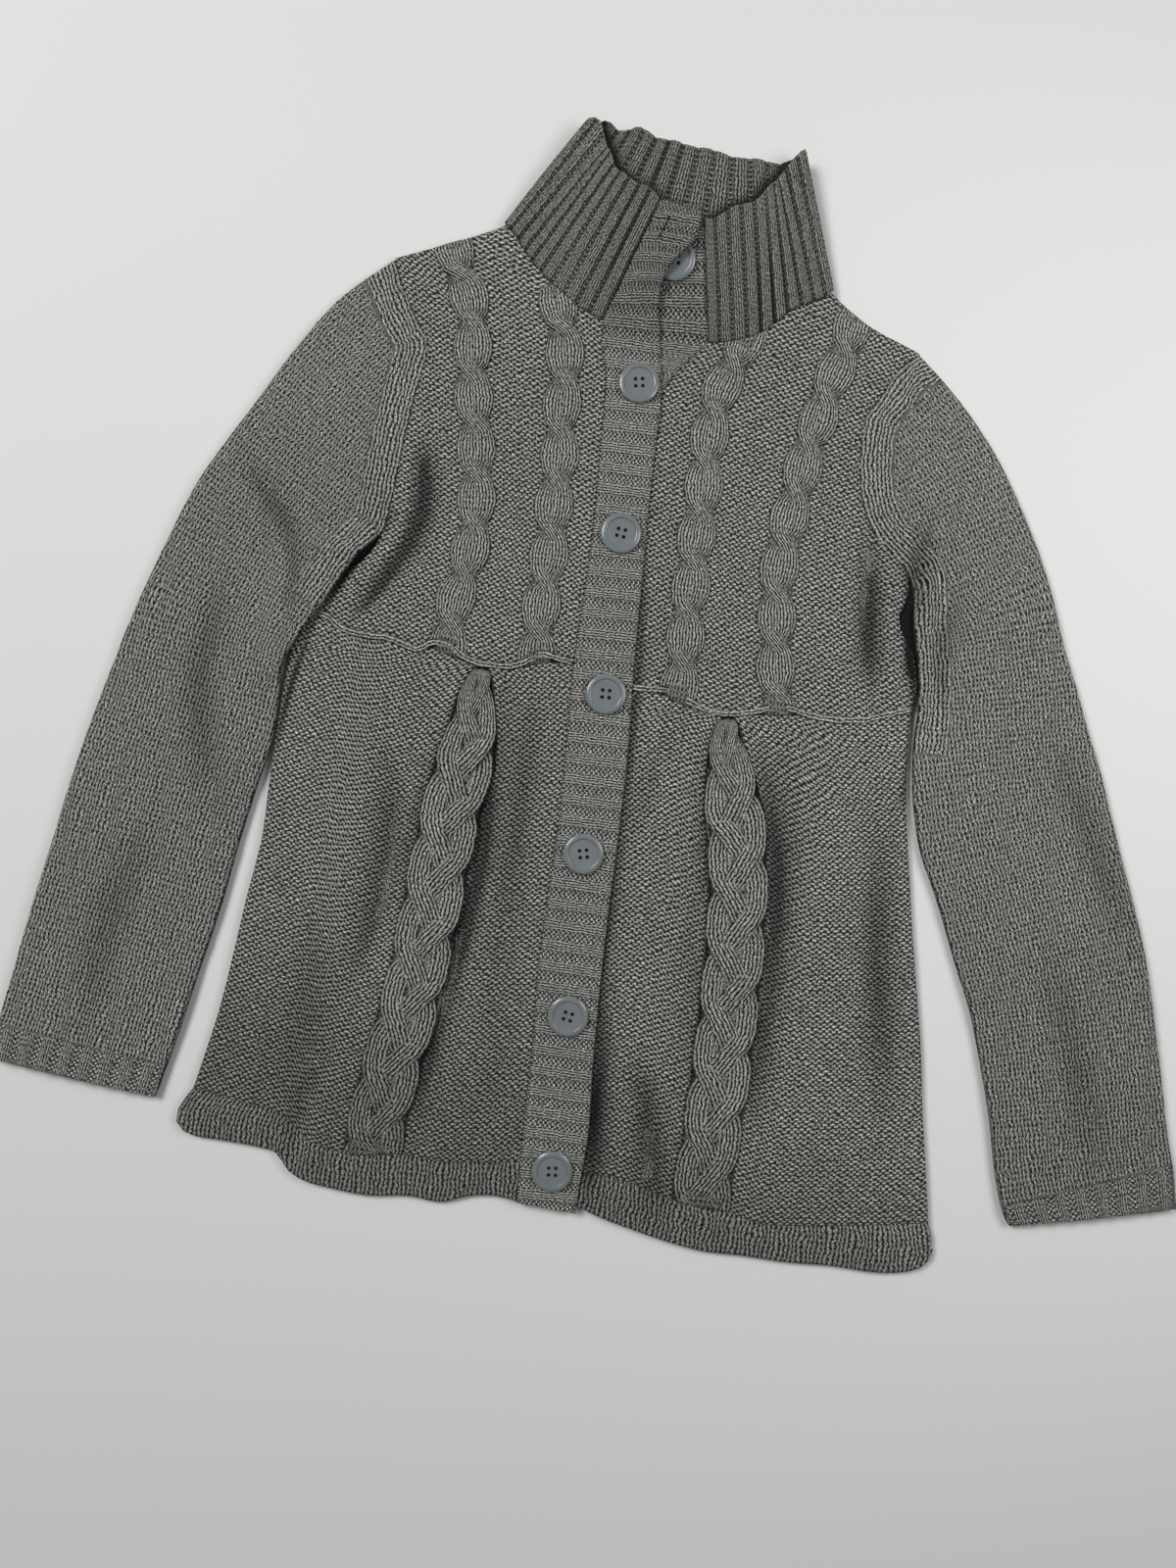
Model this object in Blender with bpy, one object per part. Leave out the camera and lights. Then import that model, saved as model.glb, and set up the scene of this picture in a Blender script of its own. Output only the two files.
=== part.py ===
"""Button cardigan in chunky knit, laid out flat on its back with the front up.

Lengths are millimetres, turned to metres as each mesh is made. X runs across the garment,
Y from the hem to the collar and Z up from the surface that it lies on. Right and left are
the wearer's own. The origin is under the middle of the laid-out garment.
Each cloth piece is a wall with its own thickness. The pieces meet edge to edge with a
small gap at the seams, and the layers of the body lie on each other in the order
back, under band, fronts, top band, buttons.
"""
import math

import bmesh
import bpy
import numpy as np
from mathutils import Vector
from mathutils.geometry import delaunay_2d_cdt

MM = 0.001

# Driving dimensions, mm
WALL = 2.4                # thickness of one layer of the knit
SEAM_GAP = 0.3            # play between two pieces where they are sewn together
LAYER = WALL + SEAM_GAP   # underside of a front where it lies on the back
BODY_LIFT = 2.0           # how far a front stands above that in the middle of a panel
FRONT_HIGHEST = 6.3       # highest inner face of a front, so that it stays close to the back
HEM_PUFF = 0.7            # how much thicker the turned-up hem is in its middle
BAND_LOW = 5.4            # underside of the top button band, on the under band
RIM_DROP = 0.7            # how far the outer face of a panel rounds down to its rim
FREE_EDGE_REACH = 42.0    # width over which a front sinks to its free edges
SEAM_REACH = 30.0         # width over which a front rises or sinks to a band or the collar
PANEL_STEP = 25.0         # spacing of the points that carry a panel's soft shape

CABLE_PERIOD = 35.0       # length of a rope cable from one crossing to the next
CABLE_WIDTH = 24.0
CABLE_RISE = 3.0          # how far a strand stands out of the purl ground
CABLE_ROWS = 5            # rows of points to a crossing
CABLE_ACROSS = (-1.0, -0.88, -0.52, -0.17, 0.17, 0.52, 0.88, 1.0)   # shares of half its width
PLAIT_PERIOD = 130.0      # length in which one strand of the plait returns to its place
PLAIT_WIDTH = 34.0
PLAIT_RISE = 3.2
PLAIT_ROW = 8.0           # spacing of the rows of points along a plait
PLEAT_LENGTH = 105.0      # the plait lies in a pleat that fades out over this length
PLEAT_POINT = 62.0        # length over which the plait widens from the pleat's point
PLEAT_LIP = 5.0           # width of the rolled edges beside the plait
PLEAT_DEPTH = 1.3

RIB_PLACES = (0.12, 0.26, 0.74, 0.88)   # where the points of a rib lie, as shares of its width
BAND_RIB = 14.4           # spacing of the ribs across the button bands
BAND_RIB_RISE = 0.9
COLLAR_RIB_RISE = 1.0
COLLAR_ROWS = 5
COLLAR_BELLY = 1.4        # how far the standing fronts of the collar curve outwards
CUFF_RIBS = 8
CUFF_RIB_RISE = 0.9
CUFF_HEIGHT = 23.0

SLEEVE_MIDDLE = 8.7       # height of a flattened sleeve along its middle
SLEEVE_EDGE = 6.6         # height of the fold along each side of it
SLEEVE_LEAST_HOLLOW = 0.3
# Where the rings of a sleeve lie, as shares of its length, and where the points lie across it.
SLEEVE_SHARES = (0.0, 0.035, 0.07, 0.105, 0.14, 0.175, 0.21, 0.245, 0.28, 0.315, 0.35, 0.39,
                 0.44, 0.52, 0.61, 0.7, 0.79, 0.88)
SLEEVE_TOP_ACROSS = (0.0, 0.12, 0.25, 0.4, 0.55, 0.68, 0.78, 0.87, 0.94, 1.0)
SLEEVE_LOW_ACROSS = (1.0, 0.92, 0.83, 0.7, 0.5, 0.25, 0.0)
HOLLOW_TOP_ACROSS = (0.0, 0.2, 0.4, 0.6, 0.8, 0.92, 1.0)
HOLLOW_LOW_ACROSS = (1.0, 0.9, 0.78, 0.55, 0.25, 0.0)
ARMHOLE_FADE = 0.22       # share of a sleeve's length over which the armhole's bend dies out
TOP_SHARE = 0.45          # share of a ring's way round that its top takes, and its underside

BUTTON_RADIUS = 14.0
BUTTON_HEIGHT = 3.2
BUTTON_RIM = 2.6          # width of the raised rim
BUTTON_DISH = 0.9         # depth of the dished middle
BUTTON_HOLE = 1.1         # radius of a sewing hole
BUTTON_HOLE_PITCH = 2.5   # of a hole from the button's middle, along X and Y
BUTTON_SIDES = 16
HOLE_SIDES = 4

YARN_GREY = (0.17, 0.17, 0.162, 1.0)
BUTTON_GREY = (0.17, 0.2, 0.215, 1.0)

# Outlines. Columns: x, y. Each list runs in the direction that its name gives.
SHOULDER_RIGHT_IN = ((-218, 267), (-186, 281), (-168, 289), (-145, 301))
SHOULDER_LEFT_IN = ((152, 255), (135, 261), (109, 271), (84, 288))
ARMHOLE_RIGHT_DOWN = ((-218, 267), (-208, 246), (-197, 228), (-186, 212), (-188, 188),
                      (-191, 160), (-193, 136), (-194, 112), (-195, 94), (-198, 79))
ARMHOLE_LEFT_DOWN = ((152, 255), (140, 245), (130, 224), (121, 209), (120, 188), (122, 167),
                     (130, 140), (140, 125), (157, 112), (166, 103))
UNDERARM_RIGHT = ((-198, 79), (-200.5, 70), (-205, 62), (-211, 55), (-220, 48.5), (-232, 44),
                  (-245, 40))
SIDE_YOKE_RIGHT_DOWN = ((-245, 40), (-248, 26), (-249, 12))
SIDE_YOKE_LEFT_DOWN = ((166, 103), (164, 94), (163.5, 82), (166, 66), (171, 52), (177, 38),
                       (181, 22), (182.5, 9))
SIDE_BACK_LEFT_DOWN = ((166, 103), (167, 96), (170, 90), (176, 84), (181, 60), (184, 30),
                       (182.5, 9))
SIDE_SKIRT_RIGHT_DOWN = ((-249, 12), (-249.5, -20), (-250.5, -60), (-250.5, -100),
                         (-250, -147), (-254, -182), (-257, -220), (-261, -262), (-266, -293),
                         (-271, -321))
SIDE_SKIRT_LEFT_DOWN = ((182.5, 9), (184, -21), (190, -66), (197, -100), (205, -140),
                        (214, -180), (223, -220), (230, -260), (241, -314), (246, -339))
WAIST_RIGHT_IN = ((-249, 12), (-230, 14), (-214, 5), (-196, 3), (-179, 4), (-165, -1),
                  (-151, 4), (-137, 0), (-122, -4), (-108, -4), (-92, -2), (-77, 5), (-54, 6))
WAIST_LEFT_OUT = ((-14, -5), (13, -5), (25, -10), (43, -13), (56, -13), (70, -10), (84, -8),
                  (104, -5), (125, -7), (146, -4), (166, 3), (182.5, 9))
HEM_SEAM_RIGHT_IN = ((-271, -321), (-235, -326), (-210, -329), (-192, -342), (-166, -350),
                     (-118, -345), (-92, -346), (-60, -341), (-39.6, -338))
HEM_SEAM_LEFT_OUT = ((1, -340), (30, -339), (50, -345), (70, -349), (107, -351), (128, -356),
                     (160, -353), (186, -349), (215, -344), (246, -339))
HEM_EDGE_RIGHT_IN = ((-271, -321), (-278, -334), (-280.5, -344), (-275, -351), (-248, -354),
                     (-222, -355), (-206, -358), (-201, -366), (-191, -372), (-166, -376),
                     (-140, -377), (-114, -373), (-88, -374), (-74, -368), (-56, -364),
                     (-38, -366))
HEM_EDGE_LEFT_OUT = ((0, -362), (15, -367), (41, -373), (74, -379), (94, -381), (122, -380),
                     (152, -380), (180, -378), (228, -376), (244, -371), (252, -361),
                     (250, -350), (246, -339))
HEM_SEAM_BACK = ((-271, -321), (-200, -333), (-100, -342), (0, -343), (100, -349),
                 (200, -347), (246, -339))
HEM_EDGE_BACK = ((-271, -321), (-277, -334), (-278, -344), (-248, -350), (-206, -354),
                 (-166, -360), (-100, -363), (-40, -361), (15, -363), (60, -370),
                 (120, -375), (200, -373), (240, -367), (249, -358), (246, -339))
NECK_BACK = ((-145, 301), (-138, 293), (-124, 286.5), (-95, 283), (-55, 280.5), (-10, 280.5),
             (30, 281), (62, 283), (77, 285), (84, 288))

# Collar, from the top band round the neck to the under band. Columns: ribs counted from the
# top band, x, y and z of the seam, x, y and z of the free edge, all in the wall's middle.
COLLAR = (
    (0.0, -69.5, 245.0, 7.6, -41.8, 323.0, 27.0),
    (2.0, -89.0, 252.5, 7.6, -57.0, 332.0, 28.0),
    (3.5, -103.0, 262.0, 7.4, -68.0, 337.0, 27.0),
    (5.5, -120.0, 275.0, 7.0, -78.0, 346.0, 23.0),
    (7.5, -132.0, 288.0, 6.6, -84.0, 362.0, 18.5),
    (9.0, -141.0, 298.0, 5.8, -92.0, 375.0, 15.5),
    (10.0, -146.0, 302.5, 3.9, -99.0, 380.3, 12.5),
    (11.0, -141.0, 299.0, 2.0, -93.0, 377.0, 9.0),
    (12.5, -126.0, 290.5, 1.4, -82.0, 377.0, 7.5),
    (15.0, -95.0, 285.0, 1.4, -60.0, 378.5, 7.0),
    (17.5, -55.0, 282.5, 1.4, -37.0, 374.0, 6.5),
    (20.0, -10.0, 282.5, 1.4, -10.0, 371.0, 6.5),
    (22.0, 30.0, 283.0, 1.4, 15.0, 371.0, 7.0),
    (24.0, 62.0, 285.5, 1.4, 36.0, 369.0, 7.8),
    (25.2, 79.0, 288.5, 2.0, 45.0, 373.0, 9.5),
    (26.0, 85.0, 290.5, 3.9, 50.0, 378.0, 13.0),
    (27.0, 80.0, 284.0, 5.8, 45.0, 370.0, 17.5),
    (28.5, 69.0, 277.5, 6.8, 36.0, 356.0, 22.0),
    (30.0, 56.0, 269.0, 7.4, 31.0, 345.0, 26.0),
    (31.5, 44.0, 256.0, 7.4, 24.0, 335.0, 27.5),
    (33.0, 31.0, 247.5, 7.2, 12.0, 327.0, 27.0),
    (34.5, 17.0, 243.0, 6.8, 0.0, 321.0, 25.0),
    (36.0, 4.5, 240.5, 6.6, -11.5, 318.0, 22.6),
)
COLLAR_FOLDS = (10.0, 26.0)   # ribs counted to the crease over each shoulder
COLLAR_POINTS_ROUND_FOLD = 7
COLLAR_END_GAP = 0.03     # ribs left free beside the bands
NECK_PLAY = 0.55          # how far the fronts stand off the slanted foot of the collar

# Bands, hem to collar. Columns: x, y and z of the side with the lower x, x, y and z of the
# other side, in the wall's middle, and the crown of the middle over a straight line.
TOP_BAND = (
    (-38.0, -366.0, 6.6, 3.0, -367.0, 6.6, 0.0),
    (-39.6, -338.0, 6.6, 3.5, -340.0, 6.6, 0.3),
    (-41.0, -311.0, 6.6, 4.0, -315.0, 6.6, 0.3),
    (-43.0, -260.0, 6.6, 0.0, -264.0, 6.6, 0.3),
    (-47.0, -205.0, 6.6, -3.0, -209.0, 6.6, 0.3),
    (-48.0, -150.0, 6.6, -5.0, -154.0, 6.6, 0.3),
    (-48.0, -100.0, 6.6, -6.0, -103.0, 6.6, 0.3),
    (-51.0, -45.0, 6.6, -8.0, -48.0, 6.6, 0.3),
    (-54.0, 6.0, 6.6, -12.0, 4.0, 6.6, 0.3),
    (-54.0, 58.0, 6.6, -15.0, 56.0, 6.6, 0.3),
    (-55.0, 110.0, 6.6, -18.0, 107.0, 6.6, 0.3),
    (-58.0, 160.0, 6.6, -20.0, 157.0, 6.6, 0.3),
    (-61.0, 205.0, 6.7, -22.0, 203.0, 7.0, 0.3),
    (-69.0, 244.5, 7.6, -29.0, 241.0, 8.8, 0.5),
    (-62.7, 262.0, 12.6, -33.0, 262.0, 15.2, 0.8),
    (-54.3, 286.0, 19.2, -28.5, 283.0, 23.2, 1.6),
    (-47.3, 306.0, 23.6, -15.0, 300.0, 26.6, 1.6),
    (-41.5, 323.0, 27.0, -12.8, 319.0, 27.6, 0.5),
)
UNDER_BAND = (
    (-37.0, -361.0, 3.9, 0.0, -362.0, 3.9, 0.0),
    (-38.5, -338.0, 3.9, 1.0, -340.0, 3.9, 0.0),
    (-40.0, -311.0, 3.9, 0.0, -315.0, 3.9, 0.0),
    (-42.0, -260.0, 3.9, -4.0, -260.0, 3.9, 0.0),
    (-46.0, -205.0, 3.9, -7.0, -205.0, 3.9, 0.0),
    (-47.0, -150.0, 3.9, -8.0, -150.0, 3.9, 0.0),
    (-47.0, -100.0, 3.9, -10.0, -100.0, 3.9, 0.0),
    (-50.0, -48.0, 3.9, -12.0, -48.0, 3.9, 0.0),
    (-53.0, -5.0, 3.9, -14.0, -5.0, 3.9, 0.0),
    (-53.0, 50.0, 3.9, -18.0, 50.0, 3.9, 0.0),
    (-54.0, 107.0, 3.9, -22.0, 107.0, 3.9, 0.0),
    (-57.0, 151.0, 3.9, -25.0, 151.0, 3.9, 0.0),
    (-58.0, 185.0, 3.9, -25.0, 185.0, 3.9, 0.0),
    (-56.0, 203.0, 3.9, -21.0, 203.0, 3.9, 0.0),
    (-50.0, 221.0, 3.9, -12.0, 220.0, 4.4, 0.0),
    (-40.0, 243.0, 4.3, 4.5, 240.5, 6.2, 0.0),
    (-41.0, 262.0, 8.2, 0.0, 262.0, 11.4, 0.0),
    (-44.0, 285.0, 13.0, -4.7, 285.0, 16.4, 0.0),
    (-48.0, 303.0, 16.8, -8.4, 303.0, 19.8, 0.0),
    (-51.0, 318.0, 20.0, -11.5, 318.0, 22.6, 0.0),
)
HEM_SEAM_ROW = 1          # row of both band tables at the hem seam
WAIST_ROW_TOP = 8         # row at the waist seam
WAIST_ROW_UNDER = 8
NECK_ROW_TOP = 13         # row at the collar's seam
NECK_ROW_UNDER = 15
BAND_STEP = 16.0          # spacing of the points along a band's sides
BAND_END = 3.0            # distance from a band's end that stays free of ribs
BAND_RIB_ENDS = (0.13, 0.87)    # shares across a band between which its ribs run
BAND_BACK_STEP = 32.0     # spacing of the points along the back of a band
BAND_BACK_START = 20.0
UNDER_BAND_SHOWS_FROM = 234.0   # the under band is ribbed above this y, where it shows
TOP_BAND_SHOWS_FROM = -1000.0   # the top band is ribbed all along

# Cables and plaits, top to bottom. Columns: x, y of the middle line.
CABLE_OUTER_RIGHT = ((-178, 279), (-170, 261), (-161, 243), (-156, 220), (-152, 192),
                     (-144, 154), (-140, 130), (-137, 110), (-136, 76), (-138, 55), (-141, 41),
                     (-142, 20), (-142, 4))
CABLE_INNER_RIGHT = ((-101, 252), (-94, 229), (-89, 200), (-88, 176), (-85, 152), (-84, 121),
                     (-82, 84), (-82, 60), (-81, 22), (-79, 4))
CABLE_INNER_LEFT = ((30, 245), (25, 229), (18, 208), (16, 190), (16, 151), (17, 130),
                    (17, 95), (18, 75), (18, 58), (20, 31), (20, -8))
CABLE_OUTER_LEFT = ((102, 267), (100, 254), (95, 234), (90, 217), (88, 198), (84, 182),
                    (82, 162), (79, 136), (77, 111), (77, 76), (80, 59), (83, 30), (91, -7))
PLAIT_RIGHT = ((-116, -6), (-117, -34), (-117, -61), (-121, -90), (-124, -128), (-127, -184),
               (-131, -240), (-136, -275), (-140, -310), (-142, -345))
PLAIT_LEFT = ((57, -15), (59, -33), (66, -60), (73, -87), (79, -115), (83, -150), (87, -219),
              (88, -270), (87, -346))

# Soft folds of the fronts. Columns: x, y of three points along the fold, width, height.
FOLDS_RIGHT = (
    (-180, 148, -169, 98, -200, 28, 9, -2.2),
    (-191, 120, -196, 74, -222, 30, 10, 1.8),
    (-98, -16, -97, -120, -118, -310, 10, -1.9),
    (-140, -30, -146, -150, -160, -290, 12, 1.2),
    (-168, -87, -155, -146, -182, -239, 13, -1.5),
    (-192, -40, -186, -160, -190, -290, 16, 1.3),
    (-82, -12, -76, -150, -61, -338, 14, -1.0),
    (-183, -290, -196, -330, -201, -366, 8, -1.6),
    (-178, -300, -184, -340, -186, -372, 10, 1.6),
    (-60, -300, -62, -338, -58, -366, 9, 1.4),
)
FOLDS_LEFT = (
    (132, 130, 141, 90, 152, 20, 9, -2.0),
    (118, 120, 122, 70, 130, 10, 13, 1.2),
    (98, -24, 112, -110, 116, -290, 11, -2.0),
    (46, -30, 52, -110, 62, -290, 10, -1.3),
    (20, -24, 10, -67, 2, -110, 10, -1.5),
    (12, -39, 36, -131, 40, -260, 14, 1.2),
    (32, -255, 46, -315, 57, -372, 11, -1.9),
    (20, -290, 26, -330, 28, -366, 10, 1.5),
    (170, -57, 186, -178, 204, -290, 14, -1.2),
    (146, -60, 156, -180, 170, -300, 16, 1.0),
    (84, -330, 92, -352, 96, -378, 10, 1.2),
)

# Sleeves, armhole to cuff. Columns: x, y of the outer fold, x, y of the inner fold.
SLEEVE_RIGHT = (
    (-218, 267, -198, 79), (-250, 236, -203, 73), (-276, 197, -208, 66), (-299, 154, -215, 55),
    (-317, 121, -224, 36), (-332, 90, -234, 17), (-345, 52, -243, -1), (-354, 23, -251.5, -20),
    (-363, -10, -252, -46), (-371, -45, -252.5, -77), (-380, -85, -259, -112),
    (-387, -124, -265, -150), (-394, -170, -271, -196), (-401, -216, -279, -240),
    (-407, -262, -286, -282), (-412, -300, -292, -312), (-414, -321, -296, -331),
)
SLEEVE_LEFT = (
    (152, 255, 166, 103), (182, 229, 169, 99), (212, 196, 171, 93), (236, 161, 172.5, 85),
    (254, 130, 174, 72), (268, 100, 178, 55), (280, 70, 182, 38), (292, 44, 185.5, 12),
    (304, 17, 187.5, -20), (315, -6, 192, -50), (328, -37, 202, -84), (342, -71, 219, -118),
    (356, -104, 237, -157), (369, -139, 253, -191), (380, -176, 266, -227),
    (391, -217, 277, -262), (401, -255, 287, -300), (409, -281, 296, -325),
    (414, -303, 301, -332),
)
# Where a sleeve lies on the body. Columns: rise, y where it starts, y where it is full,
# y where it is still full, y where it ends, width of the slope beside the body.
SLEEVE_RIGHT_LIFT = (6.0, 76.0, 60.0, -22.0, -45.0, 24.0)
SLEEVE_LEFT_LIFT = (3.1, 99.0, 90.0, 10.0, -10.0, 14.0)

# Buttons on the top band, hem to neck. Columns: x, y of the middle.
BUTTONS = ((-17, -340), (-22, -233), (-28, -121), (-29, -10), (-35, 101), (-38, 205))
# The open button, on the under band. Columns: x, y, z of the middle of its underside.
OPEN_BUTTON = (-26.0, 289.0, 17.7)
OPEN_BUTTON_TILT_X = 12.2     # degrees, with the slope of the under band
OPEN_BUTTON_TILT_Y = -4.0


def ease(value):
    """0 below 0, 1 above 1, and a smooth step between."""
    value = np.clip(value, 0.0, 1.0)
    return value * value * (3.0 - 2.0 * value)


def through(rows, knots, places):
    """Values at the places of a smooth curve through the rows of a table."""
    rows = np.array(rows, dtype=float)
    knots = np.array(knots, dtype=float)
    places = np.asarray(places, dtype=float)
    slopes = np.gradient(rows, knots, axis=0)
    cell = np.clip(np.searchsorted(knots, places, side="right") - 1, 0, len(knots) - 2)
    width = (knots[cell + 1] - knots[cell])[:, None]
    share = (places - knots[cell])[:, None] / width
    rest = 1.0 - share
    value = (1.0 + 2.0 * share) * rest ** 2 * rows[cell]
    value += share ** 2 * (3.0 - 2.0 * share) * rows[cell + 1]
    value += share * rest ** 2 * width * slopes[cell]
    value -= share ** 2 * rest * width * slopes[cell + 1]
    return value


def lengths_along(points):
    """Distance from the first point to each point of a line."""
    steps = np.linalg.norm(np.diff(points, axis=0), axis=1)
    return np.concatenate(([0.0], np.cumsum(steps)))


def smooth_line(rows, step):
    """Points about a step apart along a smooth curve through the rows of a table."""
    rows = np.array(rows, dtype=float)
    knots = lengths_along(rows[:, :2])
    dense = through(rows, knots, np.linspace(0.0, knots[-1], 60 * len(rows)))
    along = lengths_along(dense)
    count = max(2, int(round(along[-1] / step)) + 1)
    even = np.linspace(0.0, along[-1], count)
    return np.stack([np.interp(even, along, column) for column in dense.T], axis=1)


def nearest(points, line):
    """Distance from each point to a line in plan, and the line's third column there."""
    starts = line[:-1]
    ends = line[1:]
    run = ends[:, :2] - starts[:, :2]
    offset = points[:, None, :2] - starts[None, :, :2]
    share = np.sum(offset * run, axis=2) / np.sum(run * run, axis=1)
    share = np.clip(share, 0.0, 1.0)
    miss = offset - share[:, :, None] * run
    distance = np.linalg.norm(miss, axis=2)
    best = np.argmin(distance, axis=1)
    pick = np.arange(len(points))
    height = starts[best, 2] + share[pick, best] * (ends[best, 2] - starts[best, 2])
    return distance[pick, best], height


def with_height(line, height):
    """A plan line with one height for all its points."""
    return np.column_stack((line[:, :2], np.full(len(line), float(height))))


def join_lines(*lines):
    """One closed outline from lines that meet end to end."""
    return np.concatenate([line[:-1, :2] for line in lines])


def inset(outline, gap):
    """An outline moved inwards by a gap, point by point."""
    before = outline - np.roll(outline, 1, axis=0)
    after = np.roll(outline, -1, axis=0) - outline
    before /= np.linalg.norm(before, axis=1)[:, None]
    after /= np.linalg.norm(after, axis=1)[:, None]
    left = np.column_stack((-before[:, 1] - after[:, 1], before[:, 0] + after[:, 0]))
    left /= np.linalg.norm(left, axis=1)[:, None]
    turn = np.sum(left * np.column_stack((-before[:, 1], before[:, 0])), axis=1)
    return outline + left * (gap / np.maximum(turn, 0.4))[:, None] * winding(outline)


def winding(outline):
    """1 where an outline runs anticlockwise, and -1 where it runs clockwise."""
    ahead = np.roll(outline, -1, axis=0)
    area = np.sum(outline[:, 0] * ahead[:, 1] - ahead[:, 0] * outline[:, 1])
    return math.copysign(1.0, area)


def is_inside(points, outline):
    """Whether each point lies inside an outline, by the even and odd rule."""
    ahead = np.roll(outline, -1, axis=0)
    x = points[:, 0][:, None]
    y = points[:, 1][:, None]
    spans = (outline[:, 1] > y) != (ahead[:, 1] > y)
    rise = np.where(ahead[:, 1] == outline[:, 1], 1.0, ahead[:, 1] - outline[:, 1])
    crossing = outline[:, 0] + (y - outline[:, 1]) * (ahead[:, 0] - outline[:, 0]) / rise
    return np.sum(spans & (x < crossing), axis=1) % 2 == 1


def clear_inside(points, outline, margin):
    """The points that lie inside an outline and at least a margin from it."""
    closed = with_height(np.concatenate((outline, outline[:1])), 0.0)
    distance, _ = nearest(points, closed)
    return is_inside(points, outline) & (distance > margin)


def grid_points(outline, step):
    """Points of a staggered grid well inside an outline."""
    low = outline.min(axis=0)
    high = outline.max(axis=0)
    columns = np.arange(low[0] + step / 2, high[0], step)
    rows = np.arange(low[1] + step / 2, high[1], step)
    x, y = np.meshgrid(columns, rows)
    x[1::2] += step / 2
    points = np.column_stack((x.ravel(), y.ravel()))
    return points[clear_inside(points, outline, step * 0.45)]


def triangles(points, outline_count, creases=()):
    """Triangles over the points, whose first ones are the outline in order."""
    outline = [list(range(outline_count))]
    result = delaunay_2d_cdt([Vector(point) for point in points], list(creases), outline, 1, 1e-6)
    if len(result[0]) != len(points):
        raise ValueError("two points of a panel lie on each other or outside its outline")
    return [tuple(face) for face in result[2]]


def material(name, colour, roughness):
    """A plain finish of one colour."""
    finish = bpy.data.materials.new(name)
    finish.use_nodes = True
    surface = finish.node_tree.nodes["Principled BSDF"]
    surface.inputs["Base Color"].default_value = colour
    surface.inputs["Roughness"].default_value = roughness
    surface.inputs["Metallic"].default_value = 0.0
    finish.diffuse_color = colour
    return finish


def add_object(name, points, faces, colour=YARN_GREY, roughness=0.95):
    """One named solid from points in millimetres, with its faces turned outwards."""
    mesh = bpy.data.meshes.new(name)
    mesh.from_pydata([tuple(point * MM) for point in np.asarray(points)], [], faces)
    shape = bmesh.new()
    shape.from_mesh(mesh)
    bmesh.ops.recalc_face_normals(shape, faces=shape.faces)
    shape.to_mesh(mesh)
    shape.free()
    mesh.shade_smooth()
    mesh.set_sharp_from_angle(angle=math.radians(50.0))
    mesh.materials.append(material(name + "_finish", colour, roughness))
    solid = bpy.data.objects.new(name, mesh)
    bpy.context.scene.collection.objects.link(solid)
    return solid


def wall_solid(name, outline, low, high, over, under, creases=()):
    """A cloth wall between two height fields that share one outline.

    low and high are the heights of the outline's two rims, over and under are the points
    inside the outline on the outer and the inner face.
    """
    count = len(outline)
    top = np.column_stack((outline, high))
    bottom = np.column_stack((outline, low))
    points = np.concatenate((top, over, bottom, under))
    upper = triangles(np.concatenate((outline, over[:, :2])), count, creases)
    lower = triangles(np.concatenate((outline, under[:, :2])), count)
    base = count + len(over)
    faces = list(upper)
    faces += [tuple(index + base for index in reversed(face)) for face in lower]
    for index in range(count):
        ahead = (index + 1) % count
        faces.append((index, base + index, base + ahead, ahead))
    return add_object(name, points, faces)


def fold_height(points, folds):
    """Sum of the soft ridges and troughs at the points."""
    height = np.zeros(len(points))
    for x1, y1, x2, y2, x3, y3, width, rise in folds:
        path = smooth_line(((x1, y1), (x2, y2), (x3, y3)), 15.0)
        share = np.linspace(0.0, 1.0, len(path))
        distance, place = nearest(points, np.column_stack((path, share)))
        fade = np.sqrt(np.sin(np.pi * np.clip(place, 0.02, 0.98)))
        height += rise * fade * np.exp(-(distance / width) ** 2)
    return height


def front_low(points, side):
    """Height of a front's inner face, drawn down to its free edges and to its seams."""
    low = np.full(len(points), LAYER + BODY_LIFT)
    for line, reach in side["edges"]:
        distance, height = nearest(points, line)
        low += (height - low) * ease(1.0 - distance / reach)
    low += fold_height(points, side["folds"]) * side_fade(points, side)
    return np.clip(low, LAYER, np.maximum(FRONT_HIGHEST, edge_height(points, side)))


def edge_height(points, side):
    """Height that the seams near a point ask for, where they stand higher than the cloth."""
    height = np.zeros(len(points))
    for line, reach in side["edges"]:
        distance, at_line = nearest(points, line)
        height = np.maximum(height, at_line * (distance < reach / 2))
    return height


def side_fade(points, side):
    """How much of a fold is left near the edges that hold the cloth flat."""
    fade = np.ones(len(points))
    for line, reach in side["edges"]:
        distance, _ = nearest(points, line)
        fade *= 0.35 + 0.65 * ease(distance / (0.6 * reach))
    return fade


def cable_rise(across, along):
    """Two strands that cross once in each period, the upper one always to the same side."""
    place = (along / CABLE_PERIOD) % 1.0
    turn = ease((place - 0.5) / 0.42 + 0.5)
    bump = np.exp(-((place - 0.5) / 0.16) ** 2)
    reach = CABLE_WIDTH * 0.23
    half = CABLE_WIDTH * 0.29
    upper = strand(across - reach * (2.0 * turn - 1.0), half) * (1.0 + 0.25 * bump)
    lower = strand(across + reach * (2.0 * turn - 1.0), half) * (1.0 - 0.7 * bump)
    return CABLE_RISE * np.maximum(upper, lower)


def strand(offset, half):
    """Round cross-section of one strand, 1 in its middle and 0 at its sides."""
    return np.sqrt(np.clip(1.0 - (offset / half) ** 2, 0.0, 1.0))


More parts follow.
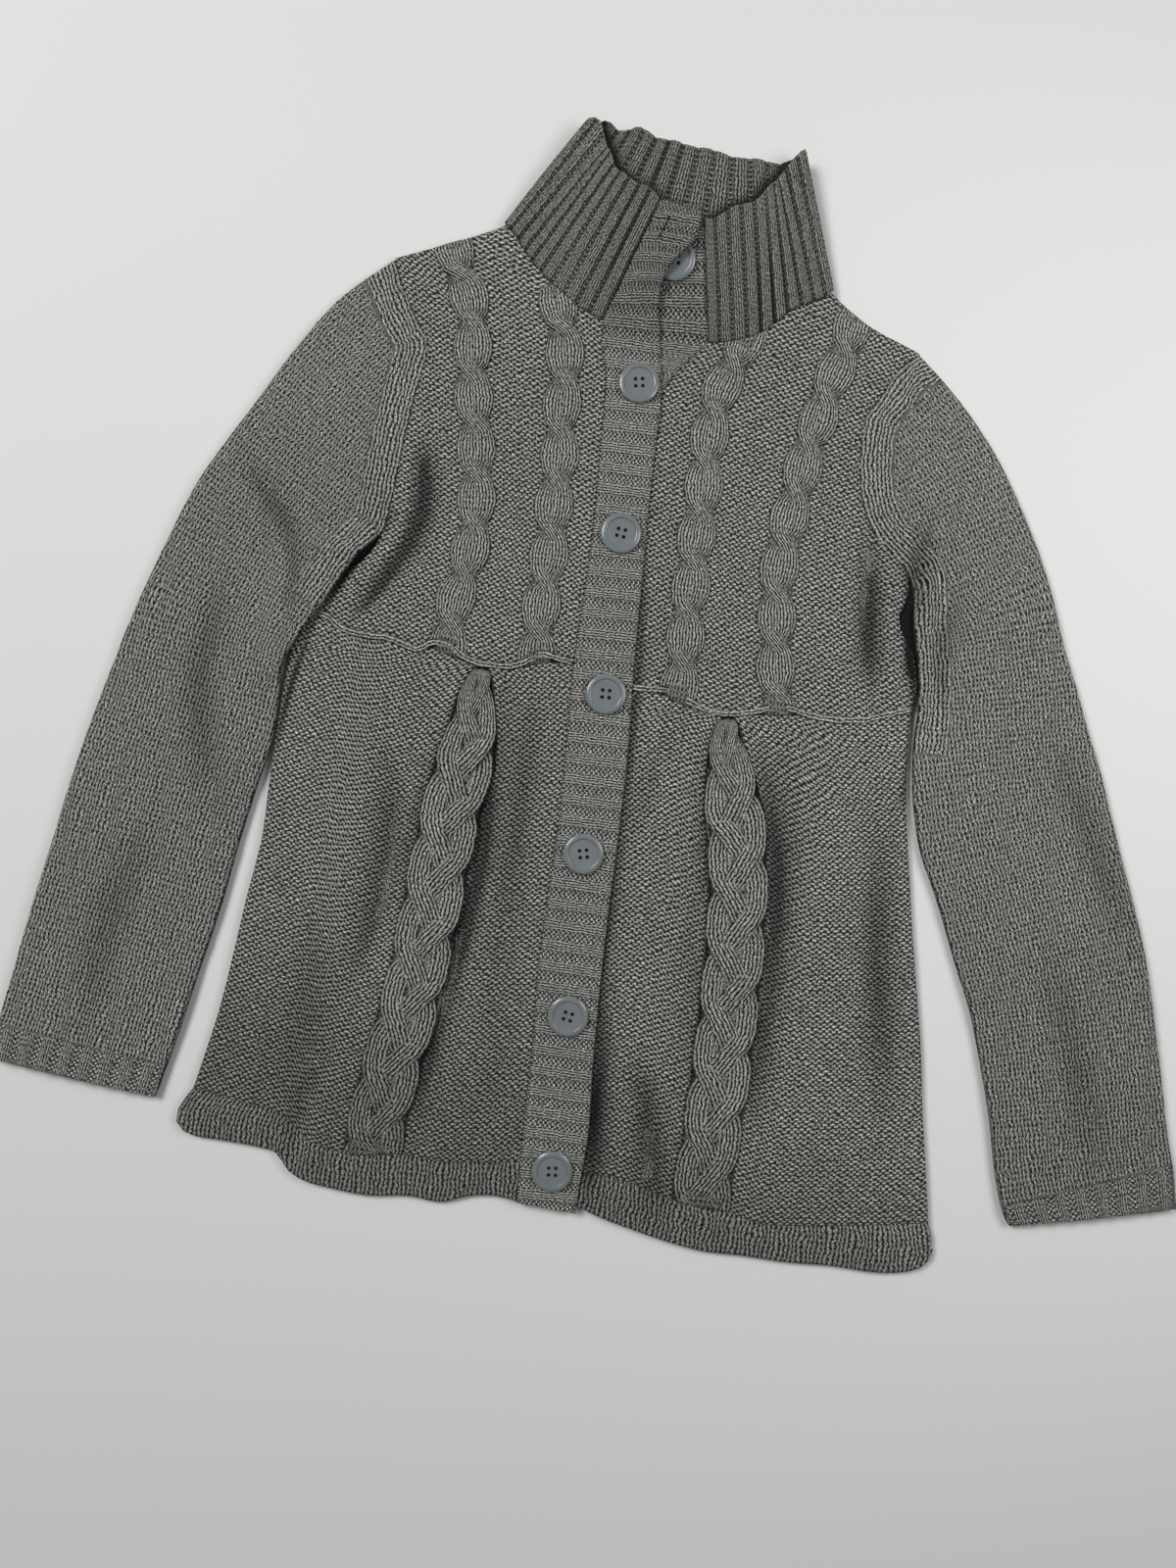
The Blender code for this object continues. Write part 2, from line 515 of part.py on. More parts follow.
def plait_rise(across, along):
    """Three strands, each going over the middle one as it comes in from a side."""
    half = PLAIT_WIDTH * 0.19
    reach = PLAIT_WIDTH / 2 - half
    best = np.zeros_like(across)
    for number in range(3):
        angle = 2.0 * np.pi * (along / PLAIT_PERIOD + number / 3.0)
        body = strand(across - reach * np.sin(angle), half)
        best = np.maximum(best, body * (0.75 - 0.25 * np.sin(2.0 * angle)))
    return PLAIT_RISE * best


def plait_half_width(along):
    """Half the plait's width, which opens out of the pleat's point."""
    return PLAIT_WIDTH / 2 * (0.16 + 0.84 * ease(along / PLEAT_POINT) ** 0.7)


def strip_frame(rows, step):
    """Middle points, sideways directions and distances along a cable's path."""
    path = smooth_line(rows, step)
    ahead = np.gradient(path, axis=0)
    ahead /= np.linalg.norm(ahead, axis=1)[:, None]
    sideways = np.column_stack((-ahead[:, 1], ahead[:, 0]))
    return path, sideways, lengths_along(path)


def cable_points(rows):
    """Plan points of a rope cable with the height of each above the ground."""
    path, sideways, along = strip_frame(rows, CABLE_PERIOD / CABLE_ROWS)
    across = CABLE_WIDTH / 2 * np.array(CABLE_ACROSS)
    points = path[:, None, :] + sideways[:, None, :] * across[None, :, None]
    rise = cable_rise(*np.meshgrid(across, along))
    return points.reshape(-1, 2), rise.ravel()


def plait_points(rows):
    """Plan points of a plait in its pleat with the height of each above the ground."""
    path, sideways, along = strip_frame(rows, PLAIT_ROW)
    half = plait_half_width(along)[:, None]
    pleat = ease(1.0 - along / PLEAT_LENGTH)[:, None]
    inner = np.array((-0.72, -0.45, -0.2, 0.0, 0.2, 0.45, 0.72))
    body = inner[None, :] * half
    rise = plait_rise(inner[None, :] * PLAIT_WIDTH / 2, along[:, None] + 0.0 * body)
    groove = np.full_like(half, 1.0) * (0.1 - PLEAT_DEPTH * pleat)
    lip = 0.9 * PLEAT_DEPTH * pleat
    flat = 0.0 * half
    across = np.hstack((-half - 2.6 * PLEAT_LIP, -half - PLEAT_LIP, -half, body, half,
                        half + PLEAT_LIP, half + 2.6 * PLEAT_LIP))
    height = np.hstack((flat, lip, groove, rise, groove, lip, flat))
    points = path[:, None, :] + sideways[:, None, :] * across[:, :, None]
    return points.reshape(-1, 2), height.ravel()


def front_solid(name, outline, side, strips, puff=0.0):
    """A front piece: its soft ground with cables or a plait raised in the outer face."""
    outline = inset(outline, SEAM_GAP / 2)
    low = front_low(outline, side)
    ground = grid_points(outline, PANEL_STEP)
    over = np.empty((0, 3))
    for points, rise in strips:
        keep = clear_inside(points, outline, 2.2)
        spread = with_height(points[keep], 0.0)
        gap = np.array([np.min(np.linalg.norm(spread[:, :2] - point, axis=1)) for point in ground])
        ground = ground[gap > PANEL_STEP * 0.45]
        height = front_low(points[keep], side) + WALL + rise[keep]
        over = np.concatenate((over, np.column_stack((points[keep], height))))
    plain = np.column_stack((ground, front_low(ground, side) + WALL + puff))
    under_grid = grid_points(outline, PANEL_STEP)
    under = np.column_stack((under_grid, front_low(under_grid, side)))
    over = np.concatenate((over, plain))
    return wall_solid(name, outline, low, low + WALL - RIM_DROP, over, under)


def flat_solid(name, outline):
    """A plain piece of the back, flat on the surface."""
    outline = inset(outline, SEAM_GAP / 2)
    count = len(outline)
    grid = grid_points(outline, 3.0 * PANEL_STEP)
    over = np.column_stack((grid, np.full(len(grid), WALL)))
    under = np.column_stack((grid, np.zeros(len(grid))))
    return wall_solid(name, outline, np.zeros(count), np.full(count, WALL), over, under)


def rib_profile(places):
    """Height of a rib with a flat top and a flat valley, by its place counted in ribs."""
    place = np.asarray(places, dtype=float) % 1.0
    return ease((0.5 - np.abs(place - 0.5)) / 0.16 - 0.6)


def band_point(rows, along, across):
    """A point in a band's middle surface, by its distance from the hem and its share across."""
    knots = lengths_along(np.array(rows)[:, :2])
    value = through(rows, knots, along)
    share = np.asarray(across)[:, None]
    points = value[:, :3] * (1.0 - share) + value[:, 3:6] * share
    points[:, 2] += value[:, 6] * 4.0 * (share * (1.0 - share))[:, 0]
    return points


def band_places(rows, first, last):
    """Distances from the hem of points about a step apart, with one at each row of the table."""
    knots = lengths_along(np.array(rows)[:, :2])
    places = [knots[first]]
    for row in range(first, last):
        count = max(1, int(round((knots[row + 1] - knots[row]) / BAND_STEP)))
        places += list(np.linspace(knots[row], knots[row + 1], count + 1)[1:])
    return np.array(places)


def band_side(rows, share, first=0, last=None):
    """Points along one side of a band, from one row of its table to another."""
    places = band_places(rows, first, len(rows) - 1 if last is None else last)
    return band_point(rows, places, np.full(len(places), float(share)))


def band_outline(rows, gap_left, gap_right):
    """The closed edge of a band, moved in at its two sides."""
    left = band_side(rows, 0.0)
    right = band_side(rows, 1.0)
    left[:, 0] += gap_left
    right[:, 0] -= gap_right
    length = lengths_along(np.array(rows)[:, :2])[-1]
    middle_top = band_point(rows, [length], [0.5])
    middle_low = band_point(rows, [0.0], [0.5])
    return np.concatenate((right, middle_top, left[::-1], middle_low))


def band_solid(name, rows, gap_left, gap_right, ribs_from):
    """A button band, with ribs across it in the outer face."""
    rim = band_outline(rows, gap_left, gap_right)
    length = lengths_along(np.array(rows)[:, :2])[-1]
    ribs = np.arange(int(length / BAND_RIB))
    places = (ribs[:, None] + np.array(RIB_PLACES)[None, :]).ravel()
    along = places * BAND_RIB
    along = along[along < length - BAND_END]
    over = []
    creases = []
    for place in along:
        ends = band_point(rows, [place, place], BAND_RIB_ENDS)
        if ends[0, 1] < ribs_from:
            continue
        ends[:, 2] += WALL / 2 + BAND_RIB_RISE * (rib_profile(place / BAND_RIB) - 0.3)
        creases.append((len(rim) + len(over), len(rim) + len(over) + 1))
        over += list(ends)
    back = np.arange(BAND_BACK_START, length - BAND_BACK_START / 2, BAND_BACK_STEP)
    middles = band_point(rows, back, np.full(len(back), 0.5))
    middles[:, 2] -= WALL / 2
    low = rim[:, 2] - WALL / 2
    high = rim[:, 2] + WALL / 2 - 0.4 * RIM_DROP
    return wall_solid(name, rim[:, :2], low, high, np.array(over), middles, creases)


def sleeve_lift(points, lift, body_side):
    """How far a sleeve's cloth is held up where it lies on the edge of the body."""
    rise, start, full, held, end, width = lift
    order = np.argsort(body_side[:, 1])
    side_x = np.interp(points[:, 1], body_side[order, 1], body_side[order, 0])
    inward = (points[:, 0] - side_x) * -math.copysign(1.0, body_side[0, 0])
    near = ease((inward + width + 2.0) / width)
    from_start = ease((start - points[:, 1]) / (start - full))
    to_end = ease((points[:, 1] - end) / (held - end))
    return rise * near * from_start * to_end


def sleeve_plan(sleeve, share, across):
    """Plan points of a sleeve at a share of its length and at shares across it."""
    rows = np.array(sleeve["rows"], dtype=float)
    knots = (lengths_along(rows[:, :2]) + lengths_along(rows[:, 2:])) / 2
    value = through(rows, knots, [share * knots[-1]])[0]
    across = np.asarray(across)[:, None]
    points = value[:2] * (1.0 - across) + value[2:] * across
    start = rows[0, :2] * (1.0 - across) + rows[0, 2:] * across
    armhole = sleeve["armhole"]
    along = lengths_along(armhole) / lengths_along(armhole)[-1]
    bend = np.column_stack([np.interp(across[:, 0], along, column) for column in armhole.T])
    fade = max(0.0, 1.0 - share / ARMHOLE_FADE) ** 2
    return points + fade * (bend - start)


def armhole_across(sleeve, hold):
    """Shares across the armhole ring at the seam's own points, between its two folds."""
    along = lengths_along(sleeve["armhole"]) / lengths_along(sleeve["armhole"])[-1]
    between = along[(along > hold + 0.01) & (along < 0.99 - hold)]
    return np.concatenate(([0.0], (between - hold) / (1.0 - 2.0 * hold), [1.0]))


def sleeve_ring(sleeve, share, top_across, low_across, inner):
    """One closed ring: over the top, round one fold, back along the underside, round the other.

    Each point has its place round the ring, by which rings with other points are joined.
    """
    ends = sleeve_plan(sleeve, share, (0.0, 1.0))
    width = np.linalg.norm(ends[1] - ends[0])
    hold = SLEEVE_EDGE / 2 / width
    if share == 0.0:
        top_across = armhole_across(sleeve, hold)
        low_across = top_across[::-1]
    top_across = np.array(top_across)
    low_across = np.array(low_across)
    crown = 1.0 - (2.0 * top_across - 1.0) ** 2
    height = SLEEVE_EDGE + (SLEEVE_MIDDLE - SLEEVE_EDGE) * crown
    at_seam = front_low(sleeve_plan(sleeve, 0.0, top_across), sleeve["side"]) + WALL
    height = at_seam + (height - at_seam) * ease(share / 0.1)
    skin = WALL if inner else 0.0
    edge = height[[-1, 0]] / 2
    radius = np.maximum(edge - skin, SLEEVE_LEAST_HOLLOW / 2)
    angles = np.array((0.0,)) if inner else np.radians((45.0, 0.0, -45.0))
    reach = np.cos(angles) * (hold - skin / width * 0.4)
    across = np.concatenate((hold + (1.0 - 2.0 * hold) * top_across, 1.0 - hold + reach,
                             hold + (1.0 - 2.0 * hold) * low_across, hold - reach[::-1]))
    z = np.concatenate((height - skin, edge[0] + radius[0] * np.sin(angles),
                        np.full(len(low_across), skin),
                        edge[1] + radius[1] * np.sin(angles[::-1])))
    plan = sleeve_plan(sleeve, share, across)
    z = z + sleeve_lift(plan, sleeve["lift"], sleeve["body_side"])
    round_fold = np.linspace(0.01, 0.04, len(angles))
    places = np.concatenate((TOP_SHARE * top_across, TOP_SHARE + round_fold,
                             0.5 + TOP_SHARE * (1.0 - low_across), 0.5 + TOP_SHARE + round_fold))
    return np.column_stack((plan, z)), places


def zip_rings(first, first_at, second, second_at):
    """Triangles between two closed rings of point numbers with their places round the ring."""
    faces = []
    i = 0
    j = 0
    while i < len(first) or j < len(second):
        next_first = first_at[i + 1] if i + 1 < len(first) else 1.0
        next_second = second_at[j + 1] if j + 1 < len(second) else 1.0
        take_first = j == len(second) or (i < len(first) and next_first <= next_second)
        here_first = first[i % len(first)]
        here_second = second[j % len(second)]
        if take_first:
            faces.append((here_first, first[(i + 1) % len(first)], here_second))
            i += 1
        else:
            faces.append((here_first, second[(j + 1) % len(second)], here_second))
            j += 1
    return faces


def sleeve_solid(name, sleeve):
    """A sleeve as a flattened tube, open at the armhole and at its ribbed cuff."""
    length = lengths_along(np.array(sleeve["rows"])[:, 2:])[-1]
    cuff_start = 1.0 - CUFF_HEIGHT / length
    places = np.arange(CUFF_RIBS)[:, None] + np.array(RIB_PLACES)[None, :]
    ribbed = np.concatenate(([0.0], places.ravel() / CUFF_RIBS, [1.0]))
    rings = [sleeve_ring(sleeve, share, SLEEVE_TOP_ACROSS, SLEEVE_LOW_ACROSS, False)
             for share in SLEEVE_SHARES + (cuff_start,)]
    for share in (cuff_start + 0.4 * (1.0 - cuff_start), 1.0):
        points, around = sleeve_ring(sleeve, share, ribbed, SLEEVE_LOW_ACROSS, False)
        points[:len(ribbed), 2] += CUFF_RIB_RISE * (rib_profile(ribbed * CUFF_RIBS) - 0.4)
        rings.append((points, around))
    rings += [sleeve_ring(sleeve, share, HOLLOW_TOP_ACROSS, HOLLOW_LOW_ACROSS, True)
              for share in (1.0,) + SLEEVE_SHARES[::-1]]
    return add_object(name, *joined_rings(rings))


def joined_rings(rings):
    """Points and faces of a closed band of rings, the last one joined to the first."""
    points = np.concatenate([ring for ring, _ in rings])
    starts = np.concatenate(([0], np.cumsum([len(ring) for ring, _ in rings])))
    faces = []
    for index, (ring, places) in enumerate(rings):
        ahead = (index + 1) % len(rings)
        first = [starts[index] + number for number in range(len(ring))]
        second = [starts[ahead] + number for number in range(len(rings[ahead][0]))]
        faces += zip_rings(first, places, second, rings[ahead][1])
    return points, faces


def collar_point(ribs, up):
    """Middle surface of the collar by the ribs counted round it and the share of its height."""
    table = np.array(COLLAR)
    value = through(table[:, 1:], table[:, 0], ribs)
    up = np.asarray(up)[:, None]
    points = value[:, :3] * (1.0 - up) + value[:, 3:] * up
    belly = 4.0 * (up * (1.0 - up))[:, 0]
    front = ease((COLLAR_FOLDS[0] - 1.5 - ribs) / 4.0) + ease((ribs - COLLAR_FOLDS[1] - 1.5) / 4.0)
    points[:, 2] += COLLAR_BELLY * belly * front
    return points


def collar_normal(ribs, up):
    """Direction out of the collar, away from the neck, from its slopes round and up."""
    step = 0.02
    side_low = collar_point(np.maximum(ribs - step, COLLAR[0][0]), up)
    side_high = collar_point(np.minimum(ribs + step, COLLAR[-1][0]), up)
    up_low = collar_point(ribs, np.maximum(up - step, 0.0))
    up_high = collar_point(ribs, np.minimum(up + step, 1.0))
    normal = np.cross(up_high - up_low, side_high - side_low)
    return normal / np.linalg.norm(normal, axis=1)[:, None]


def collar_face(ribs, up, outer, ribbed):
    """Points of one face of the collar's wall, with ribs where it is ribbed."""
    place = np.full(len(ribs), float(up))
    normal = collar_normal(ribs, place)
    push = np.full(len(ribs), WALL / 2)
    push = push + np.where(ribbed, COLLAR_RIB_RISE * (rib_profile(ribs) - 0.4), 0.0)
    direction = 1.0 if outer else -1.0
    return collar_point(ribs, place) + direction * normal * push[:, None]


def collar_columns(ribbed_parts):
    """Rib counts of the columns of one face, and which of them carry ribs.

    The collar has three parts, front, back and front, with a crease between each two.
    """
    stops = (COLLAR[0][0], COLLAR_FOLDS[0], COLLAR_FOLDS[1], COLLAR[-1][0])
    ribs = [stops[0] + COLLAR_END_GAP]
    marks = [False]
    for part in range(3):
        start = stops[part] + (1.0 if part > 0 else 0.0)
        end = stops[part + 1] - (1.0 if part < 2 else 0.0)
        if part in ribbed_parts:
            columns = (np.arange(start, end)[:, None] + np.array(RIB_PLACES)[None, :]).ravel()
            columns = columns[columns < stops[part + 1] - 0.9 * (part < 2)]
        else:
            columns = np.arange(start + 0.3, end, 1.25)
        ribs += list(columns)
        marks += [part in ribbed_parts] * len(columns)
        if part < 2:
            fold = stops[part + 1] + np.linspace(-0.75, 0.75, COLLAR_POINTS_ROUND_FOLD)
            ribs += list(fold)
            marks += [False] * len(fold)
    return np.array(ribs + [stops[-1] - COLLAR_END_GAP]), np.array(marks + [False])


def collar_solid():
    """The standing collar, ribbed on each face that shows."""
    outer_ribs, outer_marks = collar_columns((0, 2))
    inner_ribs, inner_marks = collar_columns((1,))
    ups = np.linspace(0.0, 1.0, COLLAR_ROWS)
    points = []
    for up in ups:
        points.append(collar_face(outer_ribs, up, True, outer_marks))
        points.append(collar_face(inner_ribs, up, False, inner_marks)[::-1])
    points = np.concatenate(points)
    points[:, 2] = np.maximum(points[:, 2], 0.0)
    outer_count = len(outer_ribs)
    ring = outer_count + len(inner_ribs)
    faces = []
    for row in range(len(ups) - 1):
        here = row * ring
        for index in range(ring):
            ahead = (index + 1) % ring
            faces.append((here + index, here + ahead, here + ring + ahead, here + ring + index))
    for row in (0, len(ups) - 1):
        here = row * ring
        outer = list(range(here, here + outer_count))
        inner = list(range(here + ring - 1, here + outer_count - 1, -1))
        faces += zip_lines(outer, outer_ribs, inner, inner_ribs)
    return add_object("collar", points, faces)


def zip_lines(first, first_at, second, second_at):
    """Triangles between two lines of point numbers with their places along them."""
    faces = []
    i = 0
    j = 0
    while i < len(first) - 1 or j < len(second) - 1:
        can_first = i < len(first) - 1
        can_second = j < len(second) - 1
        if can_first and (not can_second or first_at[i + 1] <= second_at[j + 1]):
            faces.append((first[i], first[i + 1], second[j]))
            i += 1
        else:
            faces.append((first[i], second[j + 1], second[j]))
            j += 1
    return faces


def circle(radius, sides, middle=(0.0, 0.0), start=0.0):
    """Points of a circle in plan."""
    angles = start + 2.0 * np.pi * np.arange(sides) / sides
    return np.column_stack((middle[0] + radius * np.cos(angles),
                            middle[1] + radius * np.sin(angles)))


def button_mesh():
    """Points and faces of a four-hole button with a raised rim, its underside at z = 0."""
    dish_radius = BUTTON_RADIUS - BUTTON_RIM
    plate = circle(dish_radius - 0.8, BUTTON_SIDES)
    holes = [circle(BUTTON_HOLE, HOLE_SIDES, (x, y), 0.3)
             for x in (-BUTTON_HOLE_PITCH, BUTTON_HOLE_PITCH)
             for y in (-BUTTON_HOLE_PITCH, BUTTON_HOLE_PITCH)]
    flat = np.concatenate([plate] + holes)
    creases = []
    for number in range(4):
        start = BUTTON_SIDES + number * HOLE_SIDES
        creases += [(start + k, start + (k + 1) % HOLE_SIDES) for k in range(HOLE_SIDES)]
    filled = triangles(flat, BUTTON_SIDES, creases)
    kept = [face for face in filled if not in_a_hole(flat[list(face)].mean(axis=0))]
    top_z = BUTTON_HEIGHT - BUTTON_DISH
    top = np.column_stack((flat, np.full(len(flat), top_z)))
    bottom = np.column_stack((flat, np.zeros(len(flat))))
    rings = ((dish_radius, BUTTON_HEIGHT), (BUTTON_RADIUS - 0.7, BUTTON_HEIGHT),
             (BUTTON_RADIUS, BUTTON_HEIGHT - 0.8), (BUTTON_RADIUS - 0.9, 0.0))
    turned = [np.column_stack((circle(radius, BUTTON_SIDES), np.full(BUTTON_SIDES, z)))
              for radius, z in rings]
    points = np.concatenate([top, bottom] + turned)
    count = len(flat)
    faces = [tuple(face) for face in kept]
    faces += [tuple(index + count for index in reversed(face)) for face in kept]
    for first, second in creases:
        faces.append((first, second, count + second, count + first))
    starts = [0] + [2 * count + BUTTON_SIDES * k for k in range(len(rings))] + [count]
    for here, ahead in zip(starts[:-1], starts[1:]):
        for k in range(BUTTON_SIDES):
            turn = (k + 1) % BUTTON_SIDES
            faces.append((here + k, here + turn, ahead + turn, ahead + k))
    return points, faces


def in_a_hole(point):
    """Whether a plan point of the button lies in one of its four holes."""
    corner = np.abs(point) - BUTTON_HOLE_PITCH
    return bool(np.hypot(*corner) < 0.8 * BUTTON_HOLE)


def button_solids():
    """Seven buttons, six fastened on the top band and one open on the under band."""
    points, faces = button_mesh()
    rest = BAND_LOW + WALL + BAND_RIB_RISE * 0.7 + 0.35 + SEAM_GAP
    for number, (x, y) in enumerate(BUTTONS, start=1):
        place = np.array((x, y, rest))
        add_object(f"button_{number}", points + place, faces, BUTTON_GREY, 0.35)
    tilt_x = math.radians(OPEN_BUTTON_TILT_X)
    tilt_y = math.radians(OPEN_BUTTON_TILT_Y)
    turn_x = np.array(((1, 0, 0), (0, math.cos(tilt_x), -math.sin(tilt_x)),
                       (0, math.sin(tilt_x), math.cos(tilt_x))))
    turn_y = np.array(((math.cos(tilt_y), 0, math.sin(tilt_y)), (0, 1, 0),
                       (-math.sin(tilt_y), 0, math.cos(tilt_y))))
    tilted = points @ (turn_x @ turn_y).T + np.array(OPEN_BUTTON)
    add_object("button_7", tilted, faces, BUTTON_GREY, 0.35)


def seam_lines():
    """All seams and edges as plan lines, shared by the pieces on both sides."""
    return {
        "shoulder_right": smooth_line(SHOULDER_RIGHT_IN, 16.0),
        "shoulder_left": smooth_line(SHOULDER_LEFT_IN, 16.0),
        "armhole_right": smooth_line(ARMHOLE_RIGHT_DOWN, 12.0),
        "armhole_left": smooth_line(ARMHOLE_LEFT_DOWN, 12.0),
        "underarm_right": smooth_line(UNDERARM_RIGHT, 8.0),
        "side_yoke_right": smooth_line(SIDE_YOKE_RIGHT_DOWN, 16.0),
        "side_yoke_left": smooth_line(SIDE_YOKE_LEFT_DOWN, 10.0),
        "side_back_left": smooth_line(SIDE_BACK_LEFT_DOWN, 10.0),
        "side_skirt_right": smooth_line(SIDE_SKIRT_RIGHT_DOWN, 20.0),
        "side_skirt_left": smooth_line(SIDE_SKIRT_LEFT_DOWN, 20.0),
        "waist_right": smooth_line(WAIST_RIGHT_IN, 11.0),
        "waist_left": smooth_line(WAIST_LEFT_OUT, 11.0),
        "hem_seam_right": smooth_line(HEM_SEAM_RIGHT_IN, 11.0),
        "hem_seam_left": smooth_line(HEM_SEAM_LEFT_OUT, 11.0),
        "hem_edge_right": smooth_line(HEM_EDGE_RIGHT_IN, 9.0),
        "hem_edge_left": smooth_line(HEM_EDGE_LEFT_OUT, 9.0),
        "hem_seam_back": smooth_line(HEM_SEAM_BACK, 24.0),
        "hem_edge_back": smooth_line(HEM_EDGE_BACK, 14.0),
        "neck_back": smooth_line(NECK_BACK, 12.0),
        "band_hem": band_side(TOP_BAND, 0.0, 0, HEM_SEAM_ROW),
        "band_skirt": band_side(TOP_BAND, 0.0, HEM_SEAM_ROW, WAIST_ROW_TOP),
        "band_yoke": band_side(TOP_BAND, 0.0, WAIST_ROW_TOP, NECK_ROW_TOP),
        "under_hem": band_side(UNDER_BAND, 1.0, 0, HEM_SEAM_ROW),
        "under_skirt": band_side(UNDER_BAND, 1.0, HEM_SEAM_ROW, WAIST_ROW_UNDER),
        "under_yoke": band_side(UNDER_BAND, 1.0, WAIST_ROW_UNDER, NECK_ROW_UNDER),
    }


def neck_line(first, last):
    """The collar's seam between two rib counts, with the height of the wall's inner face."""
    table = np.array(COLLAR)
    count = int((last - first) * 1.5) + 1
    values = through(table[:, 1:4], table[:, 0], np.linspace(first, last, count))
    values[:, 2] -= WALL / 2
    return values


def front_sides(seams):
    """The lines that each front is drawn to, with their reach, and its folds."""
    right_neck = neck_line(0.0, 10.0)
    left_neck = neck_line(26.0, 36.0)
    under_yoke = seams["under_yoke"] - np.array((0.0, 0.0, WALL / 2))
    right_free = ("shoulder_right", "underarm_right", "side_yoke_right", "side_skirt_right",
                  "hem_edge_right")
    left_free = ("shoulder_left", "side_yoke_left", "side_skirt_left", "hem_edge_left")
    right = [(with_height(seams[key], LAYER), FREE_EDGE_REACH) for key in right_free]
    left = [(with_height(seams[key], LAYER), FREE_EDGE_REACH) for key in left_free]
    right += [(with_height(seams["band_skirt"], BAND_LOW), SEAM_REACH),
              (with_height(seams["band_yoke"], BAND_LOW), SEAM_REACH), (right_neck, SEAM_REACH)]
    left += [(with_height(seams["under_skirt"], LAYER), SEAM_REACH), (under_yoke, SEAM_REACH),
             (left_neck, SEAM_REACH)]
    return ({"edges": right, "folds": FOLDS_RIGHT, "neck": right_neck[:, :2]},
            {"edges": left, "folds": FOLDS_LEFT, "neck": left_neck[:, :2]})


def reverse(line):
    """The same line from its other end."""
    return line[::-1]


def moved_neck(neck, shift):
    """A neck seam moved a little away from the neck, so that the collar's edge is clear."""
    ahead = np.gradient(neck, axis=0)
    ahead /= np.linalg.norm(ahead, axis=1)[:, None]
    return neck + np.column_stack((-ahead[:, 1], ahead[:, 0])) * shift


def fronts(seams, right, left):
    """Yokes, skirts and hem bands of both fronts."""
    neck = moved_neck(right["neck"], NECK_PLAY)
    neck[0] = seams["band_yoke"][-1, :2]
    neck[-1] = seams["shoulder_right"][-1]
    outline = join_lines(seams["armhole_right"], seams["underarm_right"],
                         seams["side_yoke_right"], seams["waist_right"], seams["band_yoke"],
                         neck, reverse(seams["shoulder_right"]))
    front_solid("yoke_right", outline, right,
                [cable_points(CABLE_OUTER_RIGHT), cable_points(CABLE_INNER_RIGHT)])
    neck = moved_neck(left["neck"], NECK_PLAY)
    neck[0] = seams["shoulder_left"][-1]
    neck[-1] = seams["under_yoke"][-1, :2]
    outline = join_lines(seams["shoulder_left"], neck, reverse(seams["under_yoke"]),
                         seams["waist_left"], reverse(seams["side_yoke_left"]),
                         reverse(seams["armhole_left"]))
    front_solid("yoke_left", outline, left,
                [cable_points(CABLE_INNER_LEFT), cable_points(CABLE_OUTER_LEFT)])
    outline = join_lines(seams["side_skirt_right"], seams["hem_seam_right"],
                         seams["band_skirt"], reverse(seams["waist_right"]))
    front_solid("skirt_right", outline, right, [plait_points(PLAIT_RIGHT)])
    outline = join_lines(reverse(seams["under_skirt"]), seams["hem_seam_left"],
                         reverse(seams["side_skirt_left"]), reverse(seams["waist_left"]))
    front_solid("skirt_left", outline, left, [plait_points(PLAIT_LEFT)])
    outline = join_lines(seams["hem_edge_right"], seams["band_hem"],
                         reverse(seams["hem_seam_right"]))
    front_solid("hem_right", outline, right, [], HEM_PUFF)
    outline = join_lines(seams["hem_edge_left"], reverse(seams["hem_seam_left"]),
                         reverse(seams["under_hem"]))
    front_solid("hem_left", outline, left, [], HEM_PUFF)


def backs(seams):
    """The back and its hem band, plain and flat."""
    outline = join_lines(seams["armhole_right"], seams["underarm_right"],
                         seams["side_yoke_right"], seams["side_skirt_right"],
                         seams["hem_seam_back"], reverse(seams["side_skirt_left"]),
                         reverse(seams["side_back_left"]), reverse(seams["armhole_left"]),
                         seams["shoulder_left"], reverse(seams["neck_back"]),
                         reverse(seams["shoulder_right"]))
    flat_solid("back", outline)
    outline = join_lines(seams["hem_edge_back"], reverse(seams["hem_seam_back"]))
    flat_solid("hem_back", outline)


def sleeves(seams, right, left):
    """Both sleeves, each laid partly on the edge of the body."""
    body_right = np.concatenate((seams["underarm_right"][-1:], seams["side_yoke_right"],
                                 seams["side_skirt_right"]))
    body_left = np.concatenate((seams["side_back_left"], seams["side_skirt_left"]))
    sleeve_solid("sleeve_right", {
        "rows": SLEEVE_RIGHT, "armhole": outward(seams["armhole_right"], -SEAM_GAP / 2),
        "side": right, "lift": SLEEVE_RIGHT_LIFT, "body_side": body_right})
    sleeve_solid("sleeve_left", {
        "rows": SLEEVE_LEFT, "armhole": outward(seams["armhole_left"], SEAM_GAP / 2),
        "side": left, "lift": SLEEVE_LEFT_LIFT, "body_side": body_left})


def outward(line, shift):
    """A line moved sideways."""
    ahead = np.gradient(line, axis=0)
    ahead /= np.linalg.norm(ahead, axis=1)[:, None]
    return line + np.column_stack((-ahead[:, 1], ahead[:, 0])) * shift


def main():
    """Clear the scene and build every piece of the garment."""
    for old in list(bpy.data.objects):
        bpy.data.objects.remove(old, do_unlink=True)
    seams = seam_lines()
    right, left = front_sides(seams)
    backs(seams)
    fronts(seams, right, left)
    sleeves(seams, right, left)
    collar_solid()
    band_solid("band_top", TOP_BAND, SEAM_GAP / 2, 0.0, TOP_BAND_SHOWS_FROM)
    band_solid("band_under", UNDER_BAND, 0.0, SEAM_GAP / 2, UNDER_BAND_SHOWS_FROM)
    button_solids()


main()
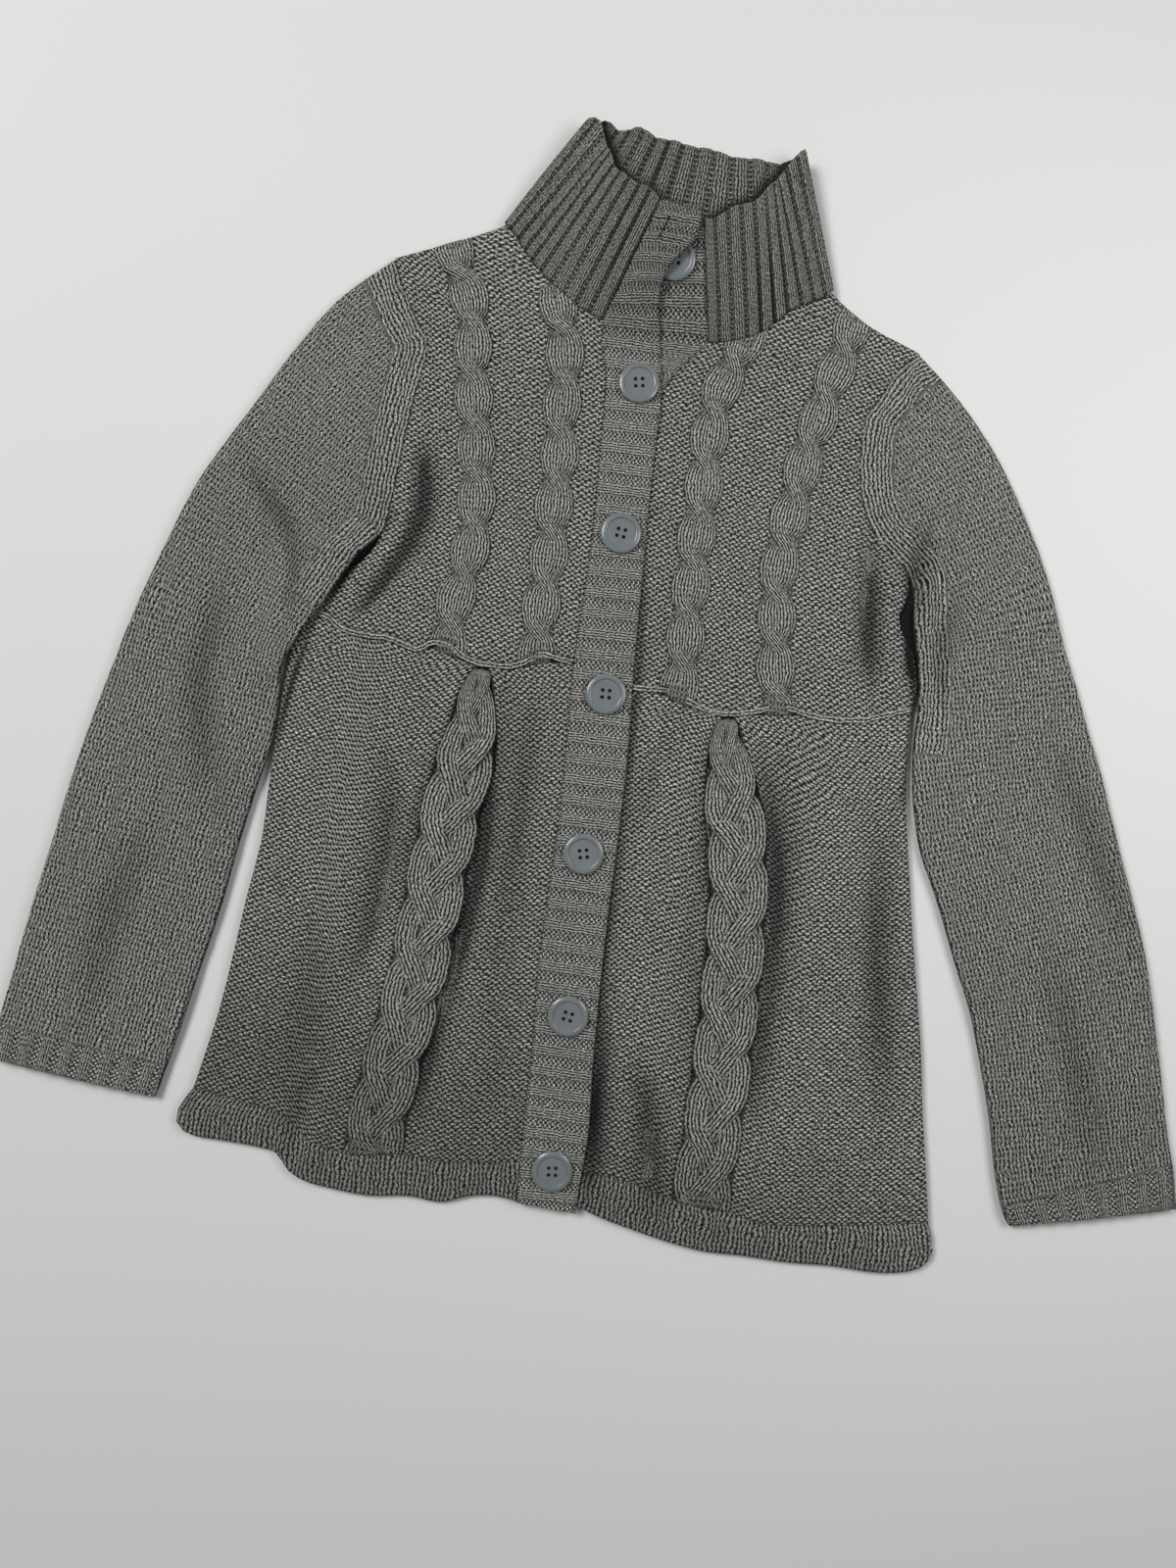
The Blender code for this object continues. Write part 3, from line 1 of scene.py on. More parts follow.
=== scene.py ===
"""Finished look of a chunky knitted button cardigan, laid out flat on its back.

Lengths in the tables are millimetres, turned to metres as each mesh is made. X runs across
the garment, Y from the hem to the collar, Z up. Right and left are the wearer's own.
Every cloth piece is a closed shell. Its points carry where they lie in the knit, as stitches
across (wales) and rows of stitches (courses), which both the relief and the finish read.
"""
import math

import bmesh
import bpy
import numpy as np
from mathutils import Matrix, Vector
from mathutils.geometry import delaunay_2d_cdt


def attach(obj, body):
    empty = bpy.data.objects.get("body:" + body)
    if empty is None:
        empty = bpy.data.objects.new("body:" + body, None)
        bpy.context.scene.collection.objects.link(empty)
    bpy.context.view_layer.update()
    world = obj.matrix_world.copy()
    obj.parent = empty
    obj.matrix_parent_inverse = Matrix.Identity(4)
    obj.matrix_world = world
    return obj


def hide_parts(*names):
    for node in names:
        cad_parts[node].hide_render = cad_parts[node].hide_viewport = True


bl_info = {
    "name": "Knitted button cardigan",
    "version": (1, 0, 0),
    "blender": (4, 5, 0),
    "location": "3D View > Sidebar > Cardigan",
    "description": "Dresses a laid-out cardigan in chunky knit and sets its stage",
    "category": "Object",
}

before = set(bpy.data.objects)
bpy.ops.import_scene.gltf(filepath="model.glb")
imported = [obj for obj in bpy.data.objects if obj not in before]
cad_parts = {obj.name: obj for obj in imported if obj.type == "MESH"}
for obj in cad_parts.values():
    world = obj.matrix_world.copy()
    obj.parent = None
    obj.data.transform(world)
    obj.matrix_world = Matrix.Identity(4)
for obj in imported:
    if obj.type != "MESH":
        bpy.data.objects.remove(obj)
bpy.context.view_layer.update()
MM = 0.001

# Sizes shared with the solids, mm
WALL = 2.4                # thickness of one layer of the knit
SEAM_GAP = 0.3            # play between two pieces where they are sewn together
LAYER = WALL + SEAM_GAP   # underside of a front where it lies on the back
BODY_LIFT = 2.0           # how far a front stands above that in the middle of a panel
FRONT_HIGHEST = 6.3       # highest inner face of a front, so that it stays close to the back
HEM_PUFF = 0.7            # how much thicker the turned-up hem is in its middle
BAND_LOW = 5.4            # underside of the top button band, on the under band
RIM_DROP = 0.7            # how far the outer face of a panel rounds down to its rim
FREE_EDGE_REACH = 42.0    # width over which a front sinks to its free edges
SEAM_REACH = 30.0         # width over which a front rises or sinks to a band or the collar

CABLE_PERIOD = 35.0       # length of a rope cable from one crossing to the next
CABLE_RISE = 3.0          # how far a strand stands out of the purl ground
PLAIT_PERIOD = 130.0      # length in which one strand of the plait returns to its place
PLAIT_WIDTH = 34.0
PLAIT_RISE = 3.2
PLEAT_LENGTH = 105.0      # the plait lies in a pleat that fades out over this length
PLEAT_POINT = 62.0        # length over which the plait widens from the pleat's point
PLEAT_LIP = 5.0           # width of the rolled edges beside the plait
PLEAT_DEPTH = 1.3
BAND_RIB = 14.4           # spacing of the ribs across the button bands
BAND_RIB_RISE = 0.9
COLLAR_RIB_RISE = 1.0
COLLAR_BELLY = 1.4        # how far the standing fronts of the collar curve outwards
CUFF_RIBS = 8
CUFF_RIB_RISE = 0.9
CUFF_HEIGHT = 23.0

SLEEVE_MIDDLE = 8.7       # height of a flattened sleeve along its middle
SLEEVE_EDGE = 6.6         # height of the fold along each side of it
SLEEVE_LEAST_HOLLOW = 0.3
ARMHOLE_FADE = 0.22       # share of a sleeve's length over which the armhole's bend dies out
TOP_SHARE = 0.45          # share of a ring's way round that its top takes, and its underside

# Outlines in plan, by seam or edge: spacing of the points of a smooth line through them, then
# the columns x and y. Shoulders and the right front's lines run inwards, the left front's
# lines outwards, armholes and sides down, and the back's lines from right to left.
OUTLINES = {
    "shoulder_right": (16.0, ((-218, 267), (-186, 281), (-168, 289), (-145, 301))),
    "shoulder_left": (16.0, ((152, 255), (135, 261), (109, 271), (84, 288))),
    "armhole_right": (12.0, ((-218, 267), (-208, 246), (-197, 228), (-186, 212), (-188, 188),
        (-191, 160), (-193, 136), (-194, 112), (-195, 94), (-198, 79))),
    "armhole_left": (12.0, ((152, 255), (140, 245), (130, 224), (121, 209), (120, 188),
        (122, 167), (130, 140), (140, 125), (157, 112), (166, 103))),
    "underarm_right": (8.0, ((-198, 79), (-200.5, 70), (-205, 62), (-211, 55), (-220, 48.5),
        (-232, 44), (-245, 40))),
    "side_yoke_right": (16.0, ((-245, 40), (-248, 26), (-249, 12))),
    "side_yoke_left": (10.0, ((166, 103), (168, 94.5), (167.5, 85.5), (164, 79), (163.8, 71),
        (167, 62.5), (172, 56.5), (176.5, 51), (179.5, 44), (182, 34), (184, 24), (182.5, 9))),
    "side_back_left": (10.0, ((166, 103), (167, 96), (170, 90), (176, 84), (181, 60), (184, 30),
        (182.5, 9))),
    "side_skirt_right": (20.0, ((-249, 12), (-249.5, -20), (-250.5, -60), (-250.5, -100),
        (-250, -147), (-254, -182), (-257, -220), (-261, -262), (-266, -293), (-271, -321))),
    "side_skirt_left": (20.0, ((182.5, 9), (184, -21), (190, -66), (197, -100), (205, -140),
        (214, -180), (223, -220), (230, -260), (241, -314), (246, -339))),
    "waist_right": (11.0, ((-249, 12), (-230, 14), (-214, 5), (-196, 3), (-179, 4), (-165, -1),
        (-151, 4), (-137, 0), (-122, -4), (-108, -4), (-92, -2), (-77, 5), (-54, 6))),
    "waist_left": (11.0, ((-14, -5), (13, -5), (25, -10), (43, -13), (56, -13), (70, -10),
        (84, -8), (104, -5), (125, -7), (146, -4), (166, 3), (182.5, 9))),
    "hem_seam_right": (11.0, ((-271, -321), (-235, -326), (-210, -329), (-192, -342),
        (-166, -350), (-118, -345), (-92, -346), (-60, -341), (-39.6, -338))),
    "hem_seam_left": (11.0, ((1, -340), (30, -339), (50, -345), (70, -349), (107, -351),
        (128, -356), (160, -353), (186, -349), (215, -344), (246, -339))),
    "hem_edge_right": (9.0, ((-271, -321), (-278, -334), (-280.5, -344), (-275, -351),
        (-248, -354), (-222, -355), (-206, -358), (-201, -366), (-191, -372), (-166, -376),
        (-140, -377), (-114, -373), (-88, -374), (-74, -368), (-56, -364), (-38, -366))),
    "hem_edge_left": (9.0, ((0, -362), (15, -367), (41, -373), (74, -379), (94, -381),
        (122, -380), (152, -380), (180, -378), (228, -376), (244, -371), (252, -361), (250, -350),
        (246, -339))),
    "hem_seam_back": (24.0, ((-271, -321), (-200, -333), (-100, -342), (0, -343), (100, -349),
        (200, -347), (246, -339))),
    "hem_edge_back": (14.0, ((-271, -321), (-277, -334), (-278, -344), (-248, -350), (-206, -354),
        (-166, -360), (-100, -363), (-40, -361), (15, -363), (60, -370), (120, -375), (200, -373),
        (240, -367), (249, -358), (246, -339))),
    "neck_back": (12.0, ((-145, 301), (-138, 293), (-124, 286.5), (-95, 283), (-55, 280.5),
        (-10, 280.5), (30, 281), (62, 283), (77, 285), (84, 288))),
}

# Collar, from the top band round the neck to the under band. Columns: ribs counted from the
# top band, x, y and z of the seam, x, y and z of the free edge, all in the wall's middle.
COLLAR = (
    (0.0, -69.5, 245.0, 7.6, -41.8, 323.0, 27.0),
    (2.0, -89.0, 252.5, 7.6, -57.0, 332.0, 28.0),
    (3.5, -103.0, 262.0, 7.4, -68.0, 337.0, 27.0),
    (5.5, -120.0, 275.0, 7.0, -78.0, 346.0, 23.0),
    (7.5, -132.0, 288.0, 6.6, -84.0, 362.0, 18.5),
    (9.0, -141.0, 298.0, 5.8, -92.0, 375.0, 15.5),
    (10.0, -146.0, 302.5, 3.9, -99.0, 380.3, 12.5),
    (11.0, -141.0, 299.0, 2.0, -93.0, 377.0, 9.0),
    (12.5, -126.0, 290.5, 1.4, -82.0, 377.0, 7.5),
    (15.0, -95.0, 285.0, 1.4, -60.0, 378.5, 7.0),
    (17.5, -55.0, 282.5, 1.4, -37.0, 374.0, 6.5),
    (20.0, -10.0, 282.5, 1.4, -10.0, 371.0, 6.5),
    (22.0, 30.0, 283.0, 1.4, 15.0, 371.0, 7.0),
    (24.0, 62.0, 285.5, 1.4, 36.0, 369.0, 7.8),
    (25.2, 79.0, 288.5, 2.0, 45.0, 373.0, 9.5),
    (26.0, 85.0, 290.5, 3.9, 50.0, 378.0, 13.0),
    (27.0, 80.0, 284.0, 5.8, 45.0, 370.0, 17.5),
    (28.5, 69.0, 277.5, 6.8, 36.0, 356.0, 22.0),
    (30.0, 56.0, 269.0, 7.4, 31.0, 345.0, 26.0),
    (31.5, 44.0, 256.0, 7.4, 24.0, 335.0, 27.5),
    (33.0, 31.0, 247.5, 7.2, 12.0, 327.0, 27.0),
    (34.5, 17.0, 243.0, 6.8, 0.0, 321.0, 25.0),
    (36.0, 4.5, 240.5, 6.6, -11.5, 318.0, 22.6),
)
COLLAR_FOLDS = (10.0, 26.0)   # ribs counted to the crease over each shoulder
COLLAR_END_GAP = 0.03     # ribs left free beside the bands
NECK_PLAY = 0.55          # how far the fronts stand off the slanted foot of the collar

# Bands, hem to collar. Columns: x, y and z of the side with the lower x, x, y and z of the
# other side, in the wall's middle, and the crown of the middle over a straight line.
TOP_BAND = (
    (-38.0, -366.0, 6.6, 3.0, -367.0, 6.6, 0.0),
    (-39.6, -338.0, 6.6, 3.5, -340.0, 6.6, 0.3),
    (-41.0, -311.0, 6.6, 4.0, -315.0, 6.6, 0.3),
    (-43.0, -260.0, 6.6, 0.0, -264.0, 6.6, 0.3),
    (-47.0, -205.0, 6.6, -3.0, -209.0, 6.6, 0.3),
    (-48.0, -150.0, 6.6, -5.0, -154.0, 6.6, 0.3),
    (-48.0, -100.0, 6.6, -6.0, -103.0, 6.6, 0.3),
    (-51.0, -45.0, 6.6, -8.0, -48.0, 6.6, 0.3),
    (-54.0, 6.0, 6.6, -12.0, 4.0, 6.6, 0.3),
    (-54.0, 58.0, 6.6, -15.0, 56.0, 6.6, 0.3),
    (-55.0, 110.0, 6.6, -18.0, 107.0, 6.6, 0.3),
    (-58.0, 160.0, 6.6, -20.0, 157.0, 6.6, 0.3),
    (-61.0, 205.0, 6.7, -22.0, 203.0, 7.0, 0.3),
    (-69.0, 244.5, 7.6, -29.0, 241.0, 8.8, 0.5),
    (-62.7, 262.0, 12.6, -33.0, 262.0, 15.2, 0.8),
    (-54.3, 286.0, 19.2, -28.5, 283.0, 23.2, 1.6),
    (-47.3, 306.0, 23.6, -15.0, 300.0, 26.6, 1.6),
    (-41.5, 323.0, 27.0, -12.8, 319.0, 27.6, 0.5),
)
UNDER_BAND = (
    (-37.0, -361.0, 3.9, 0.0, -362.0, 3.9, 0.0),
    (-38.5, -338.0, 3.9, 1.0, -340.0, 3.9, 0.0),
    (-40.0, -311.0, 3.9, 0.0, -315.0, 3.9, 0.0),
    (-42.0, -260.0, 3.9, -4.0, -260.0, 3.9, 0.0),
    (-46.0, -205.0, 3.9, -7.0, -205.0, 3.9, 0.0),
    (-47.0, -150.0, 3.9, -8.0, -150.0, 3.9, 0.0),
    (-47.0, -100.0, 3.9, -10.0, -100.0, 3.9, 0.0),
    (-50.0, -48.0, 3.9, -12.0, -48.0, 3.9, 0.0),
    (-53.0, -5.0, 3.9, -14.0, -5.0, 3.9, 0.0),
    (-53.0, 50.0, 3.9, -18.0, 50.0, 3.9, 0.0),
    (-54.0, 107.0, 3.9, -22.0, 107.0, 3.9, 0.0),
    (-57.0, 151.0, 3.9, -25.0, 151.0, 3.9, 0.0),
    (-58.0, 185.0, 3.9, -25.0, 185.0, 3.9, 0.0),
    (-56.0, 203.0, 3.9, -21.0, 203.0, 3.9, 0.0),
    (-50.0, 221.0, 3.9, -12.0, 220.0, 4.4, 0.0),
    (-40.0, 243.0, 4.3, 4.5, 240.5, 6.2, 0.0),
    (-41.0, 262.0, 8.2, 0.0, 262.0, 11.4, 0.0),
    (-44.0, 285.0, 13.0, -4.7, 285.0, 16.4, 0.0),
    (-48.0, 303.0, 16.8, -8.4, 303.0, 19.8, 0.0),
    (-51.0, 318.0, 20.0, -11.5, 318.0, 22.6, 0.0),
)
HEM_SEAM_ROW = 1          # row of both band tables at the hem seam
WAIST_ROW = 8             # row at the waist seam
NECK_ROW_TOP = 13         # rows at the collar's seam
NECK_ROW_UNDER = 15
BAND_STEP = 16.0          # spacing of the points along a band's sides
UNDER_BAND_SHOWS_FROM = 234.0   # the under band is ribbed above this y, where it shows

# Cables and plaits, top to bottom. Columns: x, y of the middle line.
CABLE_OUTER_RIGHT = ((-178, 279), (-170, 261), (-161, 243), (-156, 220), (-152, 192),
                     (-144, 154), (-140, 130), (-137, 110), (-136, 76), (-138, 55), (-141, 41),
                     (-142, 20), (-142, 4))
CABLE_INNER_RIGHT = ((-101, 252), (-94, 229), (-89, 200), (-88, 176), (-85, 152), (-84, 121),
                     (-82, 84), (-82, 60), (-81, 22), (-79, 4))
CABLE_INNER_LEFT = ((30, 245), (25, 229), (18, 208), (16, 190), (16, 151), (17, 130),
                    (17, 95), (18, 75), (18, 58), (20, 31), (20, -8))
CABLE_OUTER_LEFT = ((102, 267), (100, 254), (95, 234), (90, 217), (88, 198), (84, 182),
                    (82, 162), (79, 136), (77, 111), (77, 76), (80, 59), (83, 30), (91, -7))
PLAIT_RIGHT = ((-116, -6), (-117, -34), (-117, -61), (-121, -90), (-124, -128), (-127, -184),
               (-131, -240), (-136, -275), (-140, -310), (-142, -345))
PLAIT_LEFT = ((57, -15), (59, -33), (66, -60), (73, -87), (79, -115), (83, -150), (87, -219),
              (88, -270), (87, -346))

# Soft folds of the fronts. Columns: x, y of three points along the fold, width, height.
FOLDS_RIGHT = (
    (-180, 148, -169, 98, -200, 28, 9, -2.2),
    (-191, 120, -196, 74, -222, 30, 10, 1.8),
    (-98, -16, -97, -120, -118, -310, 10, -1.9),
    (-140, -30, -146, -150, -160, -290, 12, 1.2),
    (-168, -87, -155, -146, -182, -239, 13, -1.5),
    (-192, -40, -186, -160, -190, -290, 16, 1.3),
    (-82, -12, -76, -150, -61, -338, 14, -1.0),
    (-183, -290, -196, -330, -201, -366, 8, -1.6),
    (-178, -300, -184, -340, -186, -372, 10, 1.6),
    (-60, -300, -62, -338, -58, -366, 9, 1.4),
)
FOLDS_LEFT = (
    (132, 130, 141, 90, 152, 20, 9, -2.0),
    (118, 120, 122, 70, 130, 10, 13, 1.2),
    (98, -24, 112, -110, 116, -290, 11, -2.0),
    (46, -30, 52, -110, 62, -290, 10, -1.3),
    (20, -24, 10, -67, 2, -110, 10, -1.5),
    (12, -39, 36, -131, 40, -260, 14, 1.2),
    (32, -255, 46, -315, 57, -372, 11, -1.9),
    (20, -290, 26, -330, 28, -366, 10, 1.5),
    (170, -57, 186, -178, 204, -290, 14, -1.2),
    (146, -60, 156, -180, 170, -300, 16, 1.0),
    (84, -330, 92, -352, 96, -378, 10, 1.2),
)

# Sleeves, armhole to cuff. Columns: x, y of the outer fold, x, y of the inner fold.
SLEEVE_RIGHT = (
    (-218, 267, -198, 79), (-250, 236, -203, 73), (-276, 197, -208, 66), (-299, 154, -215, 55),
    (-317, 121, -224, 36), (-332, 90, -234, 17), (-345, 52, -243, -1), (-354, 23, -251.5, -20),
    (-363, -10, -252, -46), (-371, -45, -252.5, -77), (-380, -85, -259, -112),
    (-387, -124, -265, -150), (-394, -170, -271, -196), (-401, -216, -279, -240),
    (-407, -262, -286, -282), (-412, -300, -292, -312), (-414, -321, -296, -331),
)
SLEEVE_LEFT = (
    (152, 255, 166, 103), (182, 229, 169, 99), (212, 196, 171, 93), (236, 161, 172.5, 85),
    (254, 130, 174, 72), (268, 100, 178, 55), (280, 70, 182, 38), (292, 44, 185.5, 12),
    (304, 17, 187.5, -20), (315, -6, 192, -50), (328, -37, 202, -84), (342, -71, 219, -118),
    (356, -104, 237, -157), (369, -139, 253, -191), (380, -176, 266, -227),
    (391, -217, 277, -262), (401, -255, 287, -300), (409, -281, 296, -325),
    (414, -303, 301, -332),
)
# Where a sleeve lies on the body. Columns: rise, y where it starts, y where it is full,
# y where it is still full, y where it ends, width of the slope beside the body.
SLEEVE_RIGHT_LIFT = (6.0, 76.0, 60.0, -22.0, -45.0, 24.0)
SLEEVE_LEFT_LIFT = (3.1, 99.0, 90.0, 10.0, -10.0, 14.0)

# Buttons on the top band, hem to neck. Columns: x, y of the middle.
BUTTONS = ((-17, -340), (-22, -233), (-28, -121), (-29, -10), (-35, 101), (-38, 205))
# The open button, on the under band. Columns: x, y, z of the middle of its underside.
OPEN_BUTTON = (-26.0, 289.0, 17.7)
OPEN_BUTTON_TILT_X = 12.2     # degrees, with the slope of the under band
OPEN_BUTTON_TILT_Y = -4.0

# Knit
COURSE = 3.7              # height of a row of stitches
PURL_WALE = 5.0           # width of a stitch on the purl side
COURSE_CELLS = 4          # rows of points to a row of stitches
PURL_RELIEF = 1.15        # how far a purl bar stands out of its gap
STRAND_RELIEF = 0.75
KNIT_RELIEF = 0.95
COLLAR_RELIEF = 0.55
BAND_RELIEF = 0.55
LEG_SLANT = 3.0           # rows of stitches that one leg of a V spans, twice over
LEG_STEP = 0.55           # how deep the gap is between one stitch and the next above it
PURL_LEAN = 0.75          # how far a slanting purl bar rises, in rows over a wale
DRAWN = 2.0               # face of stitches that are drawn out into lines
PURL_BEND = 0.7           # how far the ends of a purl bar turn away, in rows at half a wale
CABLE_WALES = 3           # wales in each strand
CABLE_SHOWN = 23.6        # mean width of a cable with its stitches
CABLE_SWELL = 0.15
CABLE_CROSSING = 0.46     # share of a period that a crossing takes
PLAIT_WALES = 3
PLAIT_SHOWN = 39.0
# Places of a plait's strand over its six steps, from 1 at the right to -1 at the left.
PLAIT_STEPS = ((0.0, 0.06, 0.94, 1.06, 1.94, 3.06, 3.94, 4.06, 4.94, 6.0),
               (1.0, 1.0, 0.0, 0.0, -1.0, -1.0, 0.0, 0.0, 1.0, 1.0))
# Middles of its crossings in steps, with 1 where it goes over and -1 where it goes under.
PLAIT_CROSSINGS = ((0.5, 1.0), (1.5, -1.0), (3.5, 1.0), (4.5, -1.0))
ROPE_PAST_SEAM = 14.0     # how far the strands are followed past a seam before they are cut
RIDGE_FROM_SEAM = 2.3     # middle of the rolled ridge above the waist seam
RIDGE_HALF = 2.3
RIDGE_RISES = {"right": 1.5, "left": 0.7}
RIDGE_ARCH = 3.4          # how far it rises over the end of a cable
STRAND_CELLS = 6          # points to a wale across a strand
STRAND_COURSE_CELLS = 3
SLEEVE_WALE = 5.4
EDGE_WALE = 5.6           # the wales that follow the armhole
EDGE_WALES = 4
FOLD_EXTRA = 0.8          # how much deeper the folds are than in the plain solids
DIP_SHADE = 0.32          # painted shade in a trough for each millimetre of its depth
RIM_SHADE = 0.2           # painted shade on a panel's rim
HEM_SHADE = 0.3           # how much painted shade the cloth gets at the hem, against none higher up
STITCH_JITTER = 0.12      # how far stitches stray from their rows, in stitches
STITCH_PATCH = 17.0       # size of the patches in which they stray the same way
ROW_PATCH = 15.0
MEAN_RELIEF = 0.4         # relief of the stitches at the cloth's own height
COLLAR_WALES = 3.0        # wales to a rib of the collar
COLLAR_VALLEY = (0.31, 0.12)  # where the painted shade of a valley between ribs begins, and its width, in ribs
COLLAR_LEAST = 0.4        # least thickness on each side of the collar's middle
LEAST_HEIGHT = 0.05       # nothing lies lower on the floor
BAND_EDGE = 2.2           # width over which a button band rounds down to its edge
BAND_EDGE_SHADE = 0.3
BAND_EDGE_WIDTH = 1.5
BAND_SHADE_FROM = 222.0   # height on the garment from which the bands' upper ends get painted shade
BAND_SHADE_OVER = 25.0
PUCKER_REACH = 17.0       # how far the puckers beside the open buttonhole go
PUCKER_FROM = 2.0         # distance from the slit over which they set in
SLIT_LIP = (0.7, 1.6, 1.3)    # rise, place and width of the lip round the slit
SLIT_CUT = (1.0, 0.7)     # half width of the slit, and of its slope
SLIT_DEPTH = 2.0
GROOVE_PAST = 2.2         # how far a groove reaches past the rope that lies in it
GROOVE_WALL = 2.4         # width over which it sinks
GROOVE_DEPTH = 0.7
GROOVE_PLAIN = 0.8        # how much weaker the stitches are in it, and how much painted shade it gets
FILL_RISE = 2.0           # how far the ground rises inside a rope's edge to carry it
FILL_WALL = 2.0
LIP_RISE = 1.5            # the rolled lips beside a plait, in pleat depths
SLIT_SHADE = 0.9          # painted shade line at a plait's edge
SLIT_WIDTH = 1.5
SLIT_PAST = 0.3
SLANT_WALES = 3.0         # wales over which a front's slant sets in
PUFF_REACH = 11.0         # width over which a turned-up hem rounds up
SMALL_FOLDS = 0.25
BACK_SWELL_RIGHT = (-5.8, 6.9)  # how far the back reaches on under each sleeve
BACK_SWELL_LEFT = (6.0, 0.0)
UNDERSIDE_STEP = 25.0     # spacing of points on faces that lie on another layer

YOKE_SPAN = 200.0
SLEEVE_RINGS = 430
SLEEVE_CELLS = 112
SLEEVE_UNDER = (0.93, 0.75, 0.5, 0.25, 0.07)    # points across a sleeve's underside
SLEEVE_BENDS = (65.0, 35.0, 0.0, -40.0, -75.0)  # and round its folds, in degrees
FOLDS_FROM = 25.0         # length from the armhole over which a sleeve's folds set in
COLLAR_RIB_CELLS = 12
COLLAR_UP_CELLS = 76
COLLAR_COURSES = 26.0
COLLAR_WAVE = 0.5
COLLAR_SHADE = 5.0        # how far the shade reaches behind the edges of its fronts
COLLAR_LIGHT = 0.72       # share of its light that the collar keeps under painted shade, for the shade it casts on itself
COLLAR_EDGE_WAVE = 2.8     # how far the collar's upper edge wanders
BAND_CELLS = 34
BAND_STEP_FINE = 0.9
BAND_WALE = 3.6
BAND_COURSE = 3.3
BAND_SHADE = 0.25         # how much the collar shades the bands between its ends
BAND_SKEW = -0.09         # slope of the ribs against the band's width
BUTTONHOLE = (-34.0, 312.0, -39.0, 298.0)   # ends of the open buttonhole: x, y, x, y
PUCKER_SPACING = 6.5
PUCKER_RISE = 1.3


# Creases of the fronts that the plain solids don't have. Columns as in the folds.
CREASES_RIGHT = (
    (-103, -49, -98, -138, -106, -221, 6, -2.0),
    (-101, -179, -110, -252, -117, -325, 6, -1.8),
    (-136, -51, -146, -111, -148, -186, 5, -1.2),
    (-170, -73, -165, -154, -171, -231, 9, -1.3),
    (-200, -187, -202, -256, -202, -324, 14, -1.0),
    (-77, -22, -75, -93, -76, -168, 8, -0.9),
    (-90, -41, -83, -135, -90, -232, 8, 1.5),
    (-190, -90, -188, -165, -188, -240, 11, 1.3),
    (-118, -31, -119, -154, -132, -320, 17, 1.8),
    (-179, 139, -174, 98, -181, 70, 5.5, -2.6),
    (-178, 78, -190, 51, -208, 17, 4.5, -2.6),
    (-188, 122, -183, 98, -188, 74, 4.5, 1.8),
    (-186, 79, -199, 54, -219, 22, 4.5, 2.2),
)
CREASES_LEFT = (
    (46, -37, 56, -101, 70, -167, 6, -1.2),
    (67, -161, 70, -222, 71, -283, 6, -1.2),
    (83, -35, 106, -114, 112, -188, 7, -2.0),
    (111, -181, 113, -236, 112, -284, 7, -1.2),
    (34, -261, 47, -307, 59, -353, 9, -1.0),
    (176, -90, 182, -150, 204, -250, 10, -1.2),
    (64, -18, 85, -138, 91, -280, 17, 1.8),
    (116, -37, 135, -116, 147, -217, 14, 1.2),
    (26, -51, 36, -118, 41, -199, 10, 1.2),
    (141, 107, 143, 63, 151, 26, 8, -1.8),
    (153, 119, 158, 65, 168, 25, 7, 1.6),
)
# Shade on the fronts where another piece lies over them. Columns: x, y of three points,
# width, strength.
SHADES = (
    (-192, 92, -206, 70, -231, 21, 3.4, 1.2),
    (-235, 12, -244, -29, -250, -84, 2.6, 0.9),
    (158, 130, 170, 100, 171, 76, 6.0, 1.1),
    (171, 66, 174, 48, 178, 30, 4.5, 0.9),
    (172, 60, 181, 27, 186, -61, 3.0, 0.9),
    (-16, 94, -7, -21, -4, -124, 3.4, 0.7),
    (-5, -110, -5, -192, 1, -246, 6.0, 0.9),
    (1, -232, 6, -293, 10, -357, 9.0, 1.0),
)

# Buttons. Columns of the profile: radius, height over the underside.
BUTTON_DISH_RADIUS = 9.6
BUTTON_PROFILE = ((9.6, 2.0), (9.9, 2.03), (10.15, 2.35), (10.45, 2.85), (10.8, 3.02),
                  (11.3, 3.05), (12.3, 2.95), (13.1, 2.7), (13.7, 2.3), (13.95, 1.8),
                  (14.0, 1.3), (13.6, 0.5), (12.9, 0.0))
BUTTON_SIDES = 96
BUTTON_HOLE = 1.35
BUTTON_HOLE_PITCH = 2.4
HOLE_SIDES = 24
BUTTON_SPINS = (6.0, -9.0, 14.0, 3.0, -6.0, 11.0)   # degrees that each is turned, hem to neck
THREAD_RADIUS = 1.2
THREAD_HEIGHTS = (0.2, 0.6)

# Rows across the sleeves along which their stitches run, armhole to cuff.
# Columns: x, y towards the outer fold, x, y towards the inner fold.
STITCH_ROWS_RIGHT = ((-332, 90, -233, 17), (-317, 121, -224, 36), (-299, 154, -212, 60),
                     (-276, 197, -198, 79), (-250, 236, -175, 115), (-218, 267, -150, 160))
STITCH_ROWS_LEFT = ((152, 255, 60, 182), (182, 229, 86, 160), (212, 196, 114, 131),
                    (236, 161, 139, 100), (254, 130, 158, 74))
SLEEVE_FOLDS_RIGHT = (
    (-302, 30, -307, -46, -289, -118, 11, -1.3),
    (-299, 113, -257, 58, -256, 3, 8, -1.5),
    (-330, 60, -340, 0, -350, -80, 12, 1.0),
    (-262, 60, -270, 0, -282, -60, 9, 1.3),
    (-330, -150, -345, -220, -350, -290, 13, -1.0),
    (-300, -160, -312, -220, -318, -280, 12, 0.9),
)
SLEEVE_FOLDS_LEFT = (
    (173, 136, 171, 101, 174, 67, 8, -1.8),
    (285, 2, 315, -55, 352, -125, 12, -1.1),
    (236, 120, 262, 60, 290, 10, 12, 1.2),
    (212, 40, 232, -30, 262, -100, 11, 1.2),
    (200, 90, 196, 55, 205, 10, 7, -1.3),
    (300, -150, 330, -215, 350, -280, 12, -1.0),
    (330, -130, 352, -190, 372, -250, 12, 0.9),
)

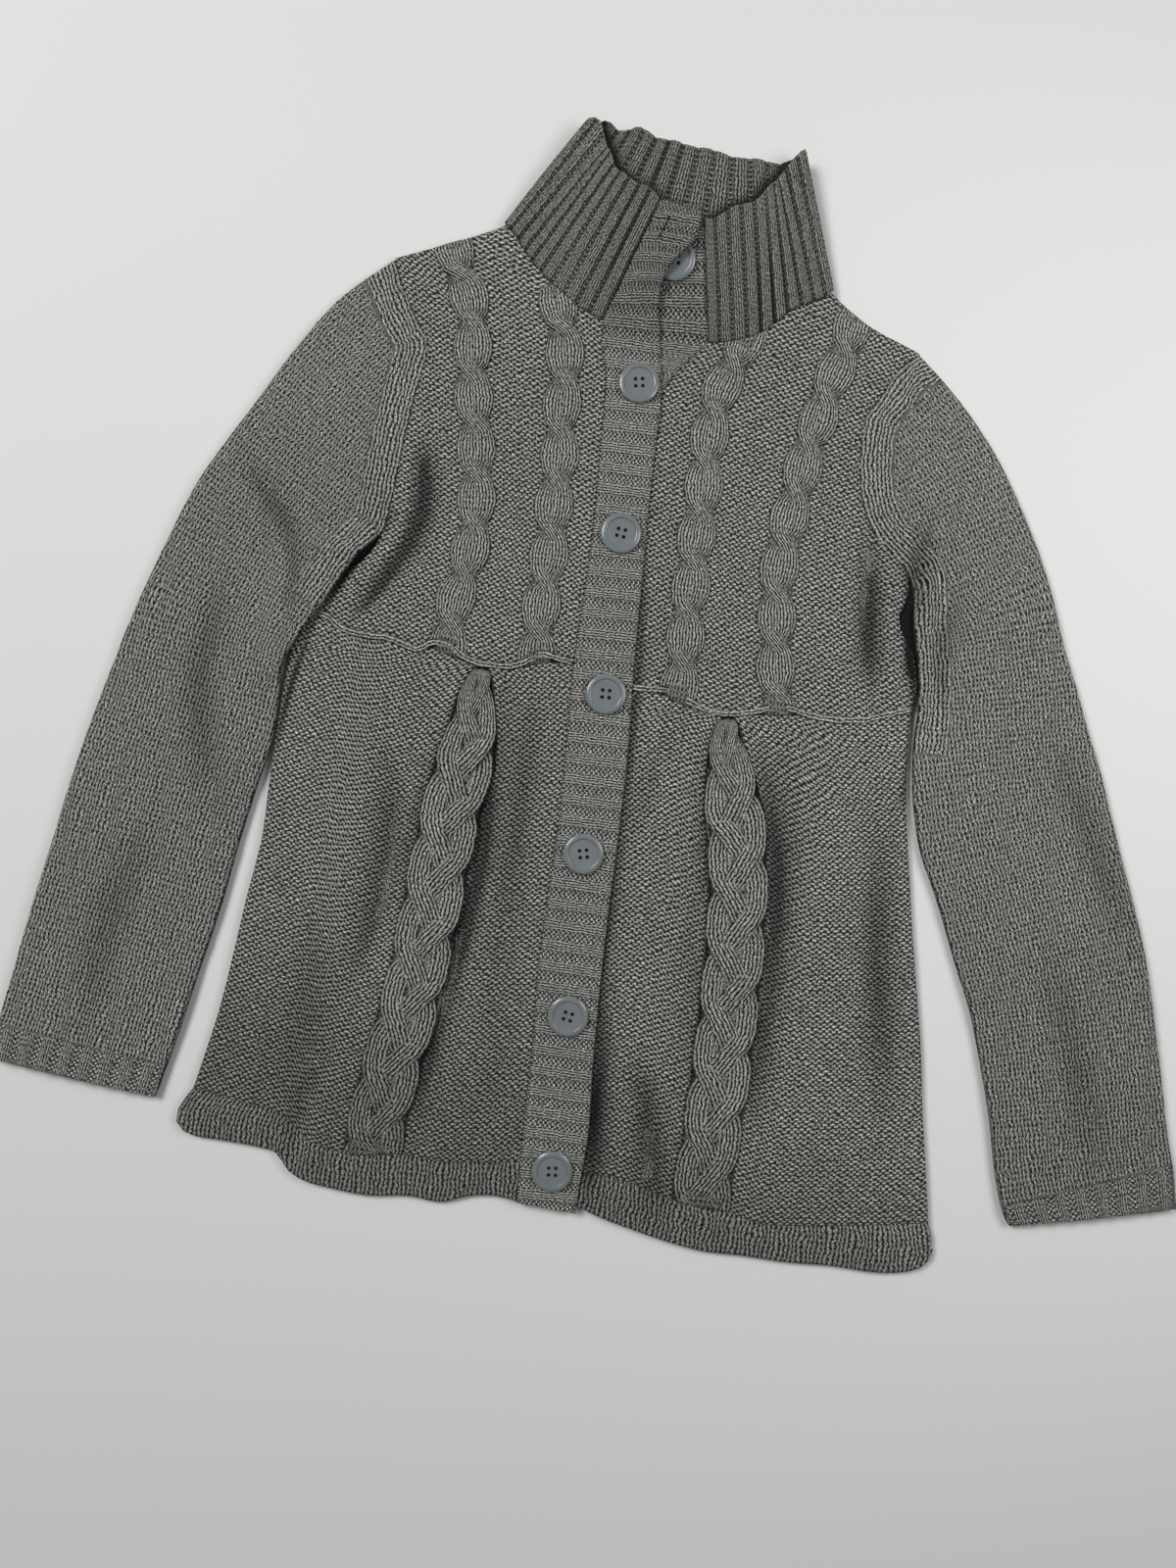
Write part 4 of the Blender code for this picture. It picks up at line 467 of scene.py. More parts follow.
# Columns of the fronts, left to right. Each zone: from a guide line and an offset to another
# guide line and an offset, cells, first wale, last wale. Without a first wale they are
# counted from the guide line that the last column gives. The guide lines are named where the
# zones are used.
YOKE_RIGHT_ZONES = ((2, -122.5, 2, -10.0, 90, None, 2), (2, -10.0, 2, 10.0, 4, None, 2),
                    (2, 10.0, 1, -10.0, 32, 2.0, 10.0), (1, -10.0, 1, 10.0, 4, 10.0, 14.0),
                    (1, 10.0, 0, 0.0, 14, 14.0, 17.5))
YOKE_LEFT_ZONES = ((0, -42.5, 0, -10.0, 26, None, 0), (0, -10.0, 0, 10.0, 4, None, 0),
                   (0, 10.0, 1, -10.0, 36, 2.0, 11.0), (1, -10.0, 1, 10.0, 4, 11.0, 15.0),
                   (1, 10.0, 1, 112.5, 82, None, 1))
SKIRT_RIGHT_ZONES = ((0, 0.0, 1, 0.0, 100, None, 1), (1, 0.0, 2, 0.0, 8, 0.0, 6.0),
                     (2, 0.0, 3, 0.0, 60, None, 2))
SKIRT_LEFT_ZONES = ((0, 0.0, 1, 0.0, 60, None, 1), (1, 0.0, 2, 0.0, 8, 0.0, 6.0),
                    (2, 0.0, 3, 0.0, 100, None, 2))
HEM_ZONES = ((0, 0.0, 1, 0.0, 176, 0.0, 39.0),)
HEM_ROWS = 29

# Stage
# Columns of the lamps: name, place in metres, size, share of the power.
LAMPS = (("window", (-1.4, 0.7, 1.9), 0.9, 0.92), ("ceiling", (0.6, 0.2, 0.8), 0.5, 0.1))
CAMERA_PLACE = (-32.0, -73.0, 820.0)
CAMERA_TURN = 8.5         # degrees that the camera is turned about its own line of sight
CAMERA_LENS = 27.05
CAMERA_SENSOR = 36.0
CAMERA_REACH = 20.0       # metres
FLOOR_SIZE = 8.0          # metres
FLOOR_PLAY = 0.001        # metres that the floor lies under the cloth


# ---------------------------------------------------------------- lines, folds and heights


def ease(value):
    """0 below 0, 1 above 1, and a smooth step between."""
    value = np.clip(value, 0.0, 1.0)
    return value * value * (3.0 - 2.0 * value)


def through(rows, knots, places):
    """Values at the places of a smooth curve through the rows of a table."""
    rows = np.array(rows, dtype=float)
    knots = np.array(knots, dtype=float)
    places = np.asarray(places, dtype=float)
    slopes = np.gradient(rows, knots, axis=0)
    cell = np.clip(np.searchsorted(knots, places, side="right") - 1, 0, len(knots) - 2)
    width = (knots[cell + 1] - knots[cell])[:, None]
    share = (places - knots[cell])[:, None] / width
    rest = 1.0 - share
    value = (1.0 + 2.0 * share) * rest ** 2 * rows[cell]
    value += share ** 2 * (3.0 - 2.0 * share) * rows[cell + 1]
    value += share * rest ** 2 * width * slopes[cell]
    value -= share ** 2 * rest * width * slopes[cell + 1]
    return value


def lengths_along(points):
    """Distance from the first point to each point of a line."""
    steps = np.linalg.norm(np.diff(points, axis=0), axis=1)
    return np.concatenate(([0.0], np.cumsum(steps)))


def smooth_line(rows, step):
    """Points about a step apart along a smooth curve through the rows of a table."""
    rows = np.array(rows, dtype=float)
    knots = lengths_along(rows[:, :2])
    dense = through(rows, knots, np.linspace(0.0, knots[-1], 60 * len(rows)))
    along = lengths_along(dense)
    count = max(2, int(round(along[-1] / step)) + 1)
    even = np.linspace(0.0, along[-1], count)
    return np.stack([np.interp(even, along, column) for column in dense.T], axis=1)


def nearest(points, line):
    """Distance from each point to a line in plan, and the line's third column there."""
    starts = line[:-1]
    ends = line[1:]
    run = ends[:, :2] - starts[:, :2]
    offset = points[:, None, :2] - starts[None, :, :2]
    share = np.sum(offset * run, axis=2) / np.sum(run * run, axis=1)
    share = np.clip(share, 0.0, 1.0)
    miss = offset - share[:, :, None] * run
    distance = np.linalg.norm(miss, axis=2)
    best = np.argmin(distance, axis=1)
    pick = np.arange(len(points))
    height = starts[best, 2] + share[pick, best] * (ends[best, 2] - starts[best, 2])
    return distance[pick, best], height


def with_height(line, height):
    """A plan line with one height for all its points."""
    return np.column_stack((line[:, :2], np.full(len(line), float(height))))


def join_lines(*lines):
    """One closed outline from lines that meet end to end."""
    return np.concatenate([line[:-1, :2] for line in lines])


def fold_height(points, folds):
    """Sum of the soft ridges and troughs at the points."""
    height = np.zeros(len(points))
    for x1, y1, x2, y2, x3, y3, width, rise in folds:
        path = smooth_line(((x1, y1), (x2, y2), (x3, y3)), 15.0)
        share = np.linspace(0.0, 1.0, len(path))
        distance, place = nearest(points, np.column_stack((path, share)))
        fade = np.sqrt(np.sin(np.pi * np.clip(place, 0.02, 0.98)))
        height += rise * fade * np.exp(-(distance / width) ** 2)
    return height


def front_low(points, side):
    """Height of a front's inner face, drawn down to its free edges and to its seams."""
    low = np.full(len(points), LAYER + BODY_LIFT)
    for line, reach in side["edges"]:
        distance, height = nearest(points, line)
        low += (height - low) * ease(1.0 - distance / reach)
    low += fold_height(points, side["folds"]) * side_fade(points, side)
    return np.clip(low, LAYER, np.maximum(FRONT_HIGHEST, edge_height(points, side)))


def edge_height(points, side):
    """Height that the seams near a point ask for, where they stand higher than the cloth."""
    height = np.zeros(len(points))
    for line, reach in side["edges"]:
        distance, at_line = nearest(points, line)
        height = np.maximum(height, at_line * (distance < reach / 2))
    return height


def side_fade(points, side):
    """How much of a fold is left near the edges that hold the cloth flat."""
    fade = np.ones(len(points))
    for line, reach in side["edges"]:
        distance, _ = nearest(points, line)
        fade *= 0.35 + 0.65 * ease(distance / (0.6 * reach))
    return fade


def rib_profile(places):
    """Height of a rib with a flat top and a flat valley, by its place counted in ribs."""
    place = np.asarray(places, dtype=float) % 1.0
    return ease((0.5 - np.abs(place - 0.5)) / 0.16 - 0.6)


def band_point(rows, along, across):
    """A point in a band's middle surface, by its distance from the hem and its share across."""
    knots = lengths_along(np.array(rows)[:, :2])
    value = through(rows, knots, along)
    share = np.asarray(across)[:, None]
    points = value[:, :3] * (1.0 - share) + value[:, 3:6] * share
    points[:, 2] += value[:, 6] * 4.0 * (share * (1.0 - share))[:, 0]
    return points


def band_places(rows, first, last):
    """Distances from the hem of points about a step apart, with one at each row of the table."""
    knots = lengths_along(np.array(rows)[:, :2])
    places = [knots[first]]
    for row in range(first, last):
        count = max(1, int(round((knots[row + 1] - knots[row]) / BAND_STEP)))
        places += list(np.linspace(knots[row], knots[row + 1], count + 1)[1:])
    return np.array(places)


def band_side(rows, share, first, last):
    """Points along one side of a band, from one row of its table to another."""
    places = band_places(rows, first, last)
    return band_point(rows, places, np.full(len(places), float(share)))


def sleeve_lift(points, lift, body_side):
    """How far a sleeve's cloth is held up where it lies on the edge of the body."""
    rise, start, full, held, end, width = lift
    order = np.argsort(body_side[:, 1])
    side_x = np.interp(points[:, 1], body_side[order, 1], body_side[order, 0])
    inward = (points[:, 0] - side_x) * -math.copysign(1.0, body_side[0, 0])
    near = ease((inward + width + 2.0) / width)
    from_start = ease((start - points[:, 1]) / (start - full))
    to_end = ease((points[:, 1] - end) / (held - end))
    return rise * near * from_start * to_end


def collar_point(ribs, up):
    """Middle surface of the collar by the ribs counted round it and the share of its height."""
    table = np.array(COLLAR)
    value = through(table[:, 1:], table[:, 0], ribs)
    up = np.asarray(up)[:, None]
    points = value[:, :3] * (1.0 - up) + value[:, 3:] * up
    belly = 4.0 * (up * (1.0 - up))[:, 0]
    front = ease((COLLAR_FOLDS[0] - 1.5 - ribs) / 4.0) + ease((ribs - COLLAR_FOLDS[1] - 1.5) / 4.0)
    points[:, 2] += COLLAR_BELLY * belly * front
    return points


def collar_normal(ribs, up):
    """Direction out of the collar, away from the neck, from its slopes round and up."""
    step = 0.02
    side_low = collar_point(np.maximum(ribs - step, COLLAR[0][0]), up)
    side_high = collar_point(np.minimum(ribs + step, COLLAR[-1][0]), up)
    up_low = collar_point(ribs, np.maximum(up - step, 0.0))
    up_high = collar_point(ribs, np.minimum(up + step, 1.0))
    normal = np.cross(up_high - up_low, side_high - side_low)
    return normal / np.linalg.norm(normal, axis=1)[:, None]


def circle(radius, sides, middle=(0.0, 0.0)):
    """Points of a circle in plan."""
    angles = 2.0 * np.pi * np.arange(sides) / sides
    return np.column_stack((middle[0] + radius * np.cos(angles),
                            middle[1] + radius * np.sin(angles)))


def seam_lines():
    """All seams and edges as plan lines, shared by the pieces on both sides."""
    lines = {name: smooth_line(rows, step) for name, (step, rows) in OUTLINES.items()}
    ends = (("hem", 0), ("skirt", HEM_SEAM_ROW), ("yoke", WAIST_ROW))
    for band, rows, share, last in (("band", TOP_BAND, 0.0, NECK_ROW_TOP),
                                    ("under", UNDER_BAND, 1.0, NECK_ROW_UNDER)):
        for (word, first), stop in zip(ends, (HEM_SEAM_ROW, WAIST_ROW, last)):
            lines[band + "_" + word] = band_side(rows, share, first, stop)
    return lines


def neck_line(first, last):
    """The collar's seam between two rib counts, with the height of the wall's inner face."""
    table = np.array(COLLAR)
    count = int((last - first) * 1.5) + 1
    values = through(table[:, 1:4], table[:, 0], np.linspace(first, last, count))
    values[:, 2] -= WALL / 2
    return values


def front_sides(seams):
    """The lines that each front is drawn to, with their reach, and its folds."""
    right_neck = neck_line(0.0, 10.0)
    left_neck = neck_line(26.0, 36.0)
    under_yoke = seams["under_yoke"] - np.array((0.0, 0.0, WALL / 2))
    right_free = ("shoulder_right", "underarm_right", "side_yoke_right", "side_skirt_right",
                  "hem_edge_right")
    left_free = ("shoulder_left", "side_yoke_left", "side_skirt_left", "hem_edge_left")
    right = [(with_height(seams[key], LAYER), FREE_EDGE_REACH) for key in right_free]
    left = [(with_height(seams[key], LAYER), FREE_EDGE_REACH) for key in left_free]
    right += [(with_height(seams["band_skirt"], BAND_LOW), SEAM_REACH),
              (with_height(seams["band_yoke"], BAND_LOW), SEAM_REACH), (right_neck, SEAM_REACH)]
    left += [(with_height(seams["under_skirt"], LAYER), SEAM_REACH), (under_yoke, SEAM_REACH),
             (left_neck, SEAM_REACH)]
    return ({"edges": right, "folds": FOLDS_RIGHT, "neck": right_neck[:, :2]},
            {"edges": left, "folds": FOLDS_LEFT, "neck": left_neck[:, :2]})


def left_of(line):
    """Unit vectors square to a plan line, to the left of the way that it runs."""
    ahead = np.gradient(line, axis=0)
    ahead /= np.linalg.norm(ahead, axis=1)[:, None]
    return np.column_stack((-ahead[:, 1], ahead[:, 0]))


def moved(line, shift):
    """A plan line moved sideways."""
    return line + left_of(line) * shift


# ---------------------------------------------------------------- shapes shared by the pieces


def patch(points, faces, knit=None, face=1.0, painted_shade=0.0):
    """A piece of surface: points, triangles, and each point's wale, course, face and painted
    shade.

    face tells the side and kind of the knit as in stitch_relief; the last mark is shade painted
    into the colour, in grooves, creases and rims and where other pieces lie over it.
    """
    count = len(points)
    marks = np.zeros((count, 4))
    if knit is not None:
        marks[:, :2] = knit
    marks[:, 2] = face
    marks[:, 3] = painted_shade
    return points, faces, marks


def join_patches(patches):
    """One patch from several that don't share points."""
    starts = np.cumsum([0] + [len(points) for points, _, _ in patches])
    faces = [one[1] + start for one, start in zip(patches, starts)]
    return (np.concatenate([one[0] for one in patches]), np.concatenate(faces),
            np.concatenate([one[2] for one in patches]))


def grid_faces(numbers):
    """Two triangles for each cell of a grid of point numbers, less those with no area."""
    a = numbers[:-1, :-1].ravel()
    b = numbers[:-1, 1:].ravel()
    c = numbers[1:, 1:].ravel()
    d = numbers[1:, :-1].ravel()
    faces = np.concatenate((np.stack((a, b, c), axis=1), np.stack((a, c, d), axis=1)))
    ahead = np.roll(faces, 1, axis=1)
    return faces[np.all(faces != ahead, axis=1)]


def zip_faces(first, first_at, second, second_at):
    """Triangles between two lines of point numbers, merged in the order of their places."""
    step_second = np.searchsorted(second_at[1:], first_at[1:], side="left")
    step_first = np.searchsorted(first_at[1:], second_at[1:], side="right")
    over = np.stack((first[:-1], first[1:], second[step_second]), axis=1)
    under = np.stack((second[:-1], first[step_first], second[1:]), axis=1)
    return np.concatenate((over, under))


def cut_cells(outline, inner):
    """Triangles over a closed outline and loose points inside it."""
    points = [Vector(point) for point in np.concatenate((outline, inner))]
    result = delaunay_2d_cdt(points, [], [list(range(len(outline)))], 1, 1e-7)
    if len(result[0]) != len(points):
        raise ValueError("two points of an outline lie on each other")
    return np.array([tuple(face) for face in result[2]])


def closed_panel(points, numbers, low, marks):
    """A patch closed by a rim and a plain underside; low gives the underside's height.

    numbers is the grid of point numbers. Points that no cell uses are dropped.
    """
    faces = grid_faces(numbers)
    loop = np.concatenate((numbers[0, :-1], numbers[:-1, -1], numbers[-1, :0:-1],
                           numbers[:0:-1, 0]))
    loop = loop[loop != np.roll(loop, 1)]
    edge = points[loop]
    lattice = lattice_inside(edge[:, :2], UNDERSIDE_STEP)
    under_plan = np.concatenate((edge[:, :2], lattice))
    under = np.column_stack((under_plan, low(under_plan)))
    base = len(points)
    cells = cut_cells(edge[:, :2], lattice)[:, ::-1] + base
    here = np.arange(len(loop)) + base
    rim = np.concatenate((np.stack((loop, here, np.roll(here, -1)), axis=1),
                          np.stack((loop, np.roll(here, -1), np.roll(loop, -1)), axis=1)))
    spread = under_plan / (PURL_WALE, COURSE)
    under_marks = np.column_stack((spread, np.ones(len(spread)), np.zeros(len(spread))))
    return compact(np.concatenate((points, under)), np.concatenate((faces, rim, cells)),
                   np.concatenate((marks, under_marks)))


def compact(points, faces, marks):
    """The same patch without the points that no triangle uses."""
    used, faces = np.unique(faces, return_inverse=True)
    return points[used], faces.reshape(-1, 3), marks[used]


def lattice_inside(outline, step):
    """Points of a square grid at least half a step inside an outline."""
    low = outline.min(axis=0)
    high = outline.max(axis=0)
    x, y = np.meshgrid(np.arange(low[0], high[0], step), np.arange(low[1], high[1], step))
    points = np.column_stack((x.ravel(), y.ravel()))
    ahead = np.roll(outline, -1, axis=0)
    spans = (outline[:, 1] > points[:, 1:]) != (ahead[:, 1] > points[:, 1:])
    rise = np.where(ahead[:, 1] == outline[:, 1], 1.0, ahead[:, 1] - outline[:, 1])
    at = outline[:, 0] + (points[:, 1:] - outline[:, 1]) * (ahead[:, 0] - outline[:, 0]) / rise
    inside = np.sum(spans & (points[:, :1] < at), axis=1) % 2 == 1
    points = points[inside]
    edge = with_height(np.concatenate((outline, outline[:1])), 0.0)
    return points[nearest(points, edge)[0] > step * 0.5]


def tube(rings, knit, face, painted_shade):
    """A closed tube from rings of equal count, with flat caps at both ends.

    Rings is rows by points by 3. Each ring closes on itself.
    """
    rows, count = rings.shape[:2]
    numbers = np.arange(rows * count).reshape(rows, count)
    faces = [grid_faces(np.column_stack((numbers, numbers[:, 0])))]
    for ring, turn in ((numbers[0], -1), (numbers[-1], 1)):
        fan = np.stack((np.full(count - 2, ring[0]), ring[1:-1], ring[2:]), axis=1)
        faces.append(fan[:, ::turn])
    return patch(rings.reshape(-1, 3), np.concatenate(faces), knit.reshape(-1, 2),
                 face.ravel(), painted_shade.ravel())


def add_piece(name, cloth, finish):
    """Makes the object of a patch.

    Points go to metres. The knit map holds wales and courses, the attributes hold the rest.
    """
    points, faces, marks = cloth
    mesh = bpy.data.meshes.new(name)
    mesh.vertices.add(len(points))
    mesh.vertices.foreach_set("co", (points * MM).ravel())
    mesh.loops.add(3 * len(faces))
    mesh.loops.foreach_set("vertex_index", faces.ravel().astype(np.int32))
    mesh.polygons.add(len(faces))
    mesh.polygons.foreach_set("loop_start", np.arange(0, 3 * len(faces), 3, dtype=np.int32))
    mesh.polygons.foreach_set("loop_total", np.full(len(faces), 3, dtype=np.int32))
    mesh.update(calc_edges=True)
    # The pieces' painted shade goes to an attribute of its own, which the finish darkens by.
    for index, word in ((2, "face"), (3, "painted_shade")):
        mark = mesh.attributes.new(word, "FLOAT", "POINT")
        mark.data.foreach_set("value", marks[:, index].astype(np.float32))
    chart = mesh.uv_layers.new(name="knit")
    chart.data.foreach_set("uv", marks[faces.ravel(), :2].astype(np.float32).ravel())
    turn_outwards(mesh)
    mesh.shade_smooth()
    if finish == "grey_button":
        mesh.set_sharp_from_angle(angle=math.radians(28.0))
    mesh.materials.append(finish_named(finish))
    piece = bpy.data.objects.new(name, mesh)
    bpy.context.scene.collection.objects.link(piece)
    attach(piece, "root")
    return piece


def add_sheet(name, cloth):
    piece = add_piece("knit_" + name, cloth, "marled_knit")
    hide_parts(name)
    return piece


def turn_outwards(mesh):
    """Turns all faces of a mesh outwards."""
    shape = bmesh.new()
    shape.from_mesh(mesh)
    bmesh.ops.recalc_face_normals(shape, faces=shape.faces)
    shape.to_mesh(mesh)
    shape.free()


def line_x(line):
    """x of a line that rises steadily, as a function of y."""
    order = np.argsort(line[:, 1], kind="stable")
    return lambda y: np.interp(y, line[order, 1], line[order, 0])


def line_y(line):
    """y of a line that runs steadily across, as a function of x."""
    order = np.argsort(line[:, 0], kind="stable")
    return lambda x: np.interp(x, line[order, 0], line[order, 1])


# ---------------------------------------------------------------- stitches


def stitch_relief(wale, course, face):
    """Height of the knit from 0 in its gaps to 1 on the yarn.

    face is 0 on the purl side, or down to -1 where its stitches slant, 1 on the smooth side,
    and up to 2 where those are drawn out into lines. Smooth side, with s = |fract(w) - 1/2|,
    q = cos(2 pi s)^4 on the lines beside the legs and d = cos(pi (c - slant s))^4 between a
    stitch and the next above it: 1 - 1.4 q (line + (1 - line) d) - step d (1 - q), at least
    0; line grows and step shrinks as the stitches are drawn out. Purl side: two staggered
    rows of short bars in each course, cos(pi t) across from each bar's middle t and
    |cos(pi (c -+ 1/4 + lean t +- bend t^2))|^2.8 along.
    """
    lean = PURL_LEAN * np.clip(-face, 0.0, 1.0)
    side = np.abs(wale % 1.0 - 0.5)
    line = np.cos(2.0 * np.pi * side) ** 4
    dot = np.cos(np.pi * (course - LEG_SLANT * side)) ** 4
    drawn = 0.3 + 0.35 * np.clip(face - 1.0, 0.0, 1.0)
    step = LEG_STEP * (1.3 - drawn) * dot
    smooth = 1.0 - 1.4 * line * (drawn + (1.0 - drawn) * dot) - step * (1.0 - line)
    smooth = np.maximum(smooth, 0.0)
    purl = 0.0
    for shift in (0.5, 0.0):
        off = (wale - shift + 0.5) % 1.0 - 0.5
        row = course - (shift - 0.25) + (PURL_BEND * (4.0 * shift - 1.0) * off + lean) * off
        purl = np.maximum(purl, np.cos(np.pi * off) * np.abs(np.cos(np.pi * row)) ** 2.8)
    return purl + (smooth - purl) * np.clip(face, 0.0, 1.0)


def uneven(x, y, seed, size):
    """A soft irregular field from -1 to 1: five plane waves of about one size, added up."""
    spins = np.random.default_rng(seed).uniform(0.0, 2.0 * np.pi, (5, 2))
    total = np.zeros_like(x)
    for turn, shift in spins:
        total += np.sin((x * np.cos(turn) + y * np.sin(turn)) * 2.0 * np.pi / size + shift)
    return total / 3.0


# ---------------------------------------------------------------- fronts


def panel_grid(row_y, weights, offsets, lines, left, right):
    """Plan points of a panel whose rows are cut off at its left and right sides.

    A column is a weighted mean of the guide lines plus an offset. Where a row runs past a
    side, its points move back along the row to the side and count as one point there.
    """
    rows = row_y.count
    columns = len(weights)
    y = np.repeat(row_y.start[:, None], columns, axis=1)
    x = np.zeros((rows, columns))
    for _ in range(4):
        x = sum(weights[:, k] * line(y) for k, line in enumerate(lines)) + offsets
        y = row_y(x)
    raw = x
    for _ in range(8):
        x = np.clip(raw, left(y), right(y))
        y = row_y(x)
    top = row_y.top
    y = np.minimum(y, top)
    x = np.clip(raw, left(y), right(y))
    number = np.arange(columns)
    low = np.maximum(np.sum(raw <= left(y), axis=1) - 1, 0)
    high = np.minimum(columns - np.sum(raw >= right(y), axis=1), columns - 1)
    row = np.arange(rows)
    open_rows = (high > low) & (x[row, high] - x[row, low] > 0.05)
    last = min(int(np.flatnonzero(open_rows).max()) + 2, rows)
    high = np.where(open_rows, high, low)
    keep = np.clip(number[None, :], low[:, None], high[:, None])
    numbers = keep + (row * columns)[:, None]
    return x[:last], y[:last], numbers[:last]


class YokeRows:
    """Rows of a yoke: they start on the waist seam and tilt as they rise.

    y = mean waist + h + (waist(x) - mean) exp(-h / 45) + tilt ease(h / 80) (x - x0). The
    stitches are counted by height over the seam's mean, less the tilt.
    """

    def __init__(self, waist, x_side, tilt, top):
        self.waist = line_y(waist)
        self.mean = float(np.mean(waist[:, 1]))
        self.x_side = x_side
        self.tilt = tilt
        self.top = top
        reach = top - self.mean + abs(tilt) * YOKE_SPAN
        self.heights = np.arange(0.0, reach, COURSE / COURSE_CELLS)
        self.count = len(self.heights)
        self.start = self.mean + self.heights

    def __call__(self, x):
        h = self.heights[:, None]
        bend = (self.waist(x) - self.mean) * np.exp(-h / 45.0)
        return self.mean + h + bend + self.tilt * ease(h / 80.0) * (x - self.x_side)

    def course(self, x, y):
        """Count of rows of stitches up to a point."""
        return (y - self.mean - self.tilt * (x - self.x_side)) / COURSE


class SkirtRows:
    """Rows of a skirt or hem panel between its lower and its upper seam.

    A straight mean of the two seams, plus what each seam departs from its own chord, which
    fades out over 45 mm. The stitches are counted by height over the lower seam.
    """

    def __init__(self, lower, upper, rows):
        self.seams = (line_y(lower), line_y(upper))
        self.chords = [np.polyfit(line[[0, -1], 0], line[[0, -1], 1], 1)
                       for line in (lower, upper)]
        self.count = rows
        self.share = np.linspace(0.0, 1.0, rows)
        self.length = abs(np.mean(upper[:, 1]) - np.mean(lower[:, 1]))
        self.start = (np.mean(lower[:, 1]) * (1.0 - self.share)
                      + np.mean(upper[:, 1]) * self.share)
        self.top = 1000.0

    def __call__(self, x):
        t = self.share[:, None]
        value = 0.0
        for share, seam, chord in zip((1.0 - t, t), self.seams, self.chords):
            straight = np.polyval(chord, x)
            fade = np.exp(-(1.0 - share) * self.length / 45.0) - math.exp(-self.length / 45.0)
            value = value + share * straight + (seam(x) - straight) * fade / (
                1.0 - math.exp(-self.length / 45.0))
        return value

    def course(self, x, y):
        """Count of rows of stitches up to a point."""
        return (y - self.seams[0](x)) / COURSE


def zone(start, stop, step):
    """Places from start to stop in equal steps of about the given size."""
    return np.linspace(start, stop, max(1, int(round((stop - start) / step))) + 1)


def hem_shaded(painted_shade, x, y):
    """Painted shade of the fronts, with the painted shade added that grows towards the hem."""
    low = ease((-235.0 - 0.2 * x - y) / 120.0)
    return 1.0 - (1.0 - np.clip(painted_shade, 0.0, 1.0)) * (1.0 - HEM_SHADE * low)


def strand_ribbon(path, sideways, offset, half, lift, rope, crossing, ground, wales, strand_shade,
                  along):
    """One strand of a rope as a closed tube: a rounded back over a flat underside.

    Across the strand u runs from -1 to 1, and a = offset + half u is the place across the
    rope. Its back is ground + lift (0.3 + 0.7 sqrt(1 - (a / rope)^2)) (1 - edge u^4) plus
    the stitches; the edge is sharper where the strand crosses over another.
    """
    u = np.linspace(-1.0, 1.0, STRAND_CELLS * wales + 1)
    across = offset[:, None] + half[:, None] * u
    plan = path[:, None, :] + sideways[:, None, :] * across[:, :, None]
    low = ground(path + sideways * offset[:, None])[:, None]
    wale = (u + 1.0) / 2.0 * wales + 0.0 * low
    course = along[:, None] / COURSE + 0.0 * wale
    course += STITCH_JITTER * uneven(plan[:, :, 0], plan[:, :, 1], 33, 18.0)
    edge = (np.abs(across) / rope[:, None]) ** 6
    dome = np.sqrt(np.clip(1.0 - (across / rope[:, None]) ** 2, 0.0, 1.0))
    over = np.clip(crossing, 0.0, 1.0)[:, None]
    rise = lift[:, None] * (0.3 + 0.7 * dome) * (1.0 - (0.12 + 0.5 * over) * u ** 4)
    rise += STRAND_RELIEF * (stitch_relief(wale, course, DRAWN) - 0.7)
    under = np.dstack((plan[:, [-1, 0]], np.repeat(low - 1.2, 2, axis=1)))
    rings = np.concatenate((np.dstack((plan, low + rise)), under), axis=1)
    knit = np.dstack((np.hstack((wale, wale[:, [-1, 0]])), np.hstack((course, course[:, :2]))))
    # Painted shade along the strand's edges, more where it crosses over another, plus its own
    # painted shade; the underside is painted fully shaded.
    painted_shade = np.abs(u) ** 8 * np.clip(0.8 * edge + 0.8 * over + 0.15, 0.0, 1.0)
    painted_shade = hem_shaded(painted_shade + strand_shade[:, None], plan[:, :, 0], plan[:, :, 1])
    painted_shade = np.hstack((painted_shade, np.ones((len(path), 2))))
    return tube(rings, knit, np.full(rings.shape[:2], DRAWN), painted_shade)


def rope_frame(table, y_low, y_high, past_start):
    """A rope's path cut off at its seams: sideways directions, distances along, and fade.

    The path is carried on straight past its ends. Fade is 0 at a seam and 1 well inside.
    """
    step = COURSE / STRAND_COURSE_CELLS
    path = smooth_line(table, step)
    more = np.arange(step, ROPE_PAST_SEAM, step)[:, None]
    before = path[:1] - (path[1:2] - path[:1]) / step * more[::-1]
    after = path[-1:] + (path[-1:] - path[-2:-1]) / step * more
    start = len(before) if past_start else 0
    path = np.concatenate((before[:start], path, after))
    along = lengths_along(path) - start * step
    inside = np.minimum(path[:, 1] - y_low(path[:, 0]), y_high(path[:, 0]) - path[:, 1])
    keep = inside > -ROPE_PAST_SEAM
    fade = 0.3 + 0.7 * ease((inside - 3.0) / 8.0)
    return path[keep], left_of(path)[keep], along[keep], fade[keep]


def plait_half_width(along):
    """Half the plait's width, which opens out of the pleat's point into a rounded bud."""
    return PLAIT_WIDTH / 2 * (0.22 + 0.78 * np.clip(along / PLEAT_POINT, 0.0, 1.0) ** 0.6)


def cable_swell(along):
    """Width of a cable against its mean: 1 + swell cos(2 pi t), least at each crossing."""
    return 1.0 + CABLE_SWELL * np.cos(2.0 * np.pi * along / CABLE_PERIOD)


